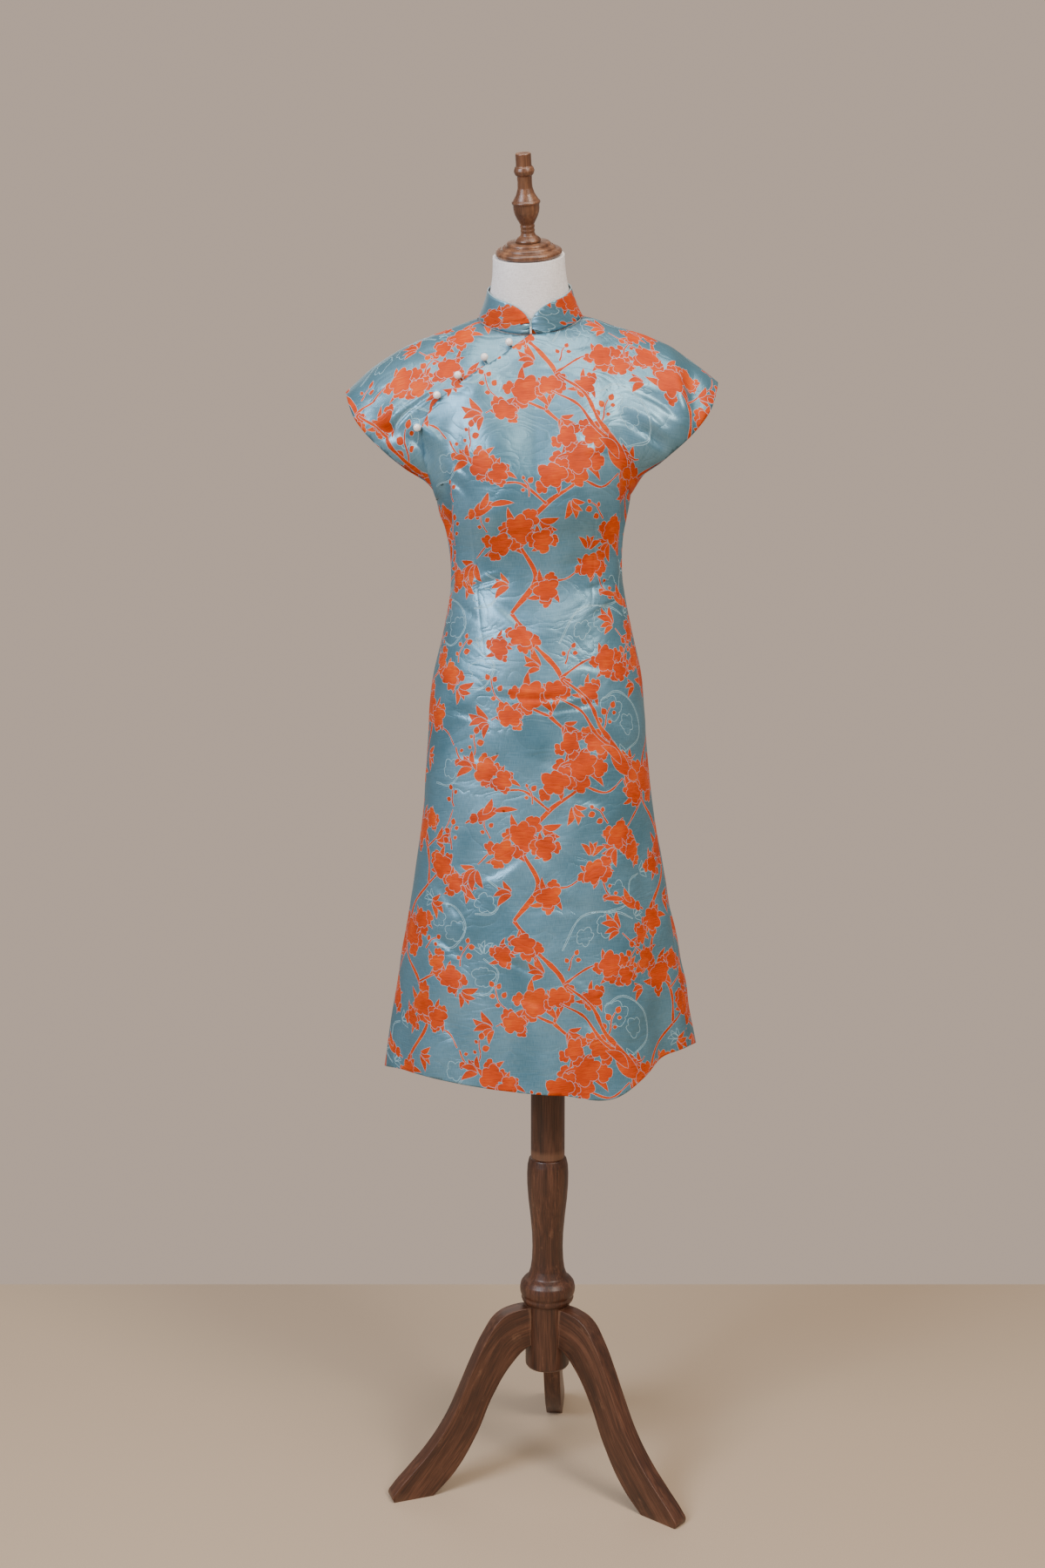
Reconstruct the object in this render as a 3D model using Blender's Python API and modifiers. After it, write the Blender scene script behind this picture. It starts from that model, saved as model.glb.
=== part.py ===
"""A cheongsam dress on a limbless dress form with a turned wooden tripod stand.

Metres, +Z up, the front of the dress towards -Y, +X on the dress's left as it is worn.
The frame's origin is on the floor, under the middle of the whole object.
The dress and the torso are worked out upright in their own frame (across, depth, height) and
then leaned a little to one side, because the torso sits askew on its pole.
"""

import functools
import math
from collections import namedtuple

import bmesh
import bpy
import numpy as np
from mathutils import Matrix, Vector
from mathutils.bvhtree import BVHTree

OBJECT = "cheongsam_on_form"

# Where the stand's upright axis meets the floor, and how the torso leans on it
STAND_X = 0.0228
STAND_Y = -0.0368
FORM_LEAN = math.radians(1.5)
LEAN_ACROSS = -0.003
LEAN_HEIGHT = 0.75

# Cloth
CLOTH = 0.0012
SEAM = 0.0003
OVERLAP = 0.016
OVERLAP_LOW = 0.3
OVERLAP_FULL = 0.25
LIFT = CLOTH + 0.0012
LIFT_FADE = 0.022

# Level of the armhole's lowest point, and the share of each panel's top edge that is neckline
UNDERARM = 1.362
NECK_SHARE = 0.42

# How round the bodice is between them, and how far the neck's corners are felt below the shoulder
FRONT_ROUNDNESS = 0.35
BACK_ROUNDNESS = 0.75
ROUND_FROM = 0.48
MIDDLE_PACE = 0.2
TOP_SOFTNESS = 0.34
SOFT_TAPS = 4

# Sections of the dress from the hem to the chest. bluntness 2 is an ellipse and less is more
# pointed at the sides, ease is the room between cloth and torso, sway is how far the cloth hangs
# to one side of the torso's axis.
Section = namedtuple("Section", "height half_width front back bluntness ease sway")
SECTIONS = (
    Section(0.580, 0.2190, 0.152, 0.148, 1.60, 0.060, -0.010),
    Section(0.680, 0.2020, 0.141, 0.140, 1.75, 0.055, -0.009),
    Section(0.755, 0.1885, 0.133, 0.134, 1.88, 0.045, -0.008),
    Section(0.850, 0.1708, 0.123, 0.128, 2.02, 0.030, -0.007),
    Section(0.950, 0.1550, 0.114, 0.122, 2.15, 0.012, -0.006),
    Section(1.050, 0.1462, 0.108, 0.117, 2.22, 0.006, -0.005),
    Section(1.125, 0.1400, 0.104, 0.106, 2.25, 0.005, -0.003),
    Section(1.190, 0.1250, 0.096, 0.092, 2.25, 0.004, -0.001),
    Section(1.250, 0.1146, 0.089, 0.082, 2.25, 0.004, 0.000),
    Section(1.310, 0.1170, 0.103, 0.090, 2.25, 0.004, 0.000),
    Section(1.345, 0.1245, 0.115, 0.097, 2.25, 0.004, 0.000),
    Section(1.362, 0.1275, 0.118, 0.099, 2.25, 0.004, 0.000),
    Section(1.400, 0.1300, 0.117, 0.101, 2.25, 0.004, 0.000),
)

# Fullness over the bust
BUST_ACROSS = 0.062
BUST_HEIGHT = 1.356
BUST_WIDTH = 0.048
BUST_ABOVE = 0.060
BUST_BELOW = 0.038
BUST_OUT = 0.011

# Hem height by angle round the skirt: 0 is the centre front, 90 the +X side
HemPoint = namedtuple("HemPoint", "angle height")
HEM = (
    HemPoint(-180, 0.6000),
    HemPoint(-130, 0.5980),
    HemPoint(-90, 0.5945),
    HemPoint(-70, 0.6010),
    HemPoint(-50, 0.6040),
    HemPoint(-30, 0.5985),
    HemPoint(-10, 0.5930),
    HemPoint(10, 0.5890),
    HemPoint(31, 0.5800),
    HemPoint(41, 0.5975),
    HemPoint(50, 0.6105),
    HemPoint(70, 0.6200),
    HemPoint(90, 0.6155),
    HemPoint(130, 0.6060),
    HemPoint(180, 0.6000),
)
HEM_LEVEL = 0.590

# Flutes of the skirt: angle and width in degrees, the height where they die out, and the swell
Flute = namedtuple("Flute", "angle width top out")
FLUTES = (
    Flute(37, 11, 1.06, 0.0070),
    Flute(56, 9, 1.00, -0.0100),
    Flute(-46, 13, 0.98, 0.0045),
    Flute(-66, 9, 0.90, -0.0055),
    Flute(-8, 16, 0.84, -0.0025),
    Flute(118, 12, 0.94, -0.0060),
    Flute(146, 15, 1.00, 0.0065),
    Flute(180, 15, 0.92, -0.0050),
    Flute(214, 15, 0.96, 0.0060),
    Flute(240, 11, 0.90, -0.0055),
)

# The side seams run a little forward (+) or backward (-) of the widest line below the hip
SEAM_TURN_RIGHT = 17.0
SEAM_TURN_LEFT = -5.0
SEAM_TURN_TOP = 1.12
SEAM_TURN_SPAN = 0.50

# Shoulder seam from the neck to the tip of the cap sleeve
ShoulderPoint = namedtuple("ShoulderPoint", "across height")
SHOULDER = (
    ShoulderPoint(0.0690, 1.5960),
    ShoulderPoint(0.1070, 1.5825),
    ShoulderPoint(0.1500, 1.5680),
    ShoulderPoint(0.1840, 1.5510),
    ShoulderPoint(0.2150, 1.5300),
    ShoulderPoint(0.2450, 1.5050),
)
SHOULDER_DEPTH = 0.004

# Neckline: half its width, its reach to the front and back and the rise or fall there
NECK_FRONT = 0.062
NECK_BACK = 0.050
NECK_FALL = 0.0315
NECK_RISE = 0.021

# Edge of the cap sleeve from the underarm to the shoulder's tip, and its bow to front and back
CuffPoint = namedtuple("CuffPoint", "share across height")
CUFF = (
    CuffPoint(0.00, 0.1275, 1.3620),
    CuffPoint(0.15, 0.1430, 1.3850),
    CuffPoint(0.35, 0.1745, 1.4070),
    CuffPoint(0.55, 0.2050, 1.4330),
    CuffPoint(0.78, 0.2310, 1.4660),
    CuffPoint(1.00, 0.2450, 1.5050),
)
CUFF_FRONT = 0.058
CUFF_BACK = 0.064
CUFF_REACH = 0.35
CUFF_PACE = 0.4

# Largest drag folds of the bodice, as straight ridges (+) and troughs (-) on the front (1) or back (-1)
Drape = namedtuple("Drape", "face across_1 height_1 across_2 height_2 width out")
DRAPES = (
    Drape(1, -0.214, 1.446, -0.160, 1.482, 0.012, 0.0035),
    Drape(1, -0.200, 1.438, -0.176, 1.452, 0.012, -0.0045),
    Drape(1, 0.178, 1.540, 0.196, 1.440, 0.011, 0.0040),
    Drape(1, 0.206, 1.518, 0.212, 1.462, 0.011, -0.0055),
    Drape(-1, -0.180, 1.530, -0.196, 1.440, 0.013, 0.0035),
    Drape(-1, 0.180, 1.530, 0.196, 1.440, 0.013, 0.0035),
    Drape(-1, -0.208, 1.505, -0.212, 1.455, 0.012, -0.0045),
    Drape(-1, 0.208, 1.505, 0.212, 1.455, 0.012, -0.0045),
)

# The slanted opening, from the underarm up to the centre front of the neck
OpeningPoint = namedtuple("OpeningPoint", "height across")
OPENING = (
    OpeningPoint(1.3620, -0.1275),
    OpeningPoint(1.3780, -0.1315),
    OpeningPoint(1.4050, -0.1400),
    OpeningPoint(1.4340, -0.1435),
    OpeningPoint(1.4600, -0.1375),
    OpeningPoint(1.4820, -0.1205),
    OpeningPoint(1.5000, -0.0955),
    OpeningPoint(1.5150, -0.0745),
    OpeningPoint(1.5365, -0.0400),
    OpeningPoint(1.5645, 0.0000),
)
OPENING_STEPS = 80

# Panels: how many columns and rows each has, and the narrow last ones beside the seams
SEAM_STRIP_ACROSS = 0.012
SEAM_STRIP_UP = 0.030
SEAM_ALLOWANCE_UP = 0.0024
FRONT_COLUMNS = 28
FRONT_NECK_COLUMNS = 12
SKIRT_ROWS = 15
BODICE_ROWS = 16
YOKE_COLUMNS = 15
YOKE_NECK_COLUMNS = 6
YOKE_COLUMNS_UNDER = 2
YOKE_START = 0.080
YOKE_SINK = 0.0030
YOKE_SINK_FROM = 0.10
BACK_NECK_COLUMNS = 8
BACK_SHOULDER_COLUMNS = 6
COLLAR_COLUMNS = 40
COLLAR_ROWS = 3

# Neck of the form and the collar round it
NECK_TOP_DEPTH = -0.033
NECK_TOP_HEIGHT = 1.668
NECK_TOP_RADIUS = 0.0503
NECK_TILT = math.radians(23.0)
NECK_ROLL = math.radians(1.0)
FINIAL_ROLL = math.radians(1.3)
NECK_HOLLOW_SIDE = 2.5
NECK_HOLLOW_FRONT = 1.0
NECK_HOLLOW_BACK = 1.5
COLLAR_WALL = 0.0016
COLLAR_SHARE = 0.44
COLLAR_END_HEIGHT = 0.009
COLLAR_CORNER = 0.036
COLLAR_CORNER_POWER = 2.2
COLLAR_END_GAP = 0.0012
COLLAR_SEAT = 0.0012

# Torso
FORM_BOTTOM = 0.86
FORM_ROWS_BELOW = 10
FORM_ROWS_ABOVE = 13
FORM_ROWS_NECK = 4
FORM_ARM = 0.70
FORM_FRONT_COLUMNS = 20
FORM_ARM_COLUMNS = 4
FORM_ARM_SWELL = 0.012
FORM_SEAT_GAP = 0.0018
FORM_EASE_CHEST = 0.0045
FORM_NECK_EASE = 0.0022

# Pearl buttons down the opening, their loops, and the bar that joins the collar's ends
PearlPlace = namedtuple("PearlPlace", "across height")
PEARLS = (
    PearlPlace(-0.0275, 1.5518),
    PearlPlace(-0.0601, 1.5336),
    PearlPlace(-0.0918, 1.5117),
    PearlPlace(-0.1203, 1.4875),
    PearlPlace(-0.1470, 1.4490),
)
PEARL_RADIUS = 0.0050
PEARL_STEPS = 8
PEARL_RINGS = 7
SHANK_RADIUS = 0.0011
SHANK_LENGTH = 0.0022
PEARL_SEAT = 0.0006
LOOP_WIRE = 0.0005
LOOP_SEAT = 0.0007
LOOP_WIDTH = 0.0019
LOOP_START = 0.0008
LOOP_TURNS = 5
HOOK_WIDTH = 0.0024
HOOK_THICKNESS = 0.0008
HOOK_HEIGHT = 0.0085

# Turned pieces: radius and height of each corner, from the top down
Turning = namedtuple("Turning", "radius height")
POLE_RADIUS = 0.0235
POLE_STEPS = 32
POLE_GAP = 0.0003
COLUMN_STEPS = 20
COLUMN = (
    Turning(0.0236, 0.4590),
    Turning(0.0258, 0.4575),
    Turning(0.0280, 0.4480),
    Turning(0.0287, 0.4360),
    Turning(0.0285, 0.4210),
    Turning(0.0270, 0.4000),
    Turning(0.0243, 0.3770),
    Turning(0.0218, 0.3500),
    Turning(0.0212, 0.3300),
    Turning(0.0219, 0.3120),
    Turning(0.0238, 0.2985),
    Turning(0.0272, 0.2885),
    Turning(0.0330, 0.2840),
    Turning(0.0372, 0.2785),
    Turning(0.0385, 0.2715),
    Turning(0.0380, 0.2650),
    Turning(0.0360, 0.2615),
    Turning(0.0360, 0.2600),
    Turning(0.0367, 0.2575),
    Turning(0.0350, 0.2530),
    Turning(0.0308, 0.2510),
    Turning(0.0308, 0.1610),
    Turning(0.0285, 0.1580),
)
CAP_STEPS = 24
CAP = (
    Turning(0.0262, 0.0170),
    Turning(0.0280, 0.0165),
    Turning(0.0288, 0.0145),
    Turning(0.0288, 0.0130),
    Turning(0.0325, 0.0126),
    Turning(0.0348, 0.0110),
    Turning(0.0352, 0.0088),
    Turning(0.0400, 0.0084),
    Turning(0.0428, 0.0064),
    Turning(0.0434, 0.0040),
    Turning(0.0424, 0.0014),
    Turning(0.0400, 0.0000),
)
FINIAL_STEPS = 14
FINIAL = (
    Turning(0.0092, 0.1255),
    Turning(0.0101, 0.1247),
    Turning(0.0101, 0.1100),
    Turning(0.0120, 0.1088),
    Turning(0.0135, 0.1043),
    Turning(0.0120, 0.1000),
    Turning(0.0097, 0.0982),
    Turning(0.0094, 0.0900),
    Turning(0.0097, 0.0840),
    Turning(0.0120, 0.0765),
    Turning(0.0150, 0.0715),
    Turning(0.0165, 0.0690),
    Turning(0.0185, 0.0672),
    Turning(0.0187, 0.0655),
    Turning(0.0172, 0.0635),
    Turning(0.0170, 0.0575),
    Turning(0.0163, 0.0535),
    Turning(0.0140, 0.0478),
    Turning(0.0108, 0.0420),
    Turning(0.0089, 0.0387),
    Turning(0.0098, 0.0365),
    Turning(0.0088, 0.0335),
    Turning(0.0096, 0.0312),
    Turning(0.0088, 0.0290),
    Turning(0.0095, 0.0270),
    Turning(0.0100, 0.0252),
    Turning(0.0135, 0.0228),
    Turning(0.0160, 0.0205),
    Turning(0.0168, 0.0188),
    Turning(0.0162, 0.0173),
)

# Legs: side view of one, as its reach from the post's axis and its height
LegPoint = namedtuple("LegPoint", "reach height")
LEG_TOP_EDGE = (
    LegPoint(0.0200, 0.2480),
    LegPoint(0.0500, 0.2470),
    LegPoint(0.0720, 0.2390),
    LegPoint(0.0920, 0.2140),
    LegPoint(0.1090, 0.1820),
    LegPoint(0.1270, 0.1430),
    LegPoint(0.1470, 0.1030),
    LegPoint(0.1730, 0.0670),
    LegPoint(0.2010, 0.0380),
    LegPoint(0.2240, 0.0150),
    LegPoint(0.2300, 0.0060),
    LegPoint(0.2280, 0.0000),
)
LEG_BOTTOM_EDGE = (
    LegPoint(0.1720, 0.0000),
    LegPoint(0.1400, 0.0300),
    LegPoint(0.1090, 0.0780),
    LegPoint(0.0850, 0.1300),
    LegPoint(0.0560, 0.1730),
    LegPoint(0.0310, 0.1930),
    LegPoint(0.0200, 0.1940),
)
LEG_THICKNESS = 0.024
LEG_BEVEL = 0.0030
LEG_CURVE_STEPS = 2
LEG_GAP = 0.0003
LEGS = (("leg_right", -40.0), ("leg_left", -160.0), ("leg_back", 85.5))

# sRGB-like linear colours, roughness and metallic of each finish
FINISHES = {
    "silk_brocade": ((0.21, 0.36, 0.42), 0.42, 0.0),
    "pearl": ((0.86, 0.86, 0.84), 0.20, 0.0),
    "silk_cord": ((0.45, 0.58, 0.62), 0.60, 0.0),
    "white_tape": ((0.80, 0.80, 0.78), 0.60, 0.0),
    "linen": ((0.72, 0.72, 0.74), 0.85, 0.0),
    "walnut": ((0.10, 0.050, 0.030), 0.45, 0.0),
    "cap_wood": ((0.28, 0.14, 0.075), 0.40, 0.0),
}


def between(table, key, field, value):
    """A table's column at any value of its key column, on a smooth curve through its rows."""
    knots = np.array([getattr(row, key) for row in table])
    heights = np.array([getattr(row, field) for row in table])
    slopes = np.gradient(heights, knots)
    value = np.clip(value, knots[0], knots[-1])
    low = np.clip(np.searchsorted(knots, value, side="right") - 1, 0, len(knots) - 2)
    span = knots[low + 1] - knots[low]
    share = (value - knots[low]) / span
    rise = heights[low + 1] - heights[low]
    blend = share * share * (3 - 2 * share)
    start_bow = share * (1 - share) ** 2 * slopes[low] * span
    end_bow = share * share * (share - 1) * slopes[low + 1] * span
    return heights[low] + rise * blend + start_bow + end_bow


def ease_in(value):
    """0 below 0, 1 above 1, and smooth between."""
    value = np.clip(value, 0.0, 1.0)
    return value * value * (3 - 2 * value)


def mix(first, second, share):
    return first + (second - first) * share


def signed_power(value, power):
    return np.sign(value) * np.abs(value) ** power


def bust_out(across, height):
    spread = np.where(height > BUST_HEIGHT, BUST_ABOVE, BUST_BELOW)
    away = ((np.abs(across) - BUST_ACROSS) / BUST_WIDTH) ** 2
    return BUST_OUT * np.exp(-away - ((height - BUST_HEIGHT) / spread) ** 2)


def flute_out(angle, height):
    """How far the skirt's flutes swell out at an angle and height."""
    out = np.zeros_like(angle)
    for flute in FLUTES:
        away = (angle - flute.angle + 180.0) % 360.0 - 180.0
        fade = np.clip((flute.top - height) / (flute.top - HEM_LEVEL), 0.0, 1.05) ** 1.4
        out = out + flute.out * fade * np.exp(-((away / flute.width) ** 2))
    return out


def oval(angle, height, ease):
    """Points of the body's section at an angle from the centre front and a height."""
    turn = np.radians(angle)
    swell = flute_out(angle, height) - ease
    half_width = between(SECTIONS, "height", "half_width", height) + swell
    front = between(SECTIONS, "height", "front", height) + swell
    back = between(SECTIONS, "height", "back", height) + swell
    power = 2.0 / between(SECTIONS, "height", "bluntness", height)
    across = half_width * signed_power(np.sin(turn), power)
    facing = signed_power(np.cos(turn), power)
    depth = -facing * np.where(facing > 0, front, back)
    depth = depth - np.where(facing > 0, bust_out(across, height), 0.0)
    across = across + between(SECTIONS, "height", "sway", height)
    return np.stack([across, depth, height], axis=-1)


def skirt_angle(face, across, height):
    """The angle round the body of a place across the front (face 1) or back (face -1)."""
    turn = np.where(across > 0, SEAM_TURN_RIGHT, SEAM_TURN_LEFT)
    turn = turn * ease_in((SEAM_TURN_TOP - height) / SEAM_TURN_SPAN)
    if face > 0:
        return across * (90.0 - turn)
    return 180.0 - across * (90.0 + turn)


def skirt_point(face, across, up):
    """Cloth from the hem (up 0) to the underarm (up 1)."""
    angle = skirt_angle(face, across, np.full_like(across, HEM_LEVEL))
    hem = between(HEM, "angle", "height", (angle + 180.0) % 360.0 - 180.0)
    height = mix(hem, UNDERARM, up)
    return oval(skirt_angle(face, across, height), height, 0.0)


def neck_edge(angle):
    """The neckline by angle round the neck: 0 is the centre front, 90 the +X side."""
    turn = np.radians(angle)
    facing = np.cos(turn)
    reach = np.where(facing > 0, NECK_FRONT, NECK_BACK)
    rise = np.where(facing > 0, -NECK_FALL * np.abs(facing) ** 1.25, NECK_RISE * np.abs(facing))
    across = SHOULDER[0].across * np.sin(turn)
    depth = SHOULDER_DEPTH - reach * facing
    return np.stack([across, depth, SHOULDER[0].height + rise], axis=-1)


def top_edge(face, across):
    """A panel's top edge: the neckline in the middle and a shoulder seam on each side."""
    share = np.abs(across)
    angle = np.clip(share / NECK_SHARE, 0.0, 1.0) * 90.0
    if face < 0:
        angle = 180.0 - angle
    neck = neck_edge(np.where(across < 0, -1.0, 1.0) * angle)
    along = np.clip((share - NECK_SHARE) / (1 - NECK_SHARE), 0.0, 1.0)
    out = mix(SHOULDER[0].across, SHOULDER[-1].across, along)
    height = between(SHOULDER, "across", "height", out)
    depth = SHOULDER_DEPTH * (1 - along)
    seam = np.stack([np.sign(across) * out, depth, height], axis=-1)
    return np.where((share > NECK_SHARE)[..., None], seam, neck)


def cuff_edge(face, side, up):
    """The sleeve's edge from the underarm (up 0) to the shoulder's tip (up 1)."""
    share = mix((1 - np.cos(up * math.pi)) / 2, np.sin(up * math.pi / 2), CUFF_PACE)
    turn = np.arccos(np.clip(1 - 2 * share, -1.0, 1.0))
    across = side * between(CUFF, "share", "across", share)
    height = between(CUFF, "share", "height", share)
    bow = -CUFF_FRONT if face > 0 else CUFF_BACK
    return np.stack([across, bow * np.sin(turn), height], axis=-1)


def soft_top_edge(face, across, up):
    """The top edge as lower rows feel it: its corners at the neck are rounded off more and more."""
    reach = TOP_SOFTNESS * (1.0 - np.clip(up, 0.0, 1.0) ** 2)
    reach = np.minimum(reach, np.clip(1.0 - np.abs(across), 0.0, 1.0))
    total = 0.0
    point = 0.0
    for tap in range(-SOFT_TAPS, SOFT_TAPS + 1):
        weight = math.cos(math.pi / 2 * tap / (SOFT_TAPS + 1)) ** 2
        point = point + weight * top_edge(face, across + reach * tap / SOFT_TAPS)
        total = total + weight
    return point / total


def bodice_point(face, across, up):
    """Cloth from the underarm (up 0) to the neckline and shoulder seams (up 1)."""
    share = np.abs(across)
    side = np.where(across < 0, -1.0, 1.0)
    level = np.full_like(across, UNDERARM)
    low = oval(skirt_angle(face, across, level), level, 0.0)
    high = soft_top_edge(face, across, up)
    middle = FRONT_ROUNDNESS if face > 0 else BACK_ROUNDNESS
    roundness = mix(middle, 1.0, ease_in(share / ROUND_FROM))
    rising = mix(up, np.sin(up * math.pi / 2), mix(MIDDLE_PACE, 1.0, roundness))
    closing = mix(rising, 1 - np.cos(up * math.pi / 2), roundness)
    course = np.stack([rising, closing, rising], axis=-1)
    point = low + (high - low) * course
    low_end = np.stack([side * CUFF[0].across, 0 * up, CUFF[0].height + 0 * up], axis=-1)
    high_end = np.stack([side * CUFF[-1].across, 0 * up, CUFF[-1].height + 0 * up], axis=-1)
    bow = cuff_edge(face, side, up) - mix(low_end, high_end, rising[..., None])
    weight = ease_in((share - CUFF_REACH) / (1 - CUFF_REACH)) ** 1.2
    return point + bow * weight[..., None]


def plain_point(face, across, up):
    """The dress's outer surface before its folds: up runs 0 to 1 on the skirt, 1 to 2 on the bodice."""
    skirt = skirt_point(face, across, np.clip(up, 0.0, 1.0))
    bodice = bodice_point(face, across, np.clip(up - 1.0, 0.0, 1.0))
    return np.where((up < 1.0)[..., None], skirt, bodice)


def outward(face, across, up):
    """Unit vectors that point out of the dress's surface."""
    step = 0.004
    right = plain_point(face, np.minimum(across + step, 1.0), up)
    left = plain_point(face, np.maximum(across - step, -1.0), up)
    above = plain_point(face, across, np.minimum(up + step, 2.0))
    below = plain_point(face, across, np.maximum(up - step, 0.0))
    normal = face * np.cross(right - left, above - below)
    return normal / np.maximum(np.linalg.norm(normal, axis=-1, keepdims=True), 1e-12)


def drape_out(face, point):
    """Swell of the bodice's drag folds at points of the surface."""
    out = np.zeros(point.shape[:-1])
    for drape in DRAPES:
        if drape.face != face:
            continue
        start = np.array([drape.across_1, drape.height_1])
        run = np.array([drape.across_2, drape.height_2]) - start
        offset = point[..., [0, 2]] - start
        share = np.clip(offset @ run / (run @ run), 0.0, 1.0)
        away = np.linalg.norm(offset - share[..., None] * run, axis=-1)
        body = 0.35 + 0.65 * np.sin(math.pi * share)
        out = out + drape.out * body * np.exp(-((away / drape.width) ** 2))
    return out


def dress_point(face, across, up, lift):
    point = plain_point(face, across, up)
    out = drape_out(face, point) + lift
    return point + outward(face, across, up) * out[..., None]


def surface_at(across, height):
    """The places across and levels where the front has given positions in the front view."""
    low_up = np.full_like(across, 1.0)
    high_up = np.full_like(across, 2.0)
    for _ in range(22):
        up = (low_up + high_up) / 2
        low = np.full_like(across, -1.0)
        high = np.full_like(across, 1.0)
        for _ in range(22):
            place = (low + high) / 2
            left_of_it = plain_point(1, place, up)[..., 0] < across
            low = np.where(left_of_it, place, low)
            high = np.where(left_of_it, high, place)
        below = plain_point(1, place, up)[..., 2] < height
        low_up = np.where(below, up, low_up)
        high_up = np.where(below, high_up, up)
    return place, up


@functools.lru_cache
def opening_path():
    """The opening on the surface: shares of the way along it, places across and levels."""
    height = np.linspace(OPENING[0].height, OPENING[-1].height, OPENING_STEPS + 1)
    across = between(OPENING, "height", "across", height)
    place, up = surface_at(across, height)
    place[0] = -1.0
    up[0] = 1.0
    place[-1] = 0.0
    up[-1] = 2.0
    steps = np.linalg.norm(np.diff(plain_point(1, place, up), axis=0), axis=-1)
    length = np.concatenate([[0.0], np.cumsum(steps)])
    return (length / length[-1] + up - 1.0) / 2, place, up


def opening_at(share):
    """The opening's place across and level at a share of the way along it."""
    shares, place, up = opening_path()
    return np.interp(share, shares, place), np.interp(share, shares, up)


def shifted(face, across, up, vector):
    """The place and level reached by a small move along the surface."""
    step = 0.004
    here = plain_point(face, across, up)
    right = (plain_point(face, across + step, up) - here) / step
    above = (here - plain_point(face, across, up - step)) / step
    rr = np.sum(right * right, axis=-1)
    ra = np.sum(right * above, axis=-1)
    aa = np.sum(above * above, axis=-1)
    vr = np.sum(vector * right, axis=-1)
    va = np.sum(vector * above, axis=-1)
    whole = rr * aa - ra * ra
    return across + (vr * aa - va * ra) / whole, up + (va * rr - vr * ra) / whole


def across_size(face, across, up):
    """Metres of cloth for one unit across."""
    step = 0.01
    left = plain_point(face, across - step, up)
    right = plain_point(face, across + step, up)
    return np.linalg.norm(right - left, axis=-1) / (2 * step)


def lean(points):
    """From the dress's upright frame to the object's."""
    across = points[..., 0]
    height = points[..., 2] - LEAN_HEIGHT
    x = STAND_X + LEAN_ACROSS + across * math.cos(FORM_LEAN) - height * math.sin(FORM_LEAN)
    z = LEAN_HEIGHT + across * math.sin(FORM_LEAN) + height * math.cos(FORM_LEAN)
    return np.stack([x, points[..., 1] + STAND_Y, z], axis=-1)


def lean_matrix():
    """The same as lean, as a matrix for objects that are placed whole."""
    to_frame = Matrix.Translation((STAND_X + LEAN_ACROSS, STAND_Y, LEAN_HEIGHT))
    turn = Matrix.Rotation(-FORM_LEAN, 4, "Y")
    return to_frame @ turn @ Matrix.Translation((0, 0, -LEAN_HEIGHT))


def material(finish):
    colour, roughness, metallic = FINISHES[finish]
    made = bpy.data.materials.new(finish)
    made.use_nodes = True
    shader = made.node_tree.nodes["Principled BSDF"]
    shader.inputs["Base Color"].default_value = (*colour, 1.0)
    shader.inputs["Roughness"].default_value = roughness
    shader.inputs["Metallic"].default_value = metallic
    made.diffuse_color = (*colour, 1.0)
    return made


def add_object(name, data, finish, parts):
    made = bpy.data.objects.new(name, data)
    parts.objects.link(made)
    data.materials.append(material(finish))
    return made


def shade_round(mesh, degrees):
    mesh.shade_smooth()
    mesh.set_sharp_from_angle(angle=math.radians(degrees))


def grid_mesh(name, columns, rows, place, inside_out):
    """A grid whose corners (u, v) from 0 to 1 go where place says."""
    work = bmesh.new()
    bmesh.ops.create_grid(work, x_segments=columns, y_segments=rows, size=1.0)
    flat = np.array([corner.co[:2] for corner in work.verts])
    for corner, spot in zip(work.verts, place((flat[:, 0] + 1) / 2, (flat[:, 1] + 1) / 2)):
        corner.co = spot
    if inside_out:
        bmesh.ops.reverse_faces(work, faces=work.faces)
    mesh = bpy.data.meshes.new(name)
    work.to_mesh(mesh)
    work.free()
    shade_round(mesh, 50)
    return mesh


def cloth_wall(made, thickness):
    wall = made.modifiers.new("wall", "SOLIDIFY")
    wall.thickness = thickness
    wall.offset = -1.0
    wall.use_even_offset = True
    wall.use_quality_normals = True
    return made


def top_rows(row, rows):
    """Even rows from 0 to 1, with a narrow last one beside the top seam."""
    return np.interp(row, (0, rows - 1, rows), (0.0, 1.0 - SEAM_STRIP_UP, 1.0))


def rise_of_rows(v):
    """From the row share of a whole panel's grid to a level."""
    row = v * (SKIRT_ROWS + BODICE_ROWS)
    below = np.clip(row / SKIRT_ROWS, 0.0, 1.0)
    return np.where(row < SKIRT_ROWS, below, 1 + top_rows(row - SKIRT_ROWS, BODICE_ROWS))


def column_place(column, stations, places):
    """Places across for grid columns, even between the stations of each row."""
    place = places[0]
    for k in range(len(stations) - 1):
        share = np.clip((column - stations[k]) / (stations[k + 1] - stations[k]), 0.0, 1.0)
        place = np.where(column > stations[k] + 0.001, mix(places[k], places[k + 1], share), place)
    return place


def inside_edges(across, up, face):
    """Draws a panel back from its side, shoulder and neck seams by half the seam's gap."""
    limit = 1.0 - SEAM / across_size(face, 0 * across + 0.9, up)
    top = 2.0 - np.where(np.abs(across) < NECK_SHARE - 0.01, 0.0060, SEAM_ALLOWANCE_UP)
    return np.clip(across, -limit, limit), np.minimum(up, top)


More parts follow.
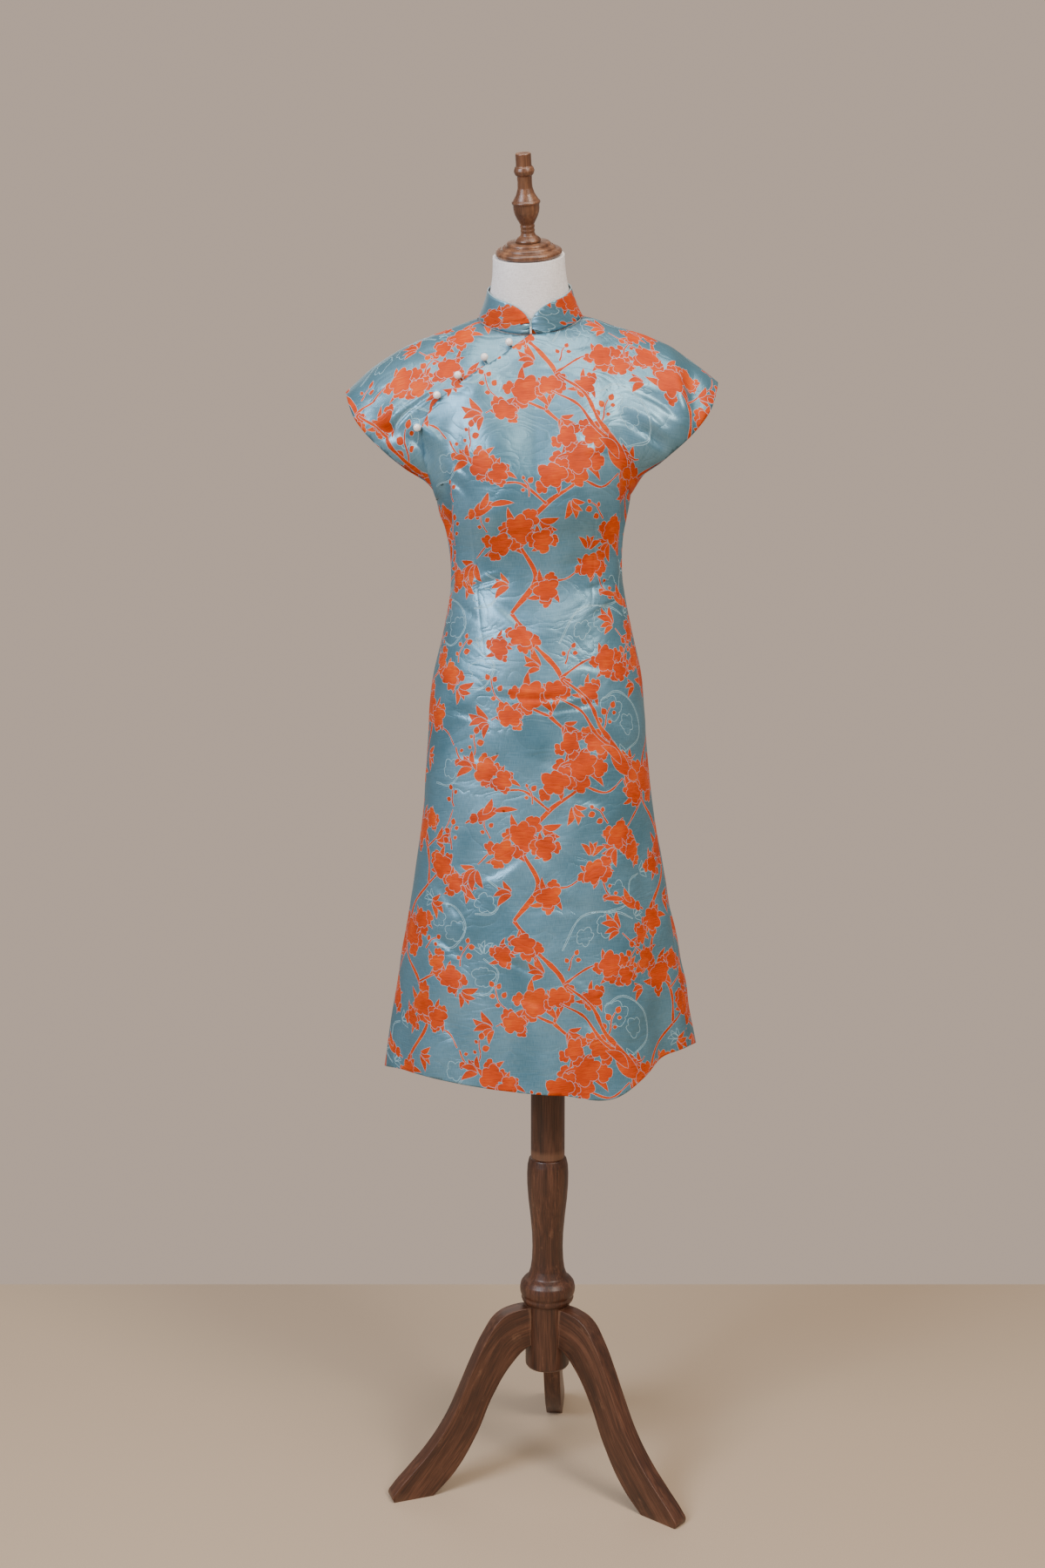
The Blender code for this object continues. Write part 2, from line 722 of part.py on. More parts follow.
def front_place(u, v):
    """The large panel's grid: its upper left edge is the slanted opening."""
    level = rise_of_rows(v)
    share = np.clip(level - 1.0, 0.0, 1.0)
    edge, edge_up = opening_at(share)
    above = level > 1.0
    edge = np.where(above, edge, -1.0)
    edge_up = np.where(above, edge_up, level)
    strip = np.where(above, (1.0 - edge) / FRONT_COLUMNS, SEAM_STRIP_ACROSS)
    corner = mix(edge, 1.0, NECK_SHARE)
    stations = (0, 1, FRONT_NECK_COLUMNS, FRONT_COLUMNS - 1, FRONT_COLUMNS)
    places = (edge, edge + strip, corner, 1.0 - SEAM_STRIP_ACROSS, 0 * edge + 1.0)
    across = column_place(u * FRONT_COLUMNS, stations, places)
    up = mix(edge_up, level, (across - edge) / (1.0 - edge))
    inside = np.linalg.norm(plain_point(1, across, up) - plain_point(1, edge, edge_up), axis=-1)
    near = 1 - ease_in((inside - OVERLAP) / LIFT_FADE)
    return across, up, LIFT * near * ease_in((level - 0.90) / 0.08)


def make_front(parts):
    def place(u, v):
        across, up, lift = front_place(u, v)
        across, up = inside_edges(across, up, 1)
        return lean(dress_point(1, across, up, lift))

    mesh = grid_mesh("dress_front", FRONT_COLUMNS, SKIRT_ROWS + BODICE_ROWS, place, False)
    cloth_wall(add_object("dress_front", mesh, "silk_brocade", parts), CLOTH)


def yoke_place(u, v):
    """The yoke's grid: it runs on under the large panel beyond the opening."""
    share = YOKE_START + (1 - YOKE_START) * top_rows(v * BODICE_ROWS, BODICE_ROWS)
    edge, edge_up = opening_at(share)
    before, before_up = opening_at(np.maximum(share - 0.01, 0.0))
    after, after_up = opening_at(np.minimum(share + 0.01, 1.0))
    run = plain_point(1, after, after_up) - plain_point(1, before, before_up)
    square = np.cross(run, outward(1, edge, edge_up))
    square = square / np.linalg.norm(square, axis=-1, keepdims=True)
    overlap = OVERLAP * mix(OVERLAP_LOW, 1.0, ease_in(share / OVERLAP_FULL))[..., None]
    under, under_up = shifted(1, edge, edge_up, square * overlap)
    under_up = np.minimum(under_up, 2.0)
    seen = YOKE_COLUMNS - YOKE_COLUMNS_UNDER
    strip = np.minimum(SEAM_STRIP_ACROSS, (edge + 1.0) / seen)
    corner = mix(-1.0, edge, 1 - NECK_SHARE)
    stations = (0, 1, seen - YOKE_NECK_COLUMNS, seen)
    column = np.minimum(u * YOKE_COLUMNS, seen)
    across = column_place(column, stations, (0 * edge - 1.0, strip - 1.0, corner, edge))
    up = mix(1 + share, edge_up, (across + 1.0) / np.maximum(edge + 1.0, 0.001))
    below = np.clip((u * YOKE_COLUMNS - seen) / YOKE_COLUMNS_UNDER, 0.0, 1.0)
    near = ease_in(1 - (edge - across) / YOKE_SINK_FROM)
    sunk = -YOKE_SINK * (near + ease_in(below)) / 2
    return mix(across, under, below), mix(up, under_up, below), sunk


def make_yoke(parts):
    def place(u, v):
        across, up, sunk = yoke_place(u, v)
        across, up = inside_edges(across, up, 1)
        return lean(dress_point(1, across, up, sunk))

    mesh = grid_mesh("dress_yoke", YOKE_COLUMNS, BODICE_ROWS, place, False)
    cloth_wall(add_object("dress_yoke", mesh, "silk_brocade", parts), CLOTH)


def back_across(u):
    """Columns of the back: closer at the neckline, wider on the shoulders, narrow at the sides."""
    shoulder = BACK_SHOULDER_COLUMNS
    last = 2 * (shoulder + BACK_NECK_COLUMNS)
    stations = (0, 1, shoulder, last - shoulder, last - 1, last)
    side = 1.0 - SEAM_STRIP_ACROSS
    return np.interp(u * last, stations, (-1.0, -side, -NECK_SHARE, NECK_SHARE, side, 1.0))


def make_back(parts):
    def place(u, v):
        across, up = inside_edges(back_across(u), rise_of_rows(v), -1)
        return lean(dress_point(-1, across, up, 0 * up))

    columns = 2 * (BACK_NECK_COLUMNS + BACK_SHOULDER_COLUMNS)
    mesh = grid_mesh("dress_back", columns, SKIRT_ROWS + BODICE_ROWS, place, True)
    cloth_wall(add_object("dress_back", mesh, "silk_brocade", parts), CLOTH)


def neck_top(angle, radius):
    """A circle on the slanted top of the neck."""
    turn = np.radians(angle)
    forward = -radius * np.cos(turn)
    side = radius * np.sin(turn)
    depth = NECK_TOP_DEPTH + forward * math.cos(NECK_TILT)
    height = NECK_TOP_HEIGHT + forward * math.sin(NECK_TILT) + side * math.sin(NECK_ROLL)
    return np.stack([side * math.cos(NECK_ROLL), depth, height], axis=-1)


def neck_point(angle, rise):
    """The neck's surface from the neckline (rise 0) to its top (rise 1), with the collar on it."""
    base = neck_edge(angle)
    top = neck_top(angle, NECK_TOP_RADIUS)
    turn = np.radians(angle)
    end = np.where(np.cos(turn) > 0, NECK_HOLLOW_FRONT, NECK_HOLLOW_BACK)
    hollow = mix(end, NECK_HOLLOW_SIDE, np.sin(turn) ** 2)
    level = top + (base - top) * ((1 - rise) ** hollow)[..., None]
    level[..., 2] = mix(base[..., 2], top[..., 2], rise)
    return level


def neck_inwards(angle):
    """Unit vectors from the neck's surface towards its axis, in plan."""
    turn = np.radians(angle)
    return np.stack([-np.sin(turn), np.cos(turn), 0 * turn], axis=-1)


def collar_rise(angle):
    """How far up the neck the collar reaches, with its round front corners."""
    to_end = (180.0 - np.abs((angle % 360.0) - 180.0)) * math.radians(1.0) * 0.055
    share = np.clip(to_end / COLLAR_CORNER, 0.0, 1.0)
    power = COLLAR_CORNER_POWER
    corner = (1 - (1 - share) ** power) ** (1 / power)
    lowest = COLLAR_END_HEIGHT / 0.085
    return mix(lowest, COLLAR_SHARE, corner)


def make_collar(parts):
    end_angle = math.degrees(COLLAR_END_GAP / 2 / 0.06)

    def place(u, v):
        spread = u - 0.5
        spread = spread * (2.8 - 1.6 * np.abs(spread))
        angle = 180.0 - spread * (180.0 - end_angle)
        angle = np.where(angle < end_angle, end_angle, angle)
        base = neck_point(angle, 0 * v)
        toward = neck_point(angle, 0 * v + 0.3) - base
        seat = COLLAR_SEAT / np.linalg.norm(toward, axis=-1) * 0.3
        return lean(neck_point(angle, mix(seat, collar_rise(angle), v)))

    mesh = grid_mesh("collar", COLLAR_COLUMNS, COLLAR_ROWS, place, True)
    cloth_wall(add_object("collar", mesh, "silk_brocade", parts), COLLAR_WALL)


def form_ring():
    """Columns round the torso: (face, place across) on the front and back, (0, share) at an arm."""
    half = FORM_FRONT_COLUMNS
    front = [(1, mix(-FORM_ARM, FORM_ARM, k / half)) for k in range(half + 1)]
    back = [(-1, -place) for _, place in front]
    arm = [(k + 1) / (FORM_ARM_COLUMNS + 1) for k in range(FORM_ARM_COLUMNS)]
    right = [(2, share) for share in arm]
    left = [(-2, share) for share in arm]
    return front + right + back + left


def form_surface(face, across, up):
    """A point of the torso's front or back, inside the cloth."""
    face_across = np.array([across])
    level = np.array([up])
    point = plain_point(face, face_across, level)[0]
    if up > 1.999 and abs(across) > NECK_SHARE - 0.001:
        return point - np.array([0.0, 0.0, CLOTH + FORM_SEAT_GAP])
    near_seam = float(ease_in((up - 1.55) / 0.40)) * float(ease_in((abs(across) - 0.25) / 0.2))
    inset = CLOTH + mix(FORM_EASE_CHEST, FORM_SEAT_GAP, near_seam)
    return point - outward(face, face_across, level)[0] * inset


def form_level(up):
    """One ring of the torso at a level of the bodice."""
    points = []
    for kind, place in form_ring():
        if abs(kind) == 1:
            points.append(form_surface(kind, place, up))
            continue
        side = math.copysign(1.0, kind)
        first = form_surface(1 if side > 0 else -1, side * FORM_ARM, up)
        last = form_surface(-1 if side > 0 else 1, side * FORM_ARM, up)
        swell = side * FORM_ARM_SWELL * math.sin(math.pi * place)
        swell = swell * max(0.0, 2.0 - up)
        points.append(mix(first, last, place) + np.array([swell, 0.0, 0.0]))
    return np.array(points)


def form_section(height, angles):
    """One ring of the torso below the underarm."""
    level = np.full_like(angles, height)
    ease = between(SECTIONS, "height", "ease", level) + CLOTH
    fluted = oval(angles, level, ease)
    smooth = oval(angles, level, ease + flute_out(angles, level))
    return np.where((level < UNDERARM)[..., None], smooth, fluted)


def bridge(work, lower, upper):
    """Faces between two rings of corners."""
    count = len(lower)
    for k in range(count):
        corners = [lower[k], lower[(k + 1) % count], upper[(k + 1) % count], upper[k]]
        work.faces.new(corners)


def add_neck(work, ring, angles):
    """The torso's neck, from its neckline to its slanted flat top."""
    inward = COLLAR_WALL + FORM_NECK_EASE
    lower = ring
    for row in range(FORM_ROWS_NECK + 1):
        rise = np.full_like(angles, row / FORM_ROWS_NECK)
        points = neck_point(angles, rise) + neck_inwards(angles) * inward
        if row == FORM_ROWS_NECK:
            points = neck_top(angles, NECK_TOP_RADIUS - inward)
        upper = [work.verts.new(spot) for spot in lean(points)]
        bridge(work, lower, upper)
        lower = upper
    work.faces.new(lower)


def torso_angles():
    """The angle round the body of each column of the torso."""
    angles = []
    reach = FORM_ARM * 90.0
    for kind, place in form_ring():
        if kind == 1:
            angles.append(place * 90.0)
        elif kind == 2:
            angles.append(mix(reach, 180.0 - reach, place))
        elif kind == -1:
            angles.append(180.0 - place * 90.0)
        else:
            angles.append(mix(180.0 + reach, 360.0 - reach, place))
    return np.array(angles)


def make_torso(parts):
    angles = torso_angles()
    rings = []
    for k in range(FORM_ROWS_BELOW):
        height = mix(FORM_BOTTOM, UNDERARM, k / FORM_ROWS_BELOW)
        rings.append(form_section(height, angles))
    for k in range(FORM_ROWS_ABOVE + 1):
        share = k / FORM_ROWS_ABOVE
        rings.append(form_level(1.0 + mix(share, math.sin(math.pi / 2 * share), 0.6)))
    work = bmesh.new()
    corners = [[work.verts.new(spot) for spot in lean(points)] for points in rings]
    for lower, upper in zip(corners, corners[1:]):
        bridge(work, lower, upper)
    work.faces.new(list(reversed(corners[0])))
    ring = form_ring()
    tiny = 0.001
    front = [k for k, (kind, at) in enumerate(ring) if kind == 1 and abs(at) < NECK_SHARE + tiny]
    back = [k for k, (kind, at) in enumerate(ring) if kind == -1 and abs(at) < NECK_SHARE - tiny]
    neck = front + back
    turns = [ring[k][1] / NECK_SHARE * 90.0 for k in neck]
    turns = [turn if ring[k][0] > 0 else 180.0 - turn for k, turn in zip(neck, turns)]
    add_neck(work, [corners[-1][k] for k in neck], np.array(turns))
    bmesh.ops.remove_doubles(work, verts=work.verts, dist=0.00005)
    mesh = bpy.data.meshes.new("form_torso")
    work.to_mesh(mesh)
    work.free()
    shade_round(mesh, 50)
    add_object("form_torso", mesh, "linen", parts)


def screw(made, steps):
    turn = made.modifiers.new("turning", "SCREW")
    turn.angle = math.radians(360.0)
    turn.steps = steps
    turn.render_steps = steps
    turn.use_merge_vertices = True
    turn.merge_threshold = 0.00001
    turn.use_smooth_shade = True
    return made


def turned(name, profile, steps, finish, parts, placing):
    """A turned solid from a profile of (radius, height), from the top down."""
    spots = [(0.0, profile[0][1])] + [tuple(corner) for corner in profile] + [(0.0, profile[-1][1])]
    mesh = bpy.data.meshes.new(name)
    lines = [(k, k + 1) for k in range(len(spots) - 1)]
    mesh.from_pydata([(radius, 0.0, height) for radius, height in spots], lines, [])
    made = screw(add_object(name, mesh, finish, parts), steps)
    made.matrix_world = placing
    return made


def neck_matrix():
    """From heights above the middle of the neck's top to the object's frame."""
    middle = Matrix.Translation((0.0, NECK_TOP_DEPTH, NECK_TOP_HEIGHT))
    roll = Matrix.Rotation(-NECK_ROLL, 4, "Y")
    return lean_matrix() @ middle @ roll @ Matrix.Rotation(NECK_TILT, 4, "X")


def make_turned(parts):
    upright = Matrix.Translation((STAND_X, STAND_Y, 0.0))
    turned("column", COLUMN, COLUMN_STEPS, "walnut", parts, upright)
    foot = COLUMN[0].height + POLE_GAP
    drop = (POLE_RADIUS + abs(LEAN_ACROSS)) * math.sin(FORM_LEAN) + POLE_GAP
    base = LEAN_HEIGHT + (FORM_BOTTOM - LEAN_HEIGHT) * math.cos(FORM_LEAN)
    top = base - drop
    pole = ((POLE_RADIUS, top), (POLE_RADIUS, foot))
    turned("pole", pole, POLE_STEPS, "walnut", parts, upright)
    above = neck_matrix() @ Matrix.Translation((0.0, 0.0, POLE_GAP))
    turned("neck_cap", CAP, CAP_STEPS, "cap_wood", parts, above)
    seat = FINIAL[-1].height
    roll = Matrix.Rotation(-FINIAL_ROLL, 4, "Y")
    on_cap = Matrix.Translation((0.0, 0.0, seat + POLE_GAP)) @ roll @ Matrix.Translation((0.0, 0.0, -seat))
    turned("finial", FINIAL, FINIAL_STEPS, "cap_wood", parts, above @ on_cap)


def leg_outline(name, parts):
    """The leg's side view as a filled flat outline with a thickness."""
    curve = bpy.data.curves.new(name, "CURVE")
    curve.dimensions = "2D"
    curve.fill_mode = "BOTH"
    curve.extrude = LEG_THICKNESS / 2
    curve.resolution_u = LEG_CURVE_STEPS
    outline = list(LEG_TOP_EDGE) + list(LEG_BOTTOM_EDGE)
    spline = curve.splines.new("BEZIER")
    spline.bezier_points.add(len(outline) - 1)
    spline.use_cyclic_u = True
    corners = (LEG_TOP_EDGE[0], LEG_TOP_EDGE[-1], LEG_BOTTOM_EDGE[0], LEG_BOTTOM_EDGE[-1])
    for spot, point in zip(outline, spline.bezier_points):
        point.co = (spot.reach, spot.height, 0.0)
        kind = "VECTOR" if spot in corners else "AUTO"
        point.handle_left_type = kind
        point.handle_right_type = kind
    return add_object(name, curve, "walnut", parts)


def make_leg(name, azimuth, post, parts):
    leg = leg_outline(name, parts)
    about = Matrix.Translation((STAND_X, STAND_Y, 0.0)) @ Matrix.Rotation(math.radians(azimuth), 4, "Z")
    leg.matrix_world = about @ Matrix.Rotation(math.radians(90.0), 4, "X")
    bpy.ops.object.select_all(action="DESELECT")
    leg.select_set(True)
    bpy.context.view_layer.objects.active = leg
    bpy.ops.object.convert(target="MESH")
    weld = leg.modifiers.new("weld", "WELD")
    weld.merge_threshold = 0.00002
    edge = leg.modifiers.new("edges", "BEVEL")
    edge.width = LEG_BEVEL
    edge.segments = 1
    edge.limit_method = "ANGLE"
    edge.angle_limit = math.radians(60.0)
    cut = leg.modifiers.new("post", "BOOLEAN")
    cut.operation = "DIFFERENCE"
    cut.solver = "EXACT"
    cut.object = post


def make_legs(parts, cutters):
    radius = COLUMN[-2].radius + LEG_GAP
    bpy.ops.mesh.primitive_cylinder_add(
        vertices=64, radius=radius, depth=0.3, location=(STAND_X, STAND_Y, 0.2)
    )
    post = bpy.context.object
    post.name = "post_cutter"
    post.display_type = "WIRE"
    post.hide_render = True
    for holder in list(post.users_collection):
        holder.objects.unlink(post)
    cutters.objects.link(post)
    for name, azimuth in LEGS:
        make_leg(name, azimuth, post, parts)


def surface_tree(made):
    """The outside of a finished object, to set small pieces down on."""
    bpy.context.view_layer.update()
    graph = bpy.context.evaluated_depsgraph_get()
    work = bmesh.new()
    work.from_mesh(made.evaluated_get(graph).to_mesh())
    tree = BVHTree.FromBMesh(work)
    work.free()
    return tree


def pearl_frame(place, yoke):
    """Axes at a pearl's foot: up the front, square to the opening, and out of the cloth."""
    across, up = surface_at(np.array([place.across]), np.array([place.height]))
    foot = dress_point(1, across, up, 0.0)[0]
    out = outward(1, across, up)[0]
    above, outer = lean(np.array([foot + 0.01 * out, foot + out]))
    toward = Vector(lean(foot) - outer)
    hit = yoke.ray_cast(Vector(above), toward)[0]
    foot = foot + out * (0.01 - (hit - Vector(above)).length)
    step = 0.008
    before = between(OPENING, "height", "across", place.height - step)
    after = between(OPENING, "height", "across", place.height + step)
    along = np.array([after - before, 0.0, 2 * step])
    along = along - out * (along @ out)
    along = along / np.linalg.norm(along)
    away = np.cross(along, out)
    if away[0] > 0:
        away = -away
    spots = lean(np.array([foot, foot + along, foot + away, foot + out]))
    return spots[0], spots[1] - spots[0], spots[2] - spots[0], spots[3] - spots[0]


def edge_distance(place):
    """How far a pearl's foot is from the opening's edge."""
    heights = np.linspace(place.height - 0.03, place.height + 0.02, 60)
    edge = between(OPENING, "height", "across", heights)
    return np.min(np.hypot(edge - place.across, heights - place.height))


def make_pearls(parts):
    yoke = surface_tree(bpy.data.objects["dress_yoke"])
    shank = PEARL_SEAT + SHANK_LENGTH
    turns = [math.pi * k / PEARL_RINGS for k in range(1, PEARL_RINGS)]
    sphere = [(PEARL_RADIUS * math.sin(t), PEARL_RADIUS * (1 + math.cos(t)) + shank) for t in turns]
    low = sphere[-1][1]
    sphere[-1] = (max(sphere[-1][0], SHANK_RADIUS), low)
    profile = sphere + [(SHANK_RADIUS, low - 0.0001), (SHANK_RADIUS, PEARL_SEAT)]
    for number, place in enumerate(PEARLS, start=1):
        foot, along, away, out = pearl_frame(place, yoke)
        axes = Matrix((along, away, out)).transposed().to_4x4()
        if axes.determinant() < 0:
            axes = Matrix((along, -away, out)).transposed().to_4x4()
        placing = Matrix.Translation(Vector(foot)) @ axes
        turned(f"pearl_{number}", profile, PEARL_STEPS, "pearl", parts, placing)
        make_loop(f"loop_{number}", (foot, along, away, out), edge_distance(place), parts)


def make_loop(name, axes, reach, parts):
    """A cord that leaves the opening's edge, passes round the pearl's shank and returns."""
    foot, along, away, out = axes
    side = LOOP_WIDTH
    start = -(reach - LOOP_START - LOOP_WIRE)
    turns = [math.pi * k / LOOP_TURNS for k in range(LOOP_TURNS + 1)]
    course = [(side, start)]
    course += [(side * math.cos(turn), side * math.sin(turn)) for turn in turns]
    course += [(-side, start)]
    curve = bpy.data.curves.new(name, "CURVE")
    curve.dimensions = "3D"
    curve.bevel_depth = LOOP_WIRE
    curve.bevel_resolution = 1
    curve.use_fill_caps = True
    spline = curve.splines.new("POLY")
    spline.points.add(len(course) - 1)
    for (across, up), point in zip(course, spline.points):
        spot = foot + along * across + away * up + out * (LOOP_SEAT + LOOP_WIRE)
        point.co = (*spot, 1.0)
    add_object(name, curve, "silk_cord", parts)


def make_hook(parts):
    """A flat bar across the gap between the collar's ends."""
    turn = np.array([0.0])
    low = neck_point(turn, np.array([COLLAR_SEAT / 0.085]))[0]
    high = neck_point(turn, np.array([(COLLAR_SEAT + HOOK_HEIGHT) / 0.085]))[0]
    out = np.array([0.0, -(SEAM + HOOK_THICKNESS / 2 + 0.0003), 0.0])
    middle = (low + high) / 2 + out
    rise = (high - low) / np.linalg.norm(high - low)
    slope = math.atan2(rise[1], rise[2])
    bpy.ops.mesh.primitive_cube_add(size=1.0)
    bar = bpy.context.object
    bar.name = "collar_hook"
    bar.data.name = "collar_hook"
    bar.data.transform(Matrix.Diagonal((HOOK_WIDTH, HOOK_THICKNESS, HOOK_HEIGHT, 1.0)))
    bar.matrix_world = lean_matrix() @ Matrix.Translation(middle) @ Matrix.Rotation(-slope, 4, "X")
    for holder in list(bar.users_collection):
        holder.objects.unlink(bar)
    parts.objects.link(bar)
    bar.data.materials.append(material("white_tape"))


def main():
    for old in list(bpy.data.objects):
        bpy.data.objects.remove(old, do_unlink=True)
    parts = bpy.data.collections.new(OBJECT)
    cutters = bpy.data.collections.new("cutters")
    bpy.context.scene.collection.children.link(parts)
    bpy.context.scene.collection.children.link(cutters)
    make_front(parts)
    make_yoke(parts)
    make_back(parts)
    make_collar(parts)
    make_hook(parts)
    make_pearls(parts)
    make_torso(parts)
    make_turned(parts)
    make_legs(parts, cutters)


main()
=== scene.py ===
"""A silk brocade cheongsam on its dress form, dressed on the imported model: run in Blender 4.5.

Metres, +Z up, the front of the dress towards -Y. Tables of lengths, the cut cloth and its woven
figures are written in millimetres. Each group of pieces is made by one operator of the panel.
"""

import functools
import math
from collections import namedtuple

import bmesh
import bpy
import numpy as np
from bpy.props import FloatProperty, FloatVectorProperty, IntProperty, PointerProperty
from mathutils import Matrix, Vector
from mathutils.bvhtree import BVHTree
from mathutils.geometry import delaunay_2d_cdt


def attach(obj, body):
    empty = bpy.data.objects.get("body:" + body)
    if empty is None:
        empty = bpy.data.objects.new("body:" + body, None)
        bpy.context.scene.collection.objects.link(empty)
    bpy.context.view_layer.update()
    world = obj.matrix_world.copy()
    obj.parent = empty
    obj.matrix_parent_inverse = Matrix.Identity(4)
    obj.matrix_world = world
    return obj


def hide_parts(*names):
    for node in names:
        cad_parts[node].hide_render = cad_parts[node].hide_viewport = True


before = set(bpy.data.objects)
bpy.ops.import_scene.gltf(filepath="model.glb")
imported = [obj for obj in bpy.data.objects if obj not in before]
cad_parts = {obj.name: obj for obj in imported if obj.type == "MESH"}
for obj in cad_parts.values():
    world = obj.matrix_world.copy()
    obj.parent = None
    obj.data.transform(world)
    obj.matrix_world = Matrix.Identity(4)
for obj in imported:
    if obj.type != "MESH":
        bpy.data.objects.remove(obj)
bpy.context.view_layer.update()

bl_info = {
    "name": "Cheongsam on a dress form",
    "version": (1, 0, 0),
    "blender": (4, 5, 0),
    "location": "View3D > Sidebar > Cheongsam",
    "description": "Builds the silk dress, its form and the turned stand piece by piece",
    "category": "Object",
}


def table(fields, *rows):
    """Rows of values that are read by the names of their fields."""
    kind = namedtuple("Row", fields)
    return tuple(kind(*row) for row in rows)


def lengths(fields, *rows, plain=()):
    """The same for rows in millimetres, kept in metres. The fields in plain aren't lengths."""
    share = [1 if name in plain else 1000 for name in fields.split()]
    return table(fields, *([value / by for value, by in zip(row, share)] for row in rows))


# Where the stand's upright axis meets the floor, and how the torso leans on it
STAND_X = 0.0228
STAND_Y = -0.0368
FORM_LEAN = math.radians(1.5)
LEAN_ACROSS = -0.003
LEAN_HEIGHT = 0.75

# Cloth: its thickness, the space left at a seam, and what is left off a panel's top edge in its
# own units, at a shoulder and at the neckline
CLOTH = 0.0012
SEAM = 0.0003
SHOULDER_OFF = 0.0024
NECKLINE_OFF = 0.0060

# Level of the armhole's lowest point, and the share of each panel's top edge that is neckline
UNDERARM = 1.362
NECK_SHARE = 0.42

# Metres of height in one unit up, and how the turn at the underarm is eased: its height, how far
# across it reaches, and the weights of the points that are taken together
SKIRT_RISE = 0.76
BODICE_RISE = 0.235
EASE_HEIGHT = 0.045
EASE_ACROSS = 0.60
EASE_ACROSS_SPAN = 0.30
EASE_MIDDLE = 3.0
EASE_TAPS = ((-1.0, 1.0), (-0.5, 2.0), (0.5, 2.0), (1.0, 1.0))

# How round the bodice is between them, and how far the neck's corners are felt below the shoulder
FRONT_ROUNDNESS = 0.35
BACK_ROUNDNESS = 0.75
ROUND_FROM = 0.48
MIDDLE_PACE = 0.2
TOP_SOFTNESS = 0.34
SOFT_TAPS = 4

# Sections of the dress from the hem to the chest. bluntness 2 is an ellipse and less is more
# pointed at the sides, ease is the room between cloth and torso, sway is how far the cloth hangs
# to one side of the torso's axis.
SECTIONS = lengths(
    "height half_width front back bluntness ease sway",
    (580, 219, 152, 148, 1.6, 60, -10), (680, 202, 141, 140, 1.75, 55, -9),
    (755, 188.5, 133, 134, 1.88, 45, -8), (850, 170.8, 123, 128, 2.02, 30, -7),
    (950, 155, 114, 122, 2.15, 12, -6), (1050, 146.2, 108, 117, 2.22, 6, -5),
    (1125, 140, 104, 106, 2.25, 5, -3), (1190, 125, 96, 92, 2.25, 4, -1),
    (1250, 114.6, 89, 82, 2.25, 4, 0), (1310, 117, 103, 90, 2.25, 4, 0),
    (1345, 124.5, 115, 97, 2.25, 4, 0), (1362, 127.5, 118, 99, 2.25, 4, 0),
    (1400, 130, 117, 101, 2.25, 4, 0),
    plain=("bluntness",),
)

# Fullness over the bust
BUST_ACROSS = 0.062
BUST_HEIGHT = 1.356
BUST_WIDTH = 0.048
BUST_ABOVE = 0.060
BUST_BELOW = 0.038
BUST_OUT = 0.011

# Hem height by angle round the skirt: 0 is the centre front, 90 the +X side
HEM = lengths(
    "angle height",
    (-180, 600), (-130, 598), (-90, 594.5), (-70, 601), (-50, 604), (-30, 598.5), (-10, 593), (10, 589),
    (31, 580), (41, 597.5), (50, 610.5), (70, 620), (90, 615.5), (130, 606), (180, 600),
    plain=("angle",),
)
HEM_LEVEL = 0.590

# Flutes of the skirt: angle and width in degrees, the height where they die out, and the swell
FLUTES = lengths(
    "angle width top out",
    (37, 11, 1060, 7), (56, 9, 1000, -10), (-46, 13, 980, 4.5), (-66, 9, 900, -5.5),
    (-8, 16, 840, -2.5), (118, 12, 940, -6), (146, 15, 1000, 6.5), (180, 15, 920, -5),
    (214, 15, 960, 6), (240, 11, 900, -5.5),
    plain=("angle", "width"),
)
FLUTE_LONGEST = 1.05
FLUTE_PACE = 1.4

# The side seams run a little forward (+) or backward (-) of the widest line below the hip
SEAM_TURN_RIGHT = 17.0
SEAM_TURN_LEFT = -5.0
SEAM_TURN_TOP = 1.12
SEAM_TURN_SPAN = 0.50

# Shoulder seam from the neck to the tip of the cap sleeve
SHOULDER = lengths(
    "across height",
    (69, 1596), (107, 1582.5), (150, 1568), (184, 1551), (215, 1530), (245, 1505),
)
SHOULDER_DEPTH = 0.004

# Neckline: half its width, its reach to the front and back and the rise or fall there
NECK_FRONT = 0.062
NECK_BACK = 0.050
NECK_FALL = 0.0315
NECK_FALL_POWER = 1.25
NECK_RISE = 0.021

# Edge of the cap sleeve from the underarm to the shoulder's tip, and its bow to front and back
CUFF = lengths(
    "share across height",
    (0, 127.5, 1362), (0.15, 143, 1385), (0.35, 174.5, 1407), (0.55, 205, 1433), (0.78, 231, 1466),
    (1, 245, 1505),
    plain=("share",),
)
CUFF_FRONT = 0.058
CUFF_BACK = 0.064
CUFF_REACH = 0.35
CUFF_PACE = 0.4
CUFF_POWER = 1.2

# The slanted opening, from the underarm up to the centre front of the neck
OPENING = lengths(
    "height across",
    (1362, -127.5), (1378, -131.5), (1405, -140), (1434, -143.5), (1460, -137.5), (1482, -120.5),
    (1500, -95.5), (1515, -74.5), (1536.5, -40), (1564.5, 0),
)
OPENING_STEPS = 80

# Steps of the search for a place on the bodice
FINE_STEPS = 22

# How far the yoke runs under the front panel, and how far its edge sinks to make room
OVERLAP = 0.016
OVERLAP_LOW = 0.3
OVERLAP_FULL = 0.25
YOKE_START = 0.080
YOKE_SINK = 0.0030
YOKE_SINK_SPAN = 0.025

# The front panel's edge is lifted off the yoke near the neck
LIFT = CLOTH + 0.0012
LIFT_SPAN = 0.022
LIFT_LEVEL = 0.90
LIFT_LEVEL_SPAN = 0.08

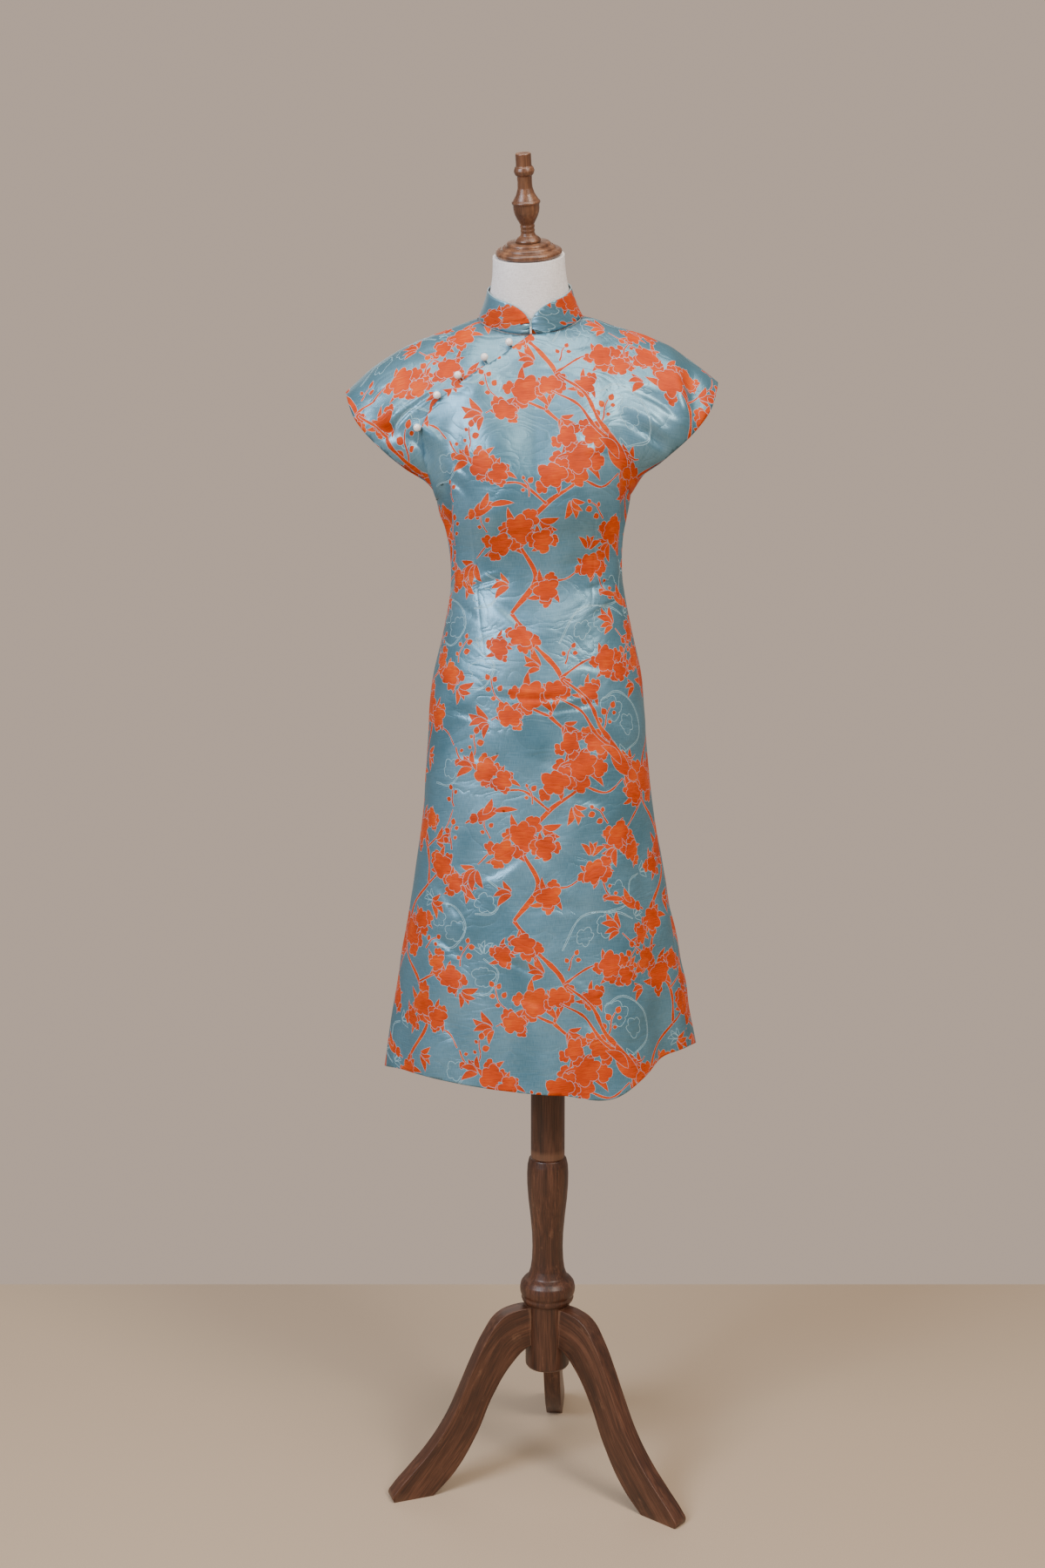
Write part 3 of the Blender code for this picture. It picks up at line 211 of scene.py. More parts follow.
# Neck of the form and the collar round it. Its height and circle turn lengths into shares.
NECK_TOP_DEPTH = -0.033
NECK_TOP_HEIGHT = 1.668
NECK_TOP_RADIUS = 0.0503
NECK_TILT = math.radians(23.0)
NECK_ROLL = math.radians(1.0)
FINIAL_ROLL = math.radians(1.3)
NECK_HOLLOW_SIDE = 2.5
NECK_HOLLOW_FRONT = 1.0
NECK_HOLLOW_BACK = 1.5
NECK_FRONT_HEIGHT = 0.085
COLLAR_RADIUS = 0.055
COLLAR_WALL = 0.0016
COLLAR_SHARE = 0.44
COLLAR_END_HEIGHT = 0.009
COLLAR_CORNER = 0.036
COLLAR_CORNER_POWER = 2.2
COLLAR_END_GAP = 0.0012
COLLAR_END_RADIUS = 0.06
COLLAR_OPEN = math.degrees(COLLAR_END_GAP / 2 / COLLAR_END_RADIUS)
COLLAR_SEAT = 0.0012
COLLAR_SEAT_TEST = 0.3
PIPING_RADIUS = 0.0009

# Torso: rows of points, places across each face and at the arms, and its room inside the cloth
FORM_BOTTOM = 0.86
FORM_ROWS_BELOW = 24
FORM_ROWS_ABOVE = 40
FORM_ROWS_NECK = 24
FORM_ARM = 0.70
FORM_COLUMNS = 80
FORM_ARM_COLUMNS = 14
FORM_ARM_SWELL = 0.012
FORM_SEAT_GAP = 0.0018
FORM_EASE_CHEST = 0.0045
FORM_NECK_EASE = 0.0022
FORM_DRAWN_IN = 0.009

# Pearl buttons down the opening, their loops, and the bar that joins the collar's ends
PEARLS = lengths(
    "across height",
    (-27.5, 1551.8), (-60.1, 1533.6), (-91.8, 1511.7), (-120.3, 1487.5), (-147, 1449),
)
PEARL_RADIUS = 0.0050
SHANK_RADIUS = 0.0011
SHANK_LENGTH = 0.0022
PEARL_SEAT = 0.0006
LOOP_WIRE = 0.0005
LOOP_SEAT = 0.0007
LOOP_WIDTH = 0.0019
LOOP_START = 0.0008
CORD_SIDES = 12
HOOK_WIDTH = 0.0024
HOOK_THICKNESS = 0.0008
HOOK_HEIGHT = 0.0085
HOOK_GAP = 0.0003
HOOK_BEVEL = 0.00028

# Turned pieces: radius and height of each corner, from the top down
POLE_RADIUS = 0.0235
POLE_GAP = 0.0003
TURNED_STEPS = 96
COLUMN = lengths(
    "radius height",
    (23.6, 459), (25.8, 457.5), (28, 448), (28.7, 436), (28.5, 421), (27, 400), (24.3, 377),
    (21.8, 350), (21.2, 330), (21.9, 312), (23.8, 298.5), (27.2, 288.5), (33, 284), (37.2, 278.5),
    (38.5, 271.5), (38, 265), (36, 261.5), (36, 260), (36.7, 257.5), (35, 253), (30.8, 251),
    (30.8, 161), (28.5, 158),
)
CAP = lengths(
    "radius height",
    (26.2, 17), (28, 16.5), (28.8, 14.5), (28.8, 13), (32.5, 12.6), (34.8, 11), (35.2, 8.8), (40, 8.4),
    (42.8, 6.4), (43.4, 4), (42.4, 1.4), (40, 0),
)
FINIAL = lengths(
    "radius height",
    (9.2, 125.5), (10.1, 124.7), (10.1, 110), (12, 108.8), (13.5, 104.3), (12, 100), (9.7, 98.2),
    (9.4, 90), (9.7, 84), (12, 76.5), (15, 71.5), (16.5, 69), (18.5, 67.2), (18.7, 65.5), (17.2, 63.5),
    (17, 57.5), (16.3, 53.5), (14, 47.8), (10.8, 42), (8.9, 38.7), (9.8, 36.5), (8.8, 33.5),
    (9.6, 31.2), (8.8, 29), (9.5, 27), (10, 25.2), (13.5, 22.8), (16, 20.5), (16.8, 18.8), (16.2, 17.3),
)

# Legs: side view of one, as its reach from the post's axis and its height, and the places of
# opposite corners of its two edges, from the post to the foot
LEG_TOP_EDGE = lengths(
    "reach height",
    (20, 248), (50, 247), (72, 239), (92, 214), (109, 182), (127, 143), (147, 103), (173, 67),
    (201, 38), (224, 15), (230, 6), (228, 0),
)
LEG_BOTTOM_EDGE = lengths(
    "reach height",
    (172, 0), (140, 30), (109, 78), (85, 130), (56, 173), (31, 193), (20, 194),
)
LEG_PAIRS = ((0, 6), (2, 4), (4, 3), (6, 2), (8, 1), (11, 0))
LEG_THICKNESS = 0.024
LEG_BEVEL = 0.0030
LEG_FINE_STEPS = 8
LEG_GAP = 0.0003
LEGS = (("leg_right", -40.0), ("leg_left", -160.0), ("leg_back", 85.5))

# Folds and creases of the cloth, as ridges (+) and troughs (-) along lines in the front view.
# bow bends the line, and steep makes one flank short.
CREASE = "across_1 height_1 across_2 height_2 width out bow steep"
FRONT_CREASES = lengths(
    CREASE,
    # cap sleeves
    (-214, 1446, -160, 1482, 12, 5.5, 0, 0), (-200, 1438, -176, 1452, 12, -6.5, 0, 0),
    (178, 1540, 196, 1440, 11, 5.5, 0, 0), (206, 1518, 212, 1462, 11, -8, 0, 0),
    (-196, 1432, -128, 1492, 5.8, -6.4, 6, 0.5), (-190, 1447, -118, 1500, 6.2, 4.2, 6, -0.5),
    (-166, 1442, -134, 1402, 7.4, -6, 5, 0.4), (-150, 1455, -112, 1420, 7, 4.2, 4, -0.4),
    (-228, 1492, -190, 1500, 5, -1.4, 3, 0.3), (128, 1488, 184, 1456, 6.6, -5, 6, 0.5),
    (120, 1468, 172, 1430, 7, 4.2, 5, -0.4), (134, 1440, 172, 1408, 6.6, -5.6, 4, 0.4),
    (184, 1500, 232, 1478, 5, -1.4, 3, 0.3),
    # fullness that turns under beside the arms
    (-117, 1384, -116, 1252, 7.5, -10, 0, 0), (-105, 1388, -106, 1252, 6, 3.6, 0, 0.5),
    (118, 1384, 116, 1258, 7, -8.5, 0, 0), (106.5, 1388, 105.5, 1258, 6, 3.2, 0, -0.5),
    # darts and drag lines of the chest
    (-83, 1345, -70, 1150, 1.6, -0.5, -2, 0), (76, 1345, 69, 1215, 1.6, -0.5, 2, 0),
    (-100, 1402, -86, 1388, 5, -1.6, 0, 0.4), (-108, 1384, -88, 1362, 5, -2, 1, 0.4),
    (-98, 1420, -50, 1405, 9, 1.2, 4, 0), (98, 1410, 60, 1398, 8, -1.2, -3, 0.3),
    (10, 1520, 60, 1508, 5, 0.9, 3, 0.4), (-70, 1500, -20, 1474, 8, -1, 4, 0),
    (30, 1545, 110, 1560, 5, -0.9, -3, 0.3), (-150, 1548, -75, 1545, 6, -1, 4, 0.3),
    (-170, 1530, -100, 1528, 6, 1, 4, 0.3),
    # waist
    (-96, 1240, -40, 1256, 4.5, -2.7, 3, 0.5), (-90, 1247, -46, 1262, 6, 1.9, 3, -0.4),
    (-56, 1226, 0, 1172, 6, -2.2, 4, 0.5), (-64, 1218, -4, 1162, 8, 1.6, 4, -0.4),
    (100, 1252, 62, 1240, 5, -2, 2, 0.4), (104, 1226, 70, 1206, 6, -1.9, 2, 0.4),
    (-108, 1222, -80, 1204, 5, -1.8, 2, 0.4), (30, 1268, 80, 1276, 6, -1.2, 2, 0.3),
    # across the hips and thighs
    (-60, 1106, 36, 1102, 5, -2.2, -3, 0.5), (-52, 1114, 30, 1111, 6, 1.6, -3, -0.4),
    (-12, 1086, 70, 1094, 5.5, -2.4, -4, 0.5), (-10, 1094, 66, 1103, 6, 1.9, -4, -0.4),
    (52, 1142, 112, 1128, 6, -1.6, 3, 0.4), (-122, 1086, -72, 1072, 6, -1.6, 3, 0.4),
    (60, 1050, 118, 1020, 9, -2.2, 5, 0.3), (-110, 1030, -50, 1016, 8, -1.6, 3, 0.3),
    (-20, 1030, 40, 1012, 8, -1.6, -3, 0.3), (20, 975, 82, 960, 8, -1.5, 3, 0.3),
    # skirt
    (-78, 872, -26, 902, 7.5, -1.4, -4, 0.5), (-84, 860, -32, 892, 8.5, 0.9, -4, -0.4),
    (-150, 862, -110, 812, 7, -1.5, 3, 0.5), (-30, 920, 20, 872, 9, -1.8, 4, 0.3),
    (-160, 792, -118, 770, 6, -2, 3, 0.4), (-66, 766, -12, 742, 6, -2.4, 4, 0.5),
    (-60, 775, -10, 752, 7, 1.8, 4, -0.4), (-52, 716, 4, 700, 6, -1.9, 3, 0.4),
    (24, 748, 64, 716, 7, -2.2, 4, 0.4), (40, 690, 74, 652, 7, -2.3, 3, 0.4),
    (100, 770, 122, 700, 8, -2.2, 4, 0.4), (-140, 690, -122, 640, 8, -1.9, 3, 0.3),
    (6, 672, 20, 620, 8, -1.6, 2, 0.3), (96, 930, 132, 850, 9, -1.9, 5, 0.3),
    (-12, 830, 60, 822, 8, -1.6, 5, 0.3),
    plain=("steep",),
)
BACK_CREASES = lengths(
    CREASE,
    # cap sleeves
    (-180, 1530, -196, 1440, 13, 3.5, 0, 0), (180, 1530, 196, 1440, 13, 3.5, 0, 0),
    (-208, 1505, -212, 1455, 12, -4.5, 0, 0), (208, 1505, 212, 1455, 12, -4.5, 0, 0),
    # fullness that turns under beside the arms
    (-114, 1380, -113, 1270, 7, -4.5, 0, 0), (114, 1380, 113, 1270, 7, -4.5, 0, 0),
    # back
    (-96, 1246, -30, 1256, 6, -2.2, 3, 0.4), (96, 1238, 36, 1230, 6, -2.2, 3, 0.4),
    (-60, 1226, 50, 1220, 7, -2, -5, 0.3), (88, 1350, 50, 1300, 8, -1.8, 4, 0.3),
    (-92, 1352, -50, 1310, 8, -1.8, 4, 0.3), (-80, 1500, 60, 1506, 9, -1.3, 6, 0.3),
    (-100, 1070, -20, 1062, 7, -1.9, -4, 0.4), (20, 1052, 108, 1066, 7, -1.9, -4, 0.4),
    (-110, 960, -40, 930, 9, -1.8, 4, 0.3), (30, 900, 100, 860, 9, -1.9, 4, 0.4),
    (-60, 800, 10, 776, 8, -1.9, 4, 0.4), (70, 730, 110, 680, 8, -1.8, 4, 0.4),
    (-130, 700, -90, 650, 8, -1.8, 3, 0.4),
    plain=("steep",),
)
CREASES = {1: FRONT_CREASES, -1: BACK_CREASES}

# A crease's depth at its ends and how fast it grows from there, how far it runs on past them in
# widths, and how fast its steep flank changes over. Up to NARROW_CREASE wide it has own points.
CREASE_END = 0.30
CREASE_PACE = 0.8
CREASE_BEYOND = 1.6
CREASE_TURN = 2.0
NARROW_CREASE = 0.0062

# Folds are held flat near the neckline and shoulder seams, and near the side seams and cuffs
TOP_HOLD = 0.85
TOP_HOLD_FROM = 1.90
TOP_HOLD_SPAN = 0.10
SIDE_HOLD_FROM = 0.90
SIDE_HOLD_SPAN = 0.09

# Shallow waves that no cloth is without: wave lengths across and up, height and start of each,
# and how much and how often up the dress they bend
WAVES = lengths(
    "across up out start",
    (210, 130, 0.55, 0.4), (-160, 93, 0.45, 1.9), (97, -71, 0.3, 3.1), (66, 152, 0.28, 0.9),
    (-43, 60, 0.14, 2.2),
    plain=("start",),
)
WAVE_BEND = 0.5
WAVE_BEND_PACE = 23.0

# Repeat of the woven figures, in millimetres, the pale line round them, and what is hidden of one
# under another
REPEAT_ACROSS = 372.0
REPEAT_UP = 398.0
FIGURE_EDGE = 0.4
HIDDEN_EDGE = 0.9
LEAF_SHARE = 1.35
STEM_SHARE = 0.74
FLOWER_SWELL = 1.12
DRAWN_LINE = 0.7

# Spacing of the ground's points on the cut cloth, what they keep off its border, and the even
# grid on which each panel is laid flat
CUT_STEP = 4.5
ROW_SHARE = 0.87
BORDER_OFF = 1.2
CUT_COLUMNS = 241
CUT_ROWS = 361

# Small steps along the surface, in its own units, by which slopes are measured
SLOPE_STEP = 0.004
SIZE_STEP = 0.01
TINY = 1e-9

# Studio
WORLD_COLOUR = "#FFF1E4"
WORLD_POWER = 0.30
WALL_COLOUR = "#C2AE9F"
FLOOR_BACK = 0.62
FLOOR_DEPTH = 5.0
FLOOR_WIDTH = 8.0
CAMERA_PLACE = (STAND_X - 0.035, STAND_Y - 2.34, 1.2507)
CAMERA_TILT = math.radians(90.0 - 6.63)
CAMERA_LENS = 40.0
CAMERA_HEIGHT = 36.0

# Soft lights of the studio
LAMPS = table(
    "name place aim width height power colour",
    ("window", (-1.9, -2, 2.5), (0, 0, 1.15), 1.2, 1.6, 86, "#EEF3FF"),
    ("key", (1.7, -2.2, 2.9), (0, 0, 1), 1, 1.2, 68, "#FFF3E6"),
    ("top", (0.1, -0.9, 3.3), (0, 0, 1), 1.8, 1.2, 36, "#FFF2E6"),
    ("fill", (-0.8, 2.6, 2.3), (0, 0, 1.1), 2.4, 1.8, 15, "#FFF4EA"),
)


def between(rows, key, field, value):
    """A table's column at any value of its key column, on a smooth curve through its rows."""
    knots = np.array([getattr(row, key) for row in rows])
    heights = np.array([getattr(row, field) for row in rows])
    slopes = np.gradient(heights, knots)
    value = np.clip(value, knots[0], knots[-1])
    low = np.clip(np.searchsorted(knots, value, side="right") - 1, 0, len(knots) - 2)
    span = knots[low + 1] - knots[low]
    share = (value - knots[low]) / span
    rise = heights[low + 1] - heights[low]
    blend = share * share * (3 - 2 * share)
    start_bow = share * (1 - share) ** 2 * slopes[low] * span
    end_bow = share * share * (share - 1) * slopes[low + 1] * span
    return heights[low] + rise * blend + start_bow + end_bow


def ease_in(value):
    """0 below 0, 1 above 1, and smooth between."""
    value = np.clip(value, 0.0, 1.0)
    return value * value * (3 - 2 * value)


def mix(first, second, share):
    """From the first to the second by a share."""
    return first + (second - first) * share


def length_of(vectors):
    """Lengths of rows of vectors, never quite 0, so that the rows can be divided by them."""
    return np.maximum(np.linalg.norm(vectors, axis=-1, keepdims=True), TINY)


def signed_power(value, power):
    """A power that keeps the sign."""
    return np.sign(value) * np.abs(value) ** power


def bust_out(across, height):
    """How far the front swells out over the bust."""
    spread = np.where(height > BUST_HEIGHT, BUST_ABOVE, BUST_BELOW)
    away = ((np.abs(across) - BUST_ACROSS) / BUST_WIDTH) ** 2
    return BUST_OUT * np.exp(-away - ((height - BUST_HEIGHT) / spread) ** 2)


def flute_out(angle, height):
    """How far the skirt's flutes swell out at an angle and height."""
    out = np.zeros_like(angle)
    for flute in FLUTES:
        away = (angle - flute.angle + 180.0) % 360.0 - 180.0
        fade = np.clip((flute.top - height) / (flute.top - HEM_LEVEL), 0.0, FLUTE_LONGEST)
        out = out + flute.out * fade**FLUTE_PACE * np.exp(-((away / flute.width) ** 2))
    return out


def oval(angle, height, ease):
    """Points of the body's section at an angle from the centre front and a height."""
    turn = np.radians(angle)
    swell = flute_out(angle, height) - ease
    half_width = between(SECTIONS, "height", "half_width", height) + swell
    front = between(SECTIONS, "height", "front", height) + swell
    back = between(SECTIONS, "height", "back", height) + swell
    power = 2.0 / between(SECTIONS, "height", "bluntness", height)
    across = half_width * signed_power(np.sin(turn), power)
    facing = signed_power(np.cos(turn), power)
    depth = -facing * np.where(facing > 0, front, back)
    depth = depth - np.where(facing > 0, bust_out(across, height), 0.0)
    across = across + between(SECTIONS, "height", "sway", height)
    return np.stack([across, depth, height], axis=-1)


def skirt_angle(face, across, height):
    """The angle round the body of a place across the front (face 1) or back (face -1)."""
    turn = np.where(across > 0, SEAM_TURN_RIGHT, SEAM_TURN_LEFT)
    turn = turn * ease_in((SEAM_TURN_TOP - height) / SEAM_TURN_SPAN)
    if face > 0:
        return across * (90.0 - turn)
    return 180.0 - across * (90.0 + turn)


def skirt_point(face, across, up):
    """Cloth from the hem (up 0) to the underarm (up 1)."""
    angle = skirt_angle(face, across, np.full_like(across, HEM_LEVEL))
    hem = between(HEM, "angle", "height", (angle + 180.0) % 360.0 - 180.0)
    height = mix(hem, UNDERARM, up)
    return oval(skirt_angle(face, across, height), height, 0.0)


def neck_edge(angle):
    """The neckline by angle round the neck: 0 is the centre front, 90 the +X side."""
    turn = np.radians(angle)
    facing = np.cos(turn)
    reach = np.where(facing > 0, NECK_FRONT, NECK_BACK)
    fall = -NECK_FALL * np.abs(facing) ** NECK_FALL_POWER
    rise = np.where(facing > 0, fall, NECK_RISE * np.abs(facing))
    across = SHOULDER[0].across * np.sin(turn)
    depth = SHOULDER_DEPTH - reach * facing
    return np.stack([across, depth, SHOULDER[0].height + rise], axis=-1)


def top_edge(face, across):
    """A panel's top edge: the neckline in the middle and a shoulder seam on each side."""
    share = np.abs(across)
    angle = np.clip(share / NECK_SHARE, 0.0, 1.0) * 90.0
    if face < 0:
        angle = 180.0 - angle
    neck = neck_edge(np.where(across < 0, -1.0, 1.0) * angle)
    along = np.clip((share - NECK_SHARE) / (1 - NECK_SHARE), 0.0, 1.0)
    out = mix(SHOULDER[0].across, SHOULDER[-1].across, along)
    height = between(SHOULDER, "across", "height", out)
    depth = SHOULDER_DEPTH * (1 - along)
    seam = np.stack([np.sign(across) * out, depth, height], axis=-1)
    return np.where((share > NECK_SHARE)[..., None], seam, neck)


def cuff_edge(face, side, up):
    """The sleeve's edge from the underarm (up 0) to the shoulder's tip (up 1)."""
    share = mix((1 - np.cos(up * math.pi)) / 2, np.sin(up * math.pi / 2), CUFF_PACE)
    turn = np.arccos(np.clip(1 - 2 * share, -1.0, 1.0))
    across = side * between(CUFF, "share", "across", share)
    height = between(CUFF, "share", "height", share)
    bow = -CUFF_FRONT if face > 0 else CUFF_BACK
    return np.stack([across, bow * np.sin(turn), height], axis=-1)


def soft_top_edge(face, across, up):
    """The top edge as lower rows feel it: its corners at the neck are rounded off more and more."""
    reach = TOP_SOFTNESS * (1.0 - np.clip(up, 0.0, 1.0) ** 2)
    reach = np.minimum(reach, np.clip(1.0 - np.abs(across), 0.0, 1.0))
    total = 0.0
    point = 0.0
    for tap in range(-SOFT_TAPS, SOFT_TAPS + 1):
        weight = math.cos(math.pi / 2 * tap / (SOFT_TAPS + 1)) ** 2
        point = point + weight * top_edge(face, across + reach * tap / SOFT_TAPS)
        total = total + weight
    return point / total


def bodice_point(face, across, up):
    """Cloth from the underarm (up 0) to the neckline and shoulder seams (up 1)."""
    share = np.abs(across)
    side = np.where(across < 0, -1.0, 1.0)
    level = np.full_like(across, UNDERARM)
    low = oval(skirt_angle(face, across, level), level, 0.0)
    high = soft_top_edge(face, across, up)
    middle = FRONT_ROUNDNESS if face > 0 else BACK_ROUNDNESS
    roundness = mix(middle, 1.0, ease_in(share / ROUND_FROM))
    rising = mix(up, np.sin(up * math.pi / 2), mix(MIDDLE_PACE, 1.0, roundness))
    closing = mix(rising, 1 - np.cos(up * math.pi / 2), roundness)
    course = np.stack([rising, closing, rising], axis=-1)
    point = low + (high - low) * course
    low_end = np.stack([side * CUFF[0].across, 0 * up, CUFF[0].height + 0 * up], axis=-1)
    high_end = np.stack([side * CUFF[-1].across, 0 * up, CUFF[-1].height + 0 * up], axis=-1)
    bow = cuff_edge(face, side, up) - mix(low_end, high_end, rising[..., None])
    weight = ease_in((share - CUFF_REACH) / (1 - CUFF_REACH)) ** CUFF_POWER
    return point + bow * weight[..., None]


def plain_point(face, across, up):
    """The dress's outer surface before its folds: up is 0 to 1 on the skirt, 1 to 2 on the bodice."""
    skirt = skirt_point(face, across, np.clip(up, 0.0, 1.0))
    bodice = bodice_point(face, across, np.clip(up - 1.0, 0.0, 1.0))
    return np.where((up < 1.0)[..., None], skirt, bodice)


def outward(face, across, up):
    """Unit vectors that point out of the dress's surface."""
    right = plain_point(face, np.minimum(across + SLOPE_STEP, 1.0), up)
    left = plain_point(face, np.maximum(across - SLOPE_STEP, -1.0), up)
    above = plain_point(face, across, np.minimum(up + SLOPE_STEP, 2.0))
    below = plain_point(face, across, np.maximum(up - SLOPE_STEP, 0.0))
    normal = face * np.cross(right - left, above - below)
    return normal / length_of(normal)


def crease_out(face, point):
    """How far the folds, creases and shallow waves stand out at points of the surface."""
    out = np.zeros(point.shape[:-1])
    place = point[..., [0, 2]]
    for crease in CREASES[face]:
        start = np.array([crease.across_1, crease.height_1])
        run = np.array([crease.across_2, crease.height_2]) - start
        length = math.hypot(*run)
        offset = place - start
        along = offset @ run / length
        share = np.clip(along / length, 0.0, 1.0)
        beyond = along - share * length
        aside = (run[0] * offset[..., 1] - run[1] * offset[..., 0]) / length
        aside = aside - crease.bow * 4 * share * (1 - share)
        flank = np.tanh(CREASE_TURN * aside / crease.width)
        width = crease.width * (1 + crease.steep * flank)
        body = CREASE_END + (1 - CREASE_END) * np.sin(math.pi * share) ** CREASE_PACE
        away = (aside / width) ** 2 + (beyond / (CREASE_BEYOND * crease.width)) ** 2
        out = out + crease.out * body * np.exp(-away)
    for wave in WAVES:
        phase = point[..., 0] / wave.across + point[..., 2] / wave.up
        bend = WAVE_BEND * np.sin(point[..., 2] * WAVE_BEND_PACE + face + wave.start)
        out = out + wave.out * np.sin(2 * math.pi * phase + wave.start + 2.0 * face + bend)
    return out


def eased_point(face, across, up):
    """The surface with its turn at the underarm level eased over a few centimetres."""
    point = plain_point(face, across, up)
    away = np.abs(point[..., 2] - UNDERARM) / (2 * EASE_HEIGHT)
    near = 1 - ease_in((np.abs(across) - EASE_ACROSS) / EASE_ACROSS_SPAN)
    near = (1 - ease_in(away)) * near
    level = (up - 1.0) * np.where(up < 1.0, SKIRT_RISE, BODICE_RISE)
    eased = EASE_MIDDLE * point
    for share, weight in EASE_TAPS:
        moved = level + share * EASE_HEIGHT * near
        moved_up = 1.0 + moved / np.where(moved < 0.0, SKIRT_RISE, BODICE_RISE)
        eased = eased + weight * plain_point(face, across, moved_up)
    total = EASE_MIDDLE + sum(weight for _, weight in EASE_TAPS)
    return np.where((near > 0.0)[..., None], eased / total, point)


def dress_point(face, across, up, lift=0.0):
    """The finished outer surface of the cloth, folds and all."""
    point = eased_point(face, across, up)
    hold = 1.0 - TOP_HOLD * ease_in((up - TOP_HOLD_FROM) / TOP_HOLD_SPAN)
    hold = hold * (1.0 - ease_in((np.abs(across) - SIDE_HOLD_FROM) / SIDE_HOLD_SPAN))
    out = crease_out(face, point) * hold + lift
    return point + outward(face, across, up) * out[..., None]


def place_at(face, across, height, lowest, up_steps, across_steps):
    """Places across and up where a face has given positions in the front view."""
    low_up, high_up = np.full_like(across, lowest), np.full_like(across, 2.0)
    for _ in range(up_steps):
        up = (low_up + high_up) / 2
        low, high = np.full_like(across, -1.0), np.full_like(across, 1.0)
        for _ in range(across_steps):
            place = (low + high) / 2
            left_of_it = plain_point(face, place, up)[..., 0] < across
            low, high = np.where(left_of_it, place, low), np.where(left_of_it, high, place)
        below = plain_point(face, place, up)[..., 2] < height
        low_up, high_up = np.where(below, up, low_up), np.where(below, high_up, up)
    return place, up


def bodice_place(across, height):
    """The places on the front's bodice of given positions in the front view, to a fine step."""
    return place_at(1, across, height, 1.0, FINE_STEPS, FINE_STEPS)


@functools.lru_cache
def opening_path():
    """The opening on the surface: shares of the way along it, places across and levels."""
    height = np.linspace(OPENING[0].height, OPENING[-1].height, OPENING_STEPS + 1)
    across = between(OPENING, "height", "across", height)
    place, up = bodice_place(across, height)
    place[0], up[0] = -1.0, 1.0
    place[-1], up[-1] = 0.0, 2.0
    steps = np.linalg.norm(np.diff(plain_point(1, place, up), axis=0), axis=-1)
    length = np.concatenate([[0.0], np.cumsum(steps)])
    return (length / length[-1] + up - 1.0) / 2, place, up


def opening_at(share):
    """The opening's place across and level at a share of the way along it."""
    shares, place, up = opening_path()
    return np.interp(share, shares, place), np.interp(share, shares, up)


def shifted(face, across, up, vector):
    """The place and level reached by a small move along the surface."""
    here = plain_point(face, across, up)
    right = (plain_point(face, across + SLOPE_STEP, up) - here) / SLOPE_STEP
    above = (here - plain_point(face, across, up - SLOPE_STEP)) / SLOPE_STEP
    rr = np.sum(right * right, axis=-1)
    ra = np.sum(right * above, axis=-1)
    aa = np.sum(above * above, axis=-1)
    vr = np.sum(vector * right, axis=-1)
    va = np.sum(vector * above, axis=-1)
    whole = rr * aa - ra * ra
    return across + (vr * aa - va * ra) / whole, up + (va * rr - vr * ra) / whole


def across_size(face, across, up):
    """Metres of cloth for one unit across."""
    left = plain_point(face, across - SIZE_STEP, up)
    right = plain_point(face, across + SIZE_STEP, up)
    return np.linalg.norm(right - left, axis=-1) / (2 * SIZE_STEP)


def lean_matrix():
    """From the dress's upright frame to the object's."""
    to_frame = Matrix.Translation((STAND_X + LEAN_ACROSS, STAND_Y, LEAN_HEIGHT))
    turn = Matrix.Rotation(-FORM_LEAN, 4, "Y")
    return to_frame @ turn @ Matrix.Translation((0, 0, -LEAN_HEIGHT))


def lean(points):
    """The same for an array of points."""
    across = points[..., 0]
    height = points[..., 2] - LEAN_HEIGHT
    x = STAND_X + LEAN_ACROSS + across * math.cos(FORM_LEAN) - height * math.sin(FORM_LEAN)
    z = LEAN_HEIGHT + across * math.sin(FORM_LEAN) + height * math.cos(FORM_LEAN)
    return np.stack([x, points[..., 1] + STAND_Y, z], axis=-1)


def neck_top(angle, radius):
    """A circle on the slanted top of the neck."""
    turn = np.radians(angle)
    forward = -radius * np.cos(turn)
    side = radius * np.sin(turn)
    depth = NECK_TOP_DEPTH + forward * math.cos(NECK_TILT)
    height = NECK_TOP_HEIGHT + forward * math.sin(NECK_TILT) + side * math.sin(NECK_ROLL)
    return np.stack([side * math.cos(NECK_ROLL), depth, height], axis=-1)


def neck_point(angle, rise):
    """The neck's surface from the neckline (rise 0) to its top (rise 1), with the collar on it."""
    base = neck_edge(angle)
    top = neck_top(angle, NECK_TOP_RADIUS)
    turn = np.radians(angle)
    end = np.where(np.cos(turn) > 0, NECK_HOLLOW_FRONT, NECK_HOLLOW_BACK)
    hollow = mix(end, NECK_HOLLOW_SIDE, np.sin(turn) ** 2)
    level = top + (base - top) * ((1 - rise) ** hollow)[..., None]
    level[..., 2] = mix(base[..., 2], top[..., 2], rise)
    return level


def neck_inwards(angle):
    """Unit vectors from the neck's surface towards its axis, in plan."""
    turn = np.radians(angle)
    return np.stack([-np.sin(turn), np.cos(turn), 0 * turn], axis=-1)


def neck_matrix():
    """From heights above the middle of the neck's top to the object's frame."""
    middle = Matrix.Translation((0.0, NECK_TOP_DEPTH, NECK_TOP_HEIGHT))
    roll = Matrix.Rotation(-NECK_ROLL, 4, "Y")
    return lean_matrix() @ middle @ roll @ Matrix.Rotation(NECK_TILT, 4, "X")


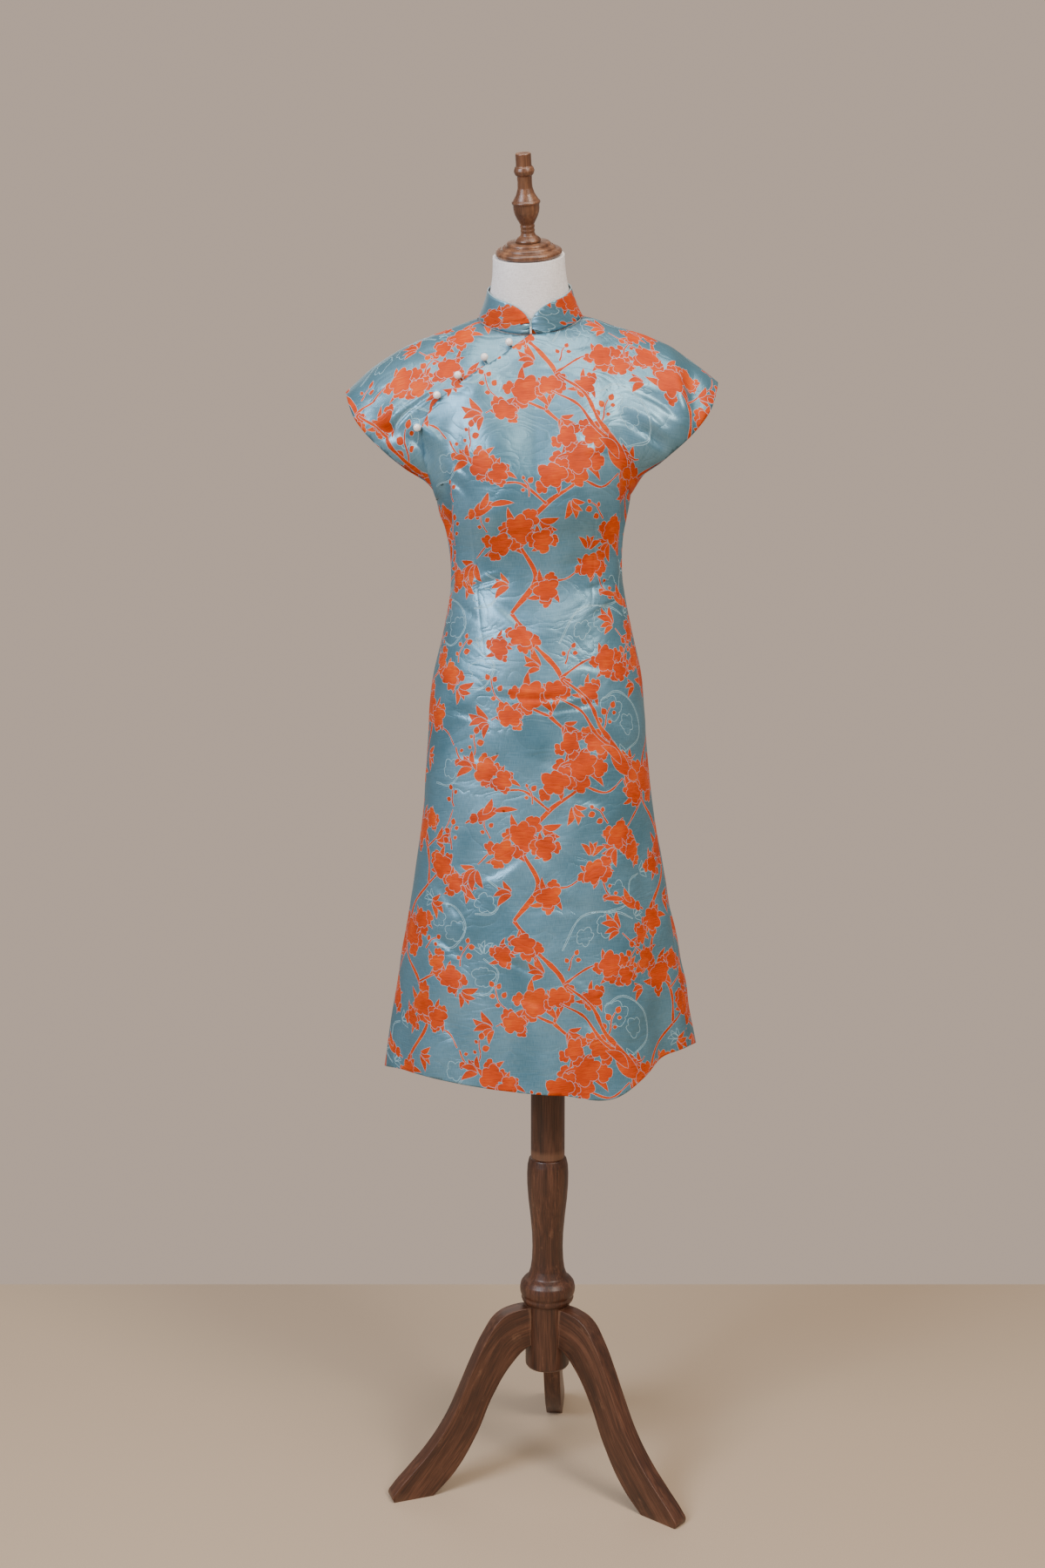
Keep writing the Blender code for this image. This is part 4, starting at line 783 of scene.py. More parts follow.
def collar_rise(angle):
    """How far up the neck the collar reaches, with its round front corners."""
    to_end = (180.0 - np.abs((angle % 360.0) - 180.0)) * math.radians(1.0) * COLLAR_RADIUS
    share = np.clip(to_end / COLLAR_CORNER, 0.0, 1.0)
    corner = (1 - (1 - share) ** COLLAR_CORNER_POWER) ** (1 / COLLAR_CORNER_POWER)
    return mix(COLLAR_END_HEIGHT / NECK_FRONT_HEIGHT, COLLAR_SHARE, corner)


def form_section(height, angles):
    """One ring of the torso below the underarm."""
    level = np.full_like(angles, height)
    ease = between(SECTIONS, "height", "ease", level) + CLOTH + FORM_DRAWN_IN
    fluted = oval(angles, level, ease)
    smooth = oval(angles, level, ease + flute_out(angles, level))
    return np.where((level < UNDERARM)[..., None], smooth, fluted)


# ---- woven figures: outlines in millimetres on the cut cloth ----

# kind is "figure" for a solid coloured motif and "drawn" for one in outline only
Motif = namedtuple("Motif", "kind outline")


def smooth_line(points, step):
    """Even points on a smooth curve through the given ones."""
    points = np.array(points, dtype=float)
    ends = np.concatenate([[2 * points[0] - points[1]], points, [2 * points[-1] - points[-2]]])
    line = []
    for before, start, end, after in zip(ends, ends[1:], ends[2:], ends[3:]):
        count = max(2, int(np.linalg.norm(end - start) / step))
        t = np.linspace(0, 1, count, endpoint=False)[:, None]
        rise = 0.5 * (end - before)
        fall = 0.5 * (after - start)
        line.append(
            start * (1 + t * t * (2 * t - 3))
            + end * t * t * (3 - 2 * t)
            + rise * t * (1 - t) ** 2
            + fall * t * t * (t - 1)
        )
    return np.concatenate(line + [points[-1:]])


def squares(line):
    """Unit vectors square to a line on the cut cloth, to the left of its run."""
    run = np.gradient(line, axis=0)
    run = run / length_of(run)
    return np.stack([-run[:, 1], run[:, 0]], axis=-1)


def turned_to(points, x, y, turn, mirrored=False):
    """An outline turned by an angle in degrees and moved to (x, y)."""
    points = np.array(points, dtype=float)
    if mirrored:
        points = points[::-1] * (1, -1)
    c, s = math.cos(math.radians(turn)), math.sin(math.radians(turn))
    return points @ np.array([[c, s], [-s, c]]) + (x, y)


def moved(x, y, reach, turn):
    """A place reached from (x, y) by a distance in a direction in degrees."""
    return x + reach * math.cos(math.radians(turn)), y + reach * math.sin(math.radians(turn))


def blossom(x, y, size, turn=0.0, petals=5, notch=0.26, flat=1.0, kind="figure"):
    """A flower seen from the front: its rim runs out round each petal and in between them."""
    t = np.linspace(0, 2 * math.pi, 8 * petals, endpoint=False)
    petal = np.abs(np.cos(petals * t / 2)) ** 0.62
    uneven = 1 + 0.09 * np.sin(2 * t + turn) + 0.07 * np.sin(3 * t + x) + 0.05 * np.sin(7 * t + y)
    rim = size * (1 - notch + notch * petal) * uneven
    outline = np.stack([rim * np.cos(t), flat * rim * np.sin(t)], axis=-1)
    return Motif(kind, turned_to(outline, x, y, turn))


def leaf(x, y, length, width, turn, bend=0.12, kind="figure"):
    """A pointed leaf from its stalk end (x, y) outwards."""
    t = np.linspace(0, 1, 9)
    half = width / 2 * np.sin(math.pi * t**0.85) ** 0.85
    middle = bend * length * 4 * t * (1 - t)
    upper = np.stack([t * length, middle + half], axis=-1)
    lower = np.stack([t * length, middle - half], axis=-1)
    outline = np.concatenate([lower, upper[-2:0:-1]])
    return Motif(kind, turned_to(outline, x, y, turn))


def twig(points, start, end, kind="figure"):
    """A stem through points, with its width at both ends and a slight swell at its knots."""
    line = smooth_line(points, 6.0)
    share = np.linspace(0, 1, len(line))
    knots = 0.20 * np.sin(share * 19 + line[0, 0]) + 0.14 * np.sin(share * 41 + line[0, 1])
    half = (start + (end - start) * share) / 2 * (1 + knots)
    aside = squares(line) * half[:, None]
    return Motif(kind, np.concatenate([line - aside, (line + aside)[::-1]]))


def leaves(x, y, turn, count, length, spread=150.0, kind="figure"):
    """A fan of leaves that share a stalk."""
    fan = []
    for k in range(count):
        share = (k + 0.5) / count - 0.5
        size = length * (1.0 - 0.35 * abs(share) + 0.16 * math.sin(5 * k + x))
        away = turn + spread * share
        bend = 0.13 if share < 0 else -0.13
        fan.append(leaf(*moved(x, y, 3.0, away), size, size * 0.36, away, bend, kind))
    return fan


def buds(x, y, turn, count, reach, size=8.0, kind="figure"):
    """A thin stalk with round buds on both sides and one at its tip."""
    stalk = []
    for k in range(4):
        sway = 0.10 * reach * math.sin(k * 1.5 + x)
        stalk.append(moved(*moved(x, y, reach * k / 3, turn), sway, turn + 90.0))
    made = [twig(stalk, 2.2, 1.5, kind)]
    for k in range(count):
        side = 0 if k == count - 1 else (-1) ** k
        out = turn + 62 * side
        spot = moved(*moved(x, y, reach * (k + 1) / count, turn), 4.0 * abs(side), out)
        fat = size * (0.85 + 0.25 * math.sin(3 * k + y))
        made.append(leaf(*spot, fat * 1.25, fat, out, 0.0, kind))
    return made


def placed_all(shapes, x, y, turn, scale, mirrored=False):
    """A bird's parts together, scaled, turned and moved."""
    return [Motif(s.kind, turned_to(s.outline * scale, x, y, turn, mirrored)) for s in shapes]


def long_tailed_bird():
    """A resting bird with a full breast, a folded wing and two long tail feathers."""
    return (
        twig([(4, 0), (40, 10), (84, 9), (128, 26)], 7.0, 2.6),
        twig([(0, 4), (36, 20), (76, 25), (112, 46)], 6.0, 2.2),
        leaf(-46, -6, 66, 25, 8, 0.10),
        blossom(-47, -9, 10.5, 0, 3, 0.06, 0.9),
        leaf(-55, -10, 16, 5.0, 196, 0.1),
        leaf(-22, 4, 44, 14, 24, -0.12),
        twig([(-22, -12), (-26, -22), (-24, -30)], 2.6, 1.8),
    )


def small_bird():
    """A short bird on a stem."""
    return (
        leaf(-14, 0, 40, 17, 4, 0.06),
        leaf(16, 3, 34, 8, -16, 0.05),
        leaf(0, 4, 26, 10, 38, -0.1),
        blossom(-15, 3, 7.0, 0, 3, 0.06, 1.0),
        leaf(-20, 3, 10, 3.4, 186, 0.0),
    )


# Stems of the repeat: widths at both ends and the points that each runs through
STEM = "start end points"
STEMS = table(
    STEM,
    (8, 7, ((62, -2), (94, 44), (74, 96), (110, 140), (152, 172), (146, 224), (112, 262))),
    (7, 8, ((112, 262), (126, 312), (90, 358), (62, 396))),
    (5, 2.4, ((110, 140), (78, 166), (44, 168), (14, 190))),
    (5, 2.4, ((152, 172), (186, 160), (214, 178))), (4.6, 2.2, ((112, 262), (74, 276), (36, 258))),
    (4.6, 2.2, ((126, 312), (166, 334), (200, 324))), (4.6, 2.2, ((74, 96), (40, 92), (14, 70))),
    (4.2, 2, ((94, 44), (132, 40), (160, 60))),
    (6.5, 6, ((270, 14), (304, 60), (286, 112), (252, 152), (262, 206), (304, 244))),
    (6, 6.5, ((304, 244), (300, 292), (264, 334), (268, 380), (270, 412))),
    (4.6, 2.2, ((286, 112), (328, 126), (356, 108))), (4.6, 2.2, ((252, 152), (226, 122), (206, 98))),
    (4.6, 2.2, ((304, 244), (340, 266), (366, 250))), (4.6, 2.2, ((264, 334), (232, 352), (206, 374))),
    (3.6, 2, ((304, 60), (338, 48), (352, 28))), (3.6, 2, ((300, 292), (336, 316), (350, 342))),
)

# Flowers of the repeat, from the back one to the front one
FLOWER = "x y size turn petals notch flat"
FLOWERS = table(
    FLOWER,
    (150, 196, 21, 20, 7, 0.2, 0.86), (118, 176, 16, 80, 5, 0.26, 1), (174, 226, 15, 10, 5, 0.28, 0.95),
    (138, 226, 13, 50, 5, 0.28, 0.9), (76, 108, 17, 30, 6, 0.22, 1), (104, 92, 14, 70, 5, 0.28, 0.92),
    (50, 88, 15, 5, 5, 0.26, 0.85), (28, 192, 15, 0, 5, 0.27, 0.95), (50, 180, 12, 45, 5, 0.3, 1),
    (88, 290, 18, 12, 6, 0.22, 0.9), (118, 296, 13, 66, 5, 0.28, 1), (60, 262, 14, 22, 5, 0.26, 0.92),
    (188, 334, 15, 31, 5, 0.26, 1), (212, 318, 12, 75, 5, 0.3, 0.9), (74, 366, 14, 15, 5, 0.28, 0.96),
    (46, 350, 12, 50, 5, 0.3, 1), (108, 28, 14, 40, 5, 0.27, 1), (262, 176, 20, 8, 7, 0.2, 0.9),
    (234, 160, 14, 55, 5, 0.28, 1), (288, 196, 14, 35, 5, 0.28, 0.9), (296, 84, 17, 60, 6, 0.23, 0.95),
    (322, 66, 13, 20, 5, 0.28, 1), (272, 62, 12, 75, 5, 0.3, 0.9), (344, 122, 15, 15, 5, 0.27, 1),
    (322, 140, 11, 40, 5, 0.3, 1), (206, 104, 17, 25, 6, 0.23, 0.92), (228, 82, 12, 65, 5, 0.29, 1),
    (330, 268, 16, 42, 5, 0.26, 0.95), (352, 246, 12, 10, 5, 0.3, 1), (278, 312, 18, 33, 6, 0.22, 0.9),
    (250, 338, 14, 72, 5, 0.28, 1), (306, 330, 12, 24, 5, 0.3, 0.95), (264, 388, 15, 48, 5, 0.27, 1),
    (240, 370, 11, 5, 5, 0.3, 1), (168, 58, 15, 65, 5, 0.26, 0.9), (164, 292, 12, 28, 5, 0.3, 1),
)

# Fans of leaves and stalks of buds: place, direction, how many and how long
FAN = "x y turn count length spread"
FANS = table(
    FAN,
    (12, 196, 150, 4, 19, 140), (214, 180, -10, 5, 20, 150), (34, 256, 190, 5, 20, 150),
    (204, 326, 20, 4, 19, 130), (12, 66, 230, 5, 20, 150), (98, 120, -30, 3, 18, 100),
    (128, 252, -40, 4, 18, 120), (140, 146, -60, 4, 18, 120), (102, 326, 160, 4, 19, 120),
    (62, 34, 175, 4, 18, 120), (358, 104, -40, 4, 18, 130), (200, 90, 220, 4, 18, 130),
    (236, 196, 150, 4, 18, 110), (310, 222, -20, 4, 18, 120), (366, 244, -50, 3, 17, 100),
    (318, 300, 10, 4, 18, 120), (204, 378, 160, 5, 19, 140), (290, 18, -20, 4, 18, 120),
    (244, 300, 190, 3, 17, 100), (164, 76, 80, 4, 17, 120),
)
STALKS = table(
    "x y turn count reach size",
    (180, 240, 62, 5, 34, 8), (10, 212, 80, 4, 28, 8), (50, 280, 120, 5, 34, 8),
    (220, 334, 70, 4, 26, 8), (30, 104, 100, 4, 26, 7), (178, 42, -50, 4, 26, 8),
    (90, 150, 110, 3, 22, 7), (358, 136, 70, 5, 32, 8), (190, 122, 140, 4, 28, 8),
    (300, 160, 30, 3, 24, 7), (344, 290, 80, 5, 32, 8), (352, 346, 100, 3, 22, 7),
    (354, 24, -50, 4, 26, 8), (232, 316, 150, 3, 22, 7), (130, 330, 60, 3, 22, 7),
)

# Motifs that are only drawn in a pale line on the ground. Their stems are all alike in width.
DRAWN_STEM = (1.8, 1.6)
DRAWN_FLOWERS = table(
    FLOWER,
    (196, 270, 17, 10, 5, 0.27, 1), (222, 250, 13, 50, 5, 0.29, 1), (184, 386, 16, 25, 6, 0.24, 0.9),
    (154, 372, 12, 65, 5, 0.29, 1), (20, 322, 15, 15, 5, 0.27, 1), (24, 20, 14, 35, 5, 0.28, 1),
    (200, 30, 14, 5, 5, 0.27, 1), (352, 182, 15, 40, 6, 0.25, 1), (326, 198, 12, 20, 5, 0.29, 0.9),
    (350, 396, 14, 60, 5, 0.27, 1),
)
DRAWN_STEMS = (
    ((180, 280), (206, 292), (240, 270), (248, 234), (222, 214)),
    ((124, 356), (150, 398), (196, 402), (224, 392)), ((4, 300), (26, 300), (40, 328), (20, 346)),
    ((10, 6), (36, 8), (46, 34), (28, 50)), ((180, 4), (214, 14), (222, 44), (240, 52)),
    ((316, 166), (346, 160), (368, 186), (352, 214), (320, 220)), ((320, 378), (346, 374), (366, 392)),
)
DRAWN_FANS = table(
    FAN,
    (224, 212, 200, 5, 20, 150), (226, 394, 30, 4, 20, 130), (20, 350, 100, 4, 18, 130),
    (242, 54, 20, 4, 18, 120), (318, 222, 160, 4, 18, 120),
)


def cluster(flower):
    """A flower with leaves and smaller flowers half hidden behind it."""
    made = []
    for k in range(3):
        turn = flower.turn + 60.0 + 121.0 * k + 30.0 * math.sin(flower.y + k)
        length = flower.size * (1.75 + 0.35 * math.sin(flower.x + k))
        made.append(leaf(flower.x, flower.y, length, 0.55 * flower.size, turn))
    for k in range(3):
        turn = flower.turn + 128.0 * k + 34.0 * math.sin(flower.x + 2.0 * k)
        reach = flower.size * (1.0 + 0.14 * math.sin(flower.y + k))
        size = flower.size * (0.66 + 0.12 * math.sin(flower.y + 3.0 * k))
        made.append(blossom(*moved(flower.x, flower.y, reach, turn), size, turn, 5, 0.28, 0.92))
    return made + [blossom(*flower._replace(size=flower.size * FLOWER_SWELL))]


@functools.lru_cache
def one_repeat():
    """Every motif of one repeat of the brocade, the back ones first."""
    made = [twig(s.points, s.start * STEM_SHARE, s.end * STEM_SHARE) for s in STEMS]
    for fan in FANS:
        made += leaves(*fan._replace(length=fan.length * LEAF_SHARE))
    for stalk in STALKS:
        made += buds(*stalk)
    for flower in FLOWERS:
        made += cluster(flower)
    made += placed_all(long_tailed_bird(), 206, 216, 118, 0.92)
    made += placed_all(small_bird(), 24, 132, 20, 0.95)
    made += placed_all(small_bird(), 222, 12, 160, 0.9, True)
    made += [twig(points, *DRAWN_STEM, "drawn") for points in DRAWN_STEMS]
    for fan in DRAWN_FANS:
        made += leaves(*fan, "drawn")
    return made + [blossom(*flower, "drawn") for flower in DRAWN_FLOWERS]


def twice_area(outline):
    """Twice the area of a closed outline, above 0 where it runs anticlockwise."""
    x, y = outline[:, 0], outline[:, 1]
    return np.sum(x * np.roll(y, -1) - y * np.roll(x, -1))


def grown(outline, out):
    """A closed outline moved outwards by a distance, or inwards by a negative one."""
    ahead = np.roll(outline, -1, axis=0) - outline
    behind = outline - np.roll(outline, 1, axis=0)
    run = ahead / length_of(ahead) + behind / length_of(behind)
    run = run / length_of(run)
    side = 1.0 if twice_area(outline) > 0 else -1.0
    return outline + np.stack([run[:, 1], -run[:, 0]], axis=-1) * side * out


def inside(points, outline):
    """Which points lie inside a closed outline."""
    x, y = points[:, 0][:, None], points[:, 1][:, None]
    x1, y1 = outline[:, 0], outline[:, 1]
    x2, y2 = np.roll(x1, -1), np.roll(y1, -1)
    crosses = (y1 > y) != (y2 > y)
    height = np.where(y2 == y1, TINY, y2 - y1)
    at = x1 + (y - y1) * (x2 - x1) / height
    return (np.sum(crosses & (x < at), axis=1) % 2) == 1


def inside_large(points, outline):
    """The same, a few thousand points at a time."""
    parts = [inside(points[k : k + 4000], outline) for k in range(0, len(points), 4000)]
    return np.concatenate(parts)


@functools.lru_cache
def shown_parts():
    """For each motif of the repeat, the points of its outline that no other figure hides."""
    motifs = one_repeat()
    found = []
    for number, motif in enumerate(motifs):
        over = motifs[number + 1 :] if motif.kind == "figure" else motifs
        shown = np.ones(len(motif.outline), bool)
        for other in over:
            if other.kind != "figure":
                continue
            apart = motif.outline.max(0) < other.outline.min(0)
            apart = apart | (motif.outline.min(0) > other.outline.max(0))
            if not np.any(apart):
                shown = shown & ~inside(motif.outline, grown(other.outline, -HIDDEN_EDGE))
        found.append(shown | np.roll(shown, 1) | np.roll(shown, -1))
    return found


def motifs_over(low, high, start_x, start_y):
    """Each motif of the repeats that touch a rectangle: kind, outer rim, inner rim, shown points."""
    found = []
    first = math.floor((low[0] - start_x) / REPEAT_ACROSS) - 1
    last = math.ceil((high[0] - start_x) / REPEAT_ACROSS) + 1
    for column in range(first, last):
        drop = start_y + (REPEAT_UP / 2 if column % 2 else 0.0)
        bottom = math.floor((low[1] - drop) / REPEAT_UP) - 1
        top = math.ceil((high[1] - drop) / REPEAT_UP) + 1
        for row in range(bottom, top):
            shift = (start_x + column * REPEAT_ACROSS, drop + row * REPEAT_UP)
            for motif, shown in zip(one_repeat(), shown_parts()):
                outline = motif.outline + shift
                if np.any(outline.max(0) < low) or np.any(outline.min(0) > high):
                    continue
                outer, inner = (FIGURE_EDGE, 0.0)
                if motif.kind == "drawn":
                    outer, inner = DRAWN_LINE / 2, -DRAWN_LINE / 2
                found.append((motif.kind, grown(outline, outer), grown(outline, inner), shown))
    return found


# ---- the cut of each panel: where a place on the dress lies on the flat cloth ----

Cut = namedtuple("Cut", "low high x y")

# Points along the runs of a panel's edge
HEM_POINTS = 190
SIDE_POINTS = 230
LOW_SIDE_POINTS = 150
FRONT_SHOULDER_POINTS = 150
BACK_SHOULDER_POINTS = 260
OPENING_POINTS = 170
YOKE_EDGE_POINTS = 120
YOKE_SIDE_POINTS = 110
YOKE_LOW_POINTS = 12
COLLAR_POINTS = 220
COLLAR_END_POINTS = 8

# Rounds and longest step of the search that takes flat points back to places on the panel
FIND_ROUNDS = 22
FIND_STEP = 0.3
FIND_HALF_WIDTH = 230.0
FIND_START = 0.9

# Lines of extra points beside a narrow crease, in widths of it
CREASE_LINES = (-1.5, -0.75, 0.0, 0.75, 1.5)

# Points found along a narrow crease, the steps of the search for each, and the spacing of the
# extra ones laid between them in millimetres
CREASE_SPOTS = 9
CREASE_UP_STEPS = 14
CREASE_ACROSS_STEPS = 12
CREASE_SPACING = 2.0

# Points of a triangulation nearer than this, in millimetres, are taken as one, and the least that
# the search for places divides by
WELD = 0.004
SMALLEST_WHOLE = 1e-6

# Where across the cloth's width is felt at a side seam, how far short of the neck's corners the
# neckline's wider trim ends, and how the collar's points crowd towards its ends
SEAM_FELT = 0.9
NECK_SHARE_OFF = 0.01
COLLAR_CROWDING = 1.5

# Numbers of the three weaves among a panel's materials
GROUND, FIGURE, LINE = 0, 1, 2


def lay_flat(point_of, high, level_row, whole):
    """Tables of the flat place, in millimetres, of an even grid of places across and up."""
    across = np.linspace(-1.0, 1.0, CUT_COLUMNS)
    up = np.linspace(0.0, high, CUT_ROWS)
    grid_up, grid_across = np.meshgrid(up, across, indexing="ij")
    points = point_of(grid_across, grid_up) * 1000.0
    run = np.diff(points, axis=1)
    rise = np.diff(points, axis=0)
    across_step = np.hypot(run[..., 0], run[..., 1])
    up_step = np.linalg.norm(rise, axis=-1) if whole else np.hypot(rise[..., 1], rise[..., 2])
    x = np.zeros(points.shape[:2])
    y = np.zeros(points.shape[:2])
    x[:, 1:] = np.cumsum(across_step, axis=1)
    x -= x[:, [CUT_COLUMNS // 2]]
    y[1:] = np.cumsum(up_step, axis=0)
    level = 0.0 if whole else points[level_row, :, 2]
    y += level - y[level_row, :]
    return Cut(0.0, high, x, y)


def read_cut(cut, across, up):
    """Flat place of places on the panel, and how it changes across and up."""
    column = np.clip((across + 1) / 2 * (CUT_COLUMNS - 1), 0, CUT_COLUMNS - 1.001)
    row = np.clip((up - cut.low) / (cut.high - cut.low) * (CUT_ROWS - 1), 0, CUT_ROWS - 1.001)
    i, j = column.astype(int), row.astype(int)
    s, t = column - i, row - j
    found = []
    for grid in (cut.x, cut.y):
        a, b, c, d = grid[j, i], grid[j, i + 1], grid[j + 1, i], grid[j + 1, i + 1]
        low, high = a + (b - a) * s, c + (d - c) * s
        along = ((b - a) * (1 - t) + (d - c) * t) * (CUT_COLUMNS - 1) / 2
        above = (high - low) * (CUT_ROWS - 1) / (cut.high - cut.low)
        found.append((low + (high - low) * t, along, above))
    return found


def flat_place(cut, across, up):
    """Flat place of places on the panel, as rows of x and y."""
    (x, _, _), (y, _, _) = read_cut(cut, across, up)
    return np.stack([x, y], axis=-1)


def find_place(cut, flat):
    """The place across and up of points on the flat cloth."""
    across = np.clip(flat[:, 0] / FIND_HALF_WIDTH, -FIND_START, FIND_START)
    up = np.full(len(flat), (cut.low + cut.high) / 2)
    for _ in range(FIND_ROUNDS):
        (x, xa, xu), (y, ya, yu) = read_cut(cut, across, up)
        off_x, off_y = flat[:, 0] - x, flat[:, 1] - y
        whole = xa * yu - xu * ya
        whole = np.where(np.abs(whole) < SMALLEST_WHOLE, SMALLEST_WHOLE, whole)
        step = np.clip((off_x * yu - off_y * xu) / whole, -FIND_STEP, FIND_STEP)
        across = np.clip(across + step, -1, 1)
        step = np.clip((off_y * xa - off_x * ya) / whole, -FIND_STEP, FIND_STEP)
        up = np.clip(up + step, cut.low, cut.high)
    return across, up


def ground_points(border, fine, spacing):
    """Even points over a panel, and the extra ones along its narrow creases."""
    low, high = border.min(0), border.max(0)
    columns = np.arange(low[0], high[0], spacing)
    rows = np.arange(low[1], high[1], spacing * ROW_SHARE)
    x, y = np.meshgrid(columns, rows)
    x = x + np.where(np.arange(len(rows)) % 2, spacing / 2, 0.0)[:, None]
    points = np.concatenate([np.stack([x.ravel(), y.ravel()], axis=-1), *fine])
    return points[inside_large(points, grown(border, -BORDER_OFF))]


def crease_points(face, cut):
    """Lines of extra points along the creases that are narrower than the grid can carry."""
    narrow = [c for c in CREASES[face] if c.width <= NARROW_CREASE]
    share = np.linspace(0.0, 1.0, CREASE_SPOTS)
    lines = []
    for crease in narrow:
        across = mix(crease.across_1, crease.across_2, share)
        height = mix(crease.height_1, crease.height_2, share)
        run = np.array([crease.across_2 - crease.across_1, crease.height_2 - crease.height_1])
        run = run / np.linalg.norm(run)
        bow = crease.bow * 4 * share * (1 - share)
        lines.append(np.stack([across - run[1] * bow, height + run[0] * bow]))
    across, height = np.concatenate(lines, axis=1)
    steps = (CREASE_UP_STEPS, CREASE_ACROSS_STEPS)
    spots = flat_place(cut, *place_at(face, across, height, 0.0, *steps))
    found = []
    for crease, course in zip(narrow, spots.reshape(len(narrow), len(share), 2)):
        line = smooth_line(course, CREASE_SPACING)
        reach = max(crease.width * 1000.0, BORDER_OFF)
        found += [line + squares(line) * out * reach for out in CREASE_LINES]
    return found


def triangulated(border, motifs, fine, spacing):
    """Triangles over a panel, whose edges follow its border and the rims of the motifs."""
    points = [border, ground_points(border, fine, spacing)]
    spots = np.arange(len(border))
    joins = [np.stack([spots, np.roll(spots, -1)], axis=-1)]
    count = len(border) + len(points[1])
    for _, outer, inner, shown in motifs:
        joined_on = shown & np.roll(shown, -1)
        spots = np.cumsum(shown) - 1
        for rim in (outer, inner):
            pairs = np.stack([spots, np.roll(spots, -1)], axis=-1)
            joins.append(pairs[joined_on] + count)
            points.append(rim[shown])
            count += int(shown.sum())
    points = [Vector(p) for p in np.concatenate(points).tolist()]
    made = delaunay_2d_cdt(points, np.concatenate(joins).tolist(), [], 0, WELD)
    flat = np.array([p[:] for p in made[0]])
    faces = np.array([f for f in made[2] if len(f) == 3])
    faces = faces[inside_large(flat[faces].mean(axis=1), border)]
    used, faces = np.unique(faces, return_inverse=True)
    origins = [made[3][spot] for spot in used]
    return flat[used], faces.reshape(-1, 3), origins


def weave_of(middle, motifs):
    """Which weave covers each triangle, by its middle: a later motif lies over the earlier ones."""
    weave = np.full(len(middle), GROUND)
    order = np.argsort(middle[:, 1])
    heights = middle[order, 1]
    for kind, outer, inner, _ in motifs:
        first, last = np.searchsorted(heights, (outer[:, 1].min(), outer[:, 1].max()))
        near = order[first:last]
        places = middle[near, 0]
        near = near[(places > outer[:, 0].min()) & (places < outer[:, 0].max())]
        if not len(near):
            continue
        covered = inside(middle[near], outer)
        within = inside(middle[near], inner)
        if kind == "figure":
            weave[near[covered]] = LINE
            weave[near[within]] = FIGURE
        else:
            weave[near[covered & ~within & (weave[near] == GROUND)]] = LINE
    return weave


def cut_out(name, cut, edge, placed, start, fine):
    """A panel cut from the brocade: its triangles follow the rims of the woven figures."""
    border = flat_place(cut, *edge)
    motifs = motifs_over(border.min(0), border.max(0), *start)
    spacing = bpy.context.scene.cheongsam_cloth.spacing
    flat, faces, origins = triangulated(border, motifs, fine, spacing)
    weave = weave_of(flat[faces].mean(axis=1), motifs)
    across, up = find_place(cut, flat)
    for new, spots in enumerate(origins):
        for spot in spots:
            if spot < len(border):
                across[new], up[new] = edge[0][spot], edge[1][spot]
    solid = lean(placed(across, up))
    a, b, c = solid[faces[:, 0]], solid[faces[:, 1]], solid[faces[:, 2]]
    from_axis = (solid[faces].mean(axis=1) - (STAND_X, STAND_Y, 0.0)) * (1.0, 1.0, 0.0)
    if np.sum(np.cross(b - a, c - a) * from_axis) < 0:
        faces = faces[:, ::-1]
    mesh = bpy.data.meshes.new(name)
    mesh.from_pydata(solid.tolist(), [], faces.tolist())
    mesh.polygons.foreach_set("material_index", weave.astype(np.int32))
    layer = mesh.uv_layers.new(name="cut")
    layer.data.foreach_set("uv", (flat[faces.ravel()] / 1000.0).ravel())
    mesh.shade_smooth()
    mesh.update()
    return mesh, border


def seam_limit(face, up):
    """How far across a panel reaches at a level, short of its side seam."""
    return 1.0 - SEAM / across_size(face, 0 * up + SEAM_FELT, up)


def top_limit(across):
    """How far up a panel reaches, short of its shoulder seam and of the collar's."""
    at_neck = np.abs(across) < NECK_SHARE - NECK_SHARE_OFF
    return 2.0 - np.where(at_neck, NECKLINE_OFF, SHOULDER_OFF)


def closed_edge(*runs):
    """A panel's edge from runs of (across, up) that follow each other."""
    across = np.concatenate([run[0][:-1] for run in runs])
    up = np.concatenate([run[1][:-1] for run in runs])
    return across, up


def shoulder_run(first, last, count):
    """A run along a panel's top edge."""
    across = np.linspace(first, last, count)
    sized = np.sign(across) * np.minimum(np.abs(across), 1.0)
    return sized, top_limit(across)


def opening_distance(across, up):
    """Signed distance from the slanted opening: above 0 on the large panel's side."""
    edge, edge_up = opening_at(np.linspace(0.0, 1.0, 2 * OPENING_STEPS + 1))
    line = plain_point(1, edge, edge_up)
    square = np.cross(np.gradient(line, axis=0), outward(1, edge, edge_up))
    square /= length_of(square)
    point = plain_point(1, across, up)
    nearest = np.zeros(len(point), dtype=int)
    distance = np.full(len(point), np.inf)
    for k in range(len(line)):
        reach = np.linalg.norm(point - line[k], axis=1)
        nearest[reach < distance] = k
        distance = np.minimum(distance, reach)
    side = np.sum((point - line[nearest]) * square[nearest], axis=1)
    return np.where(side < 0, -distance, distance)


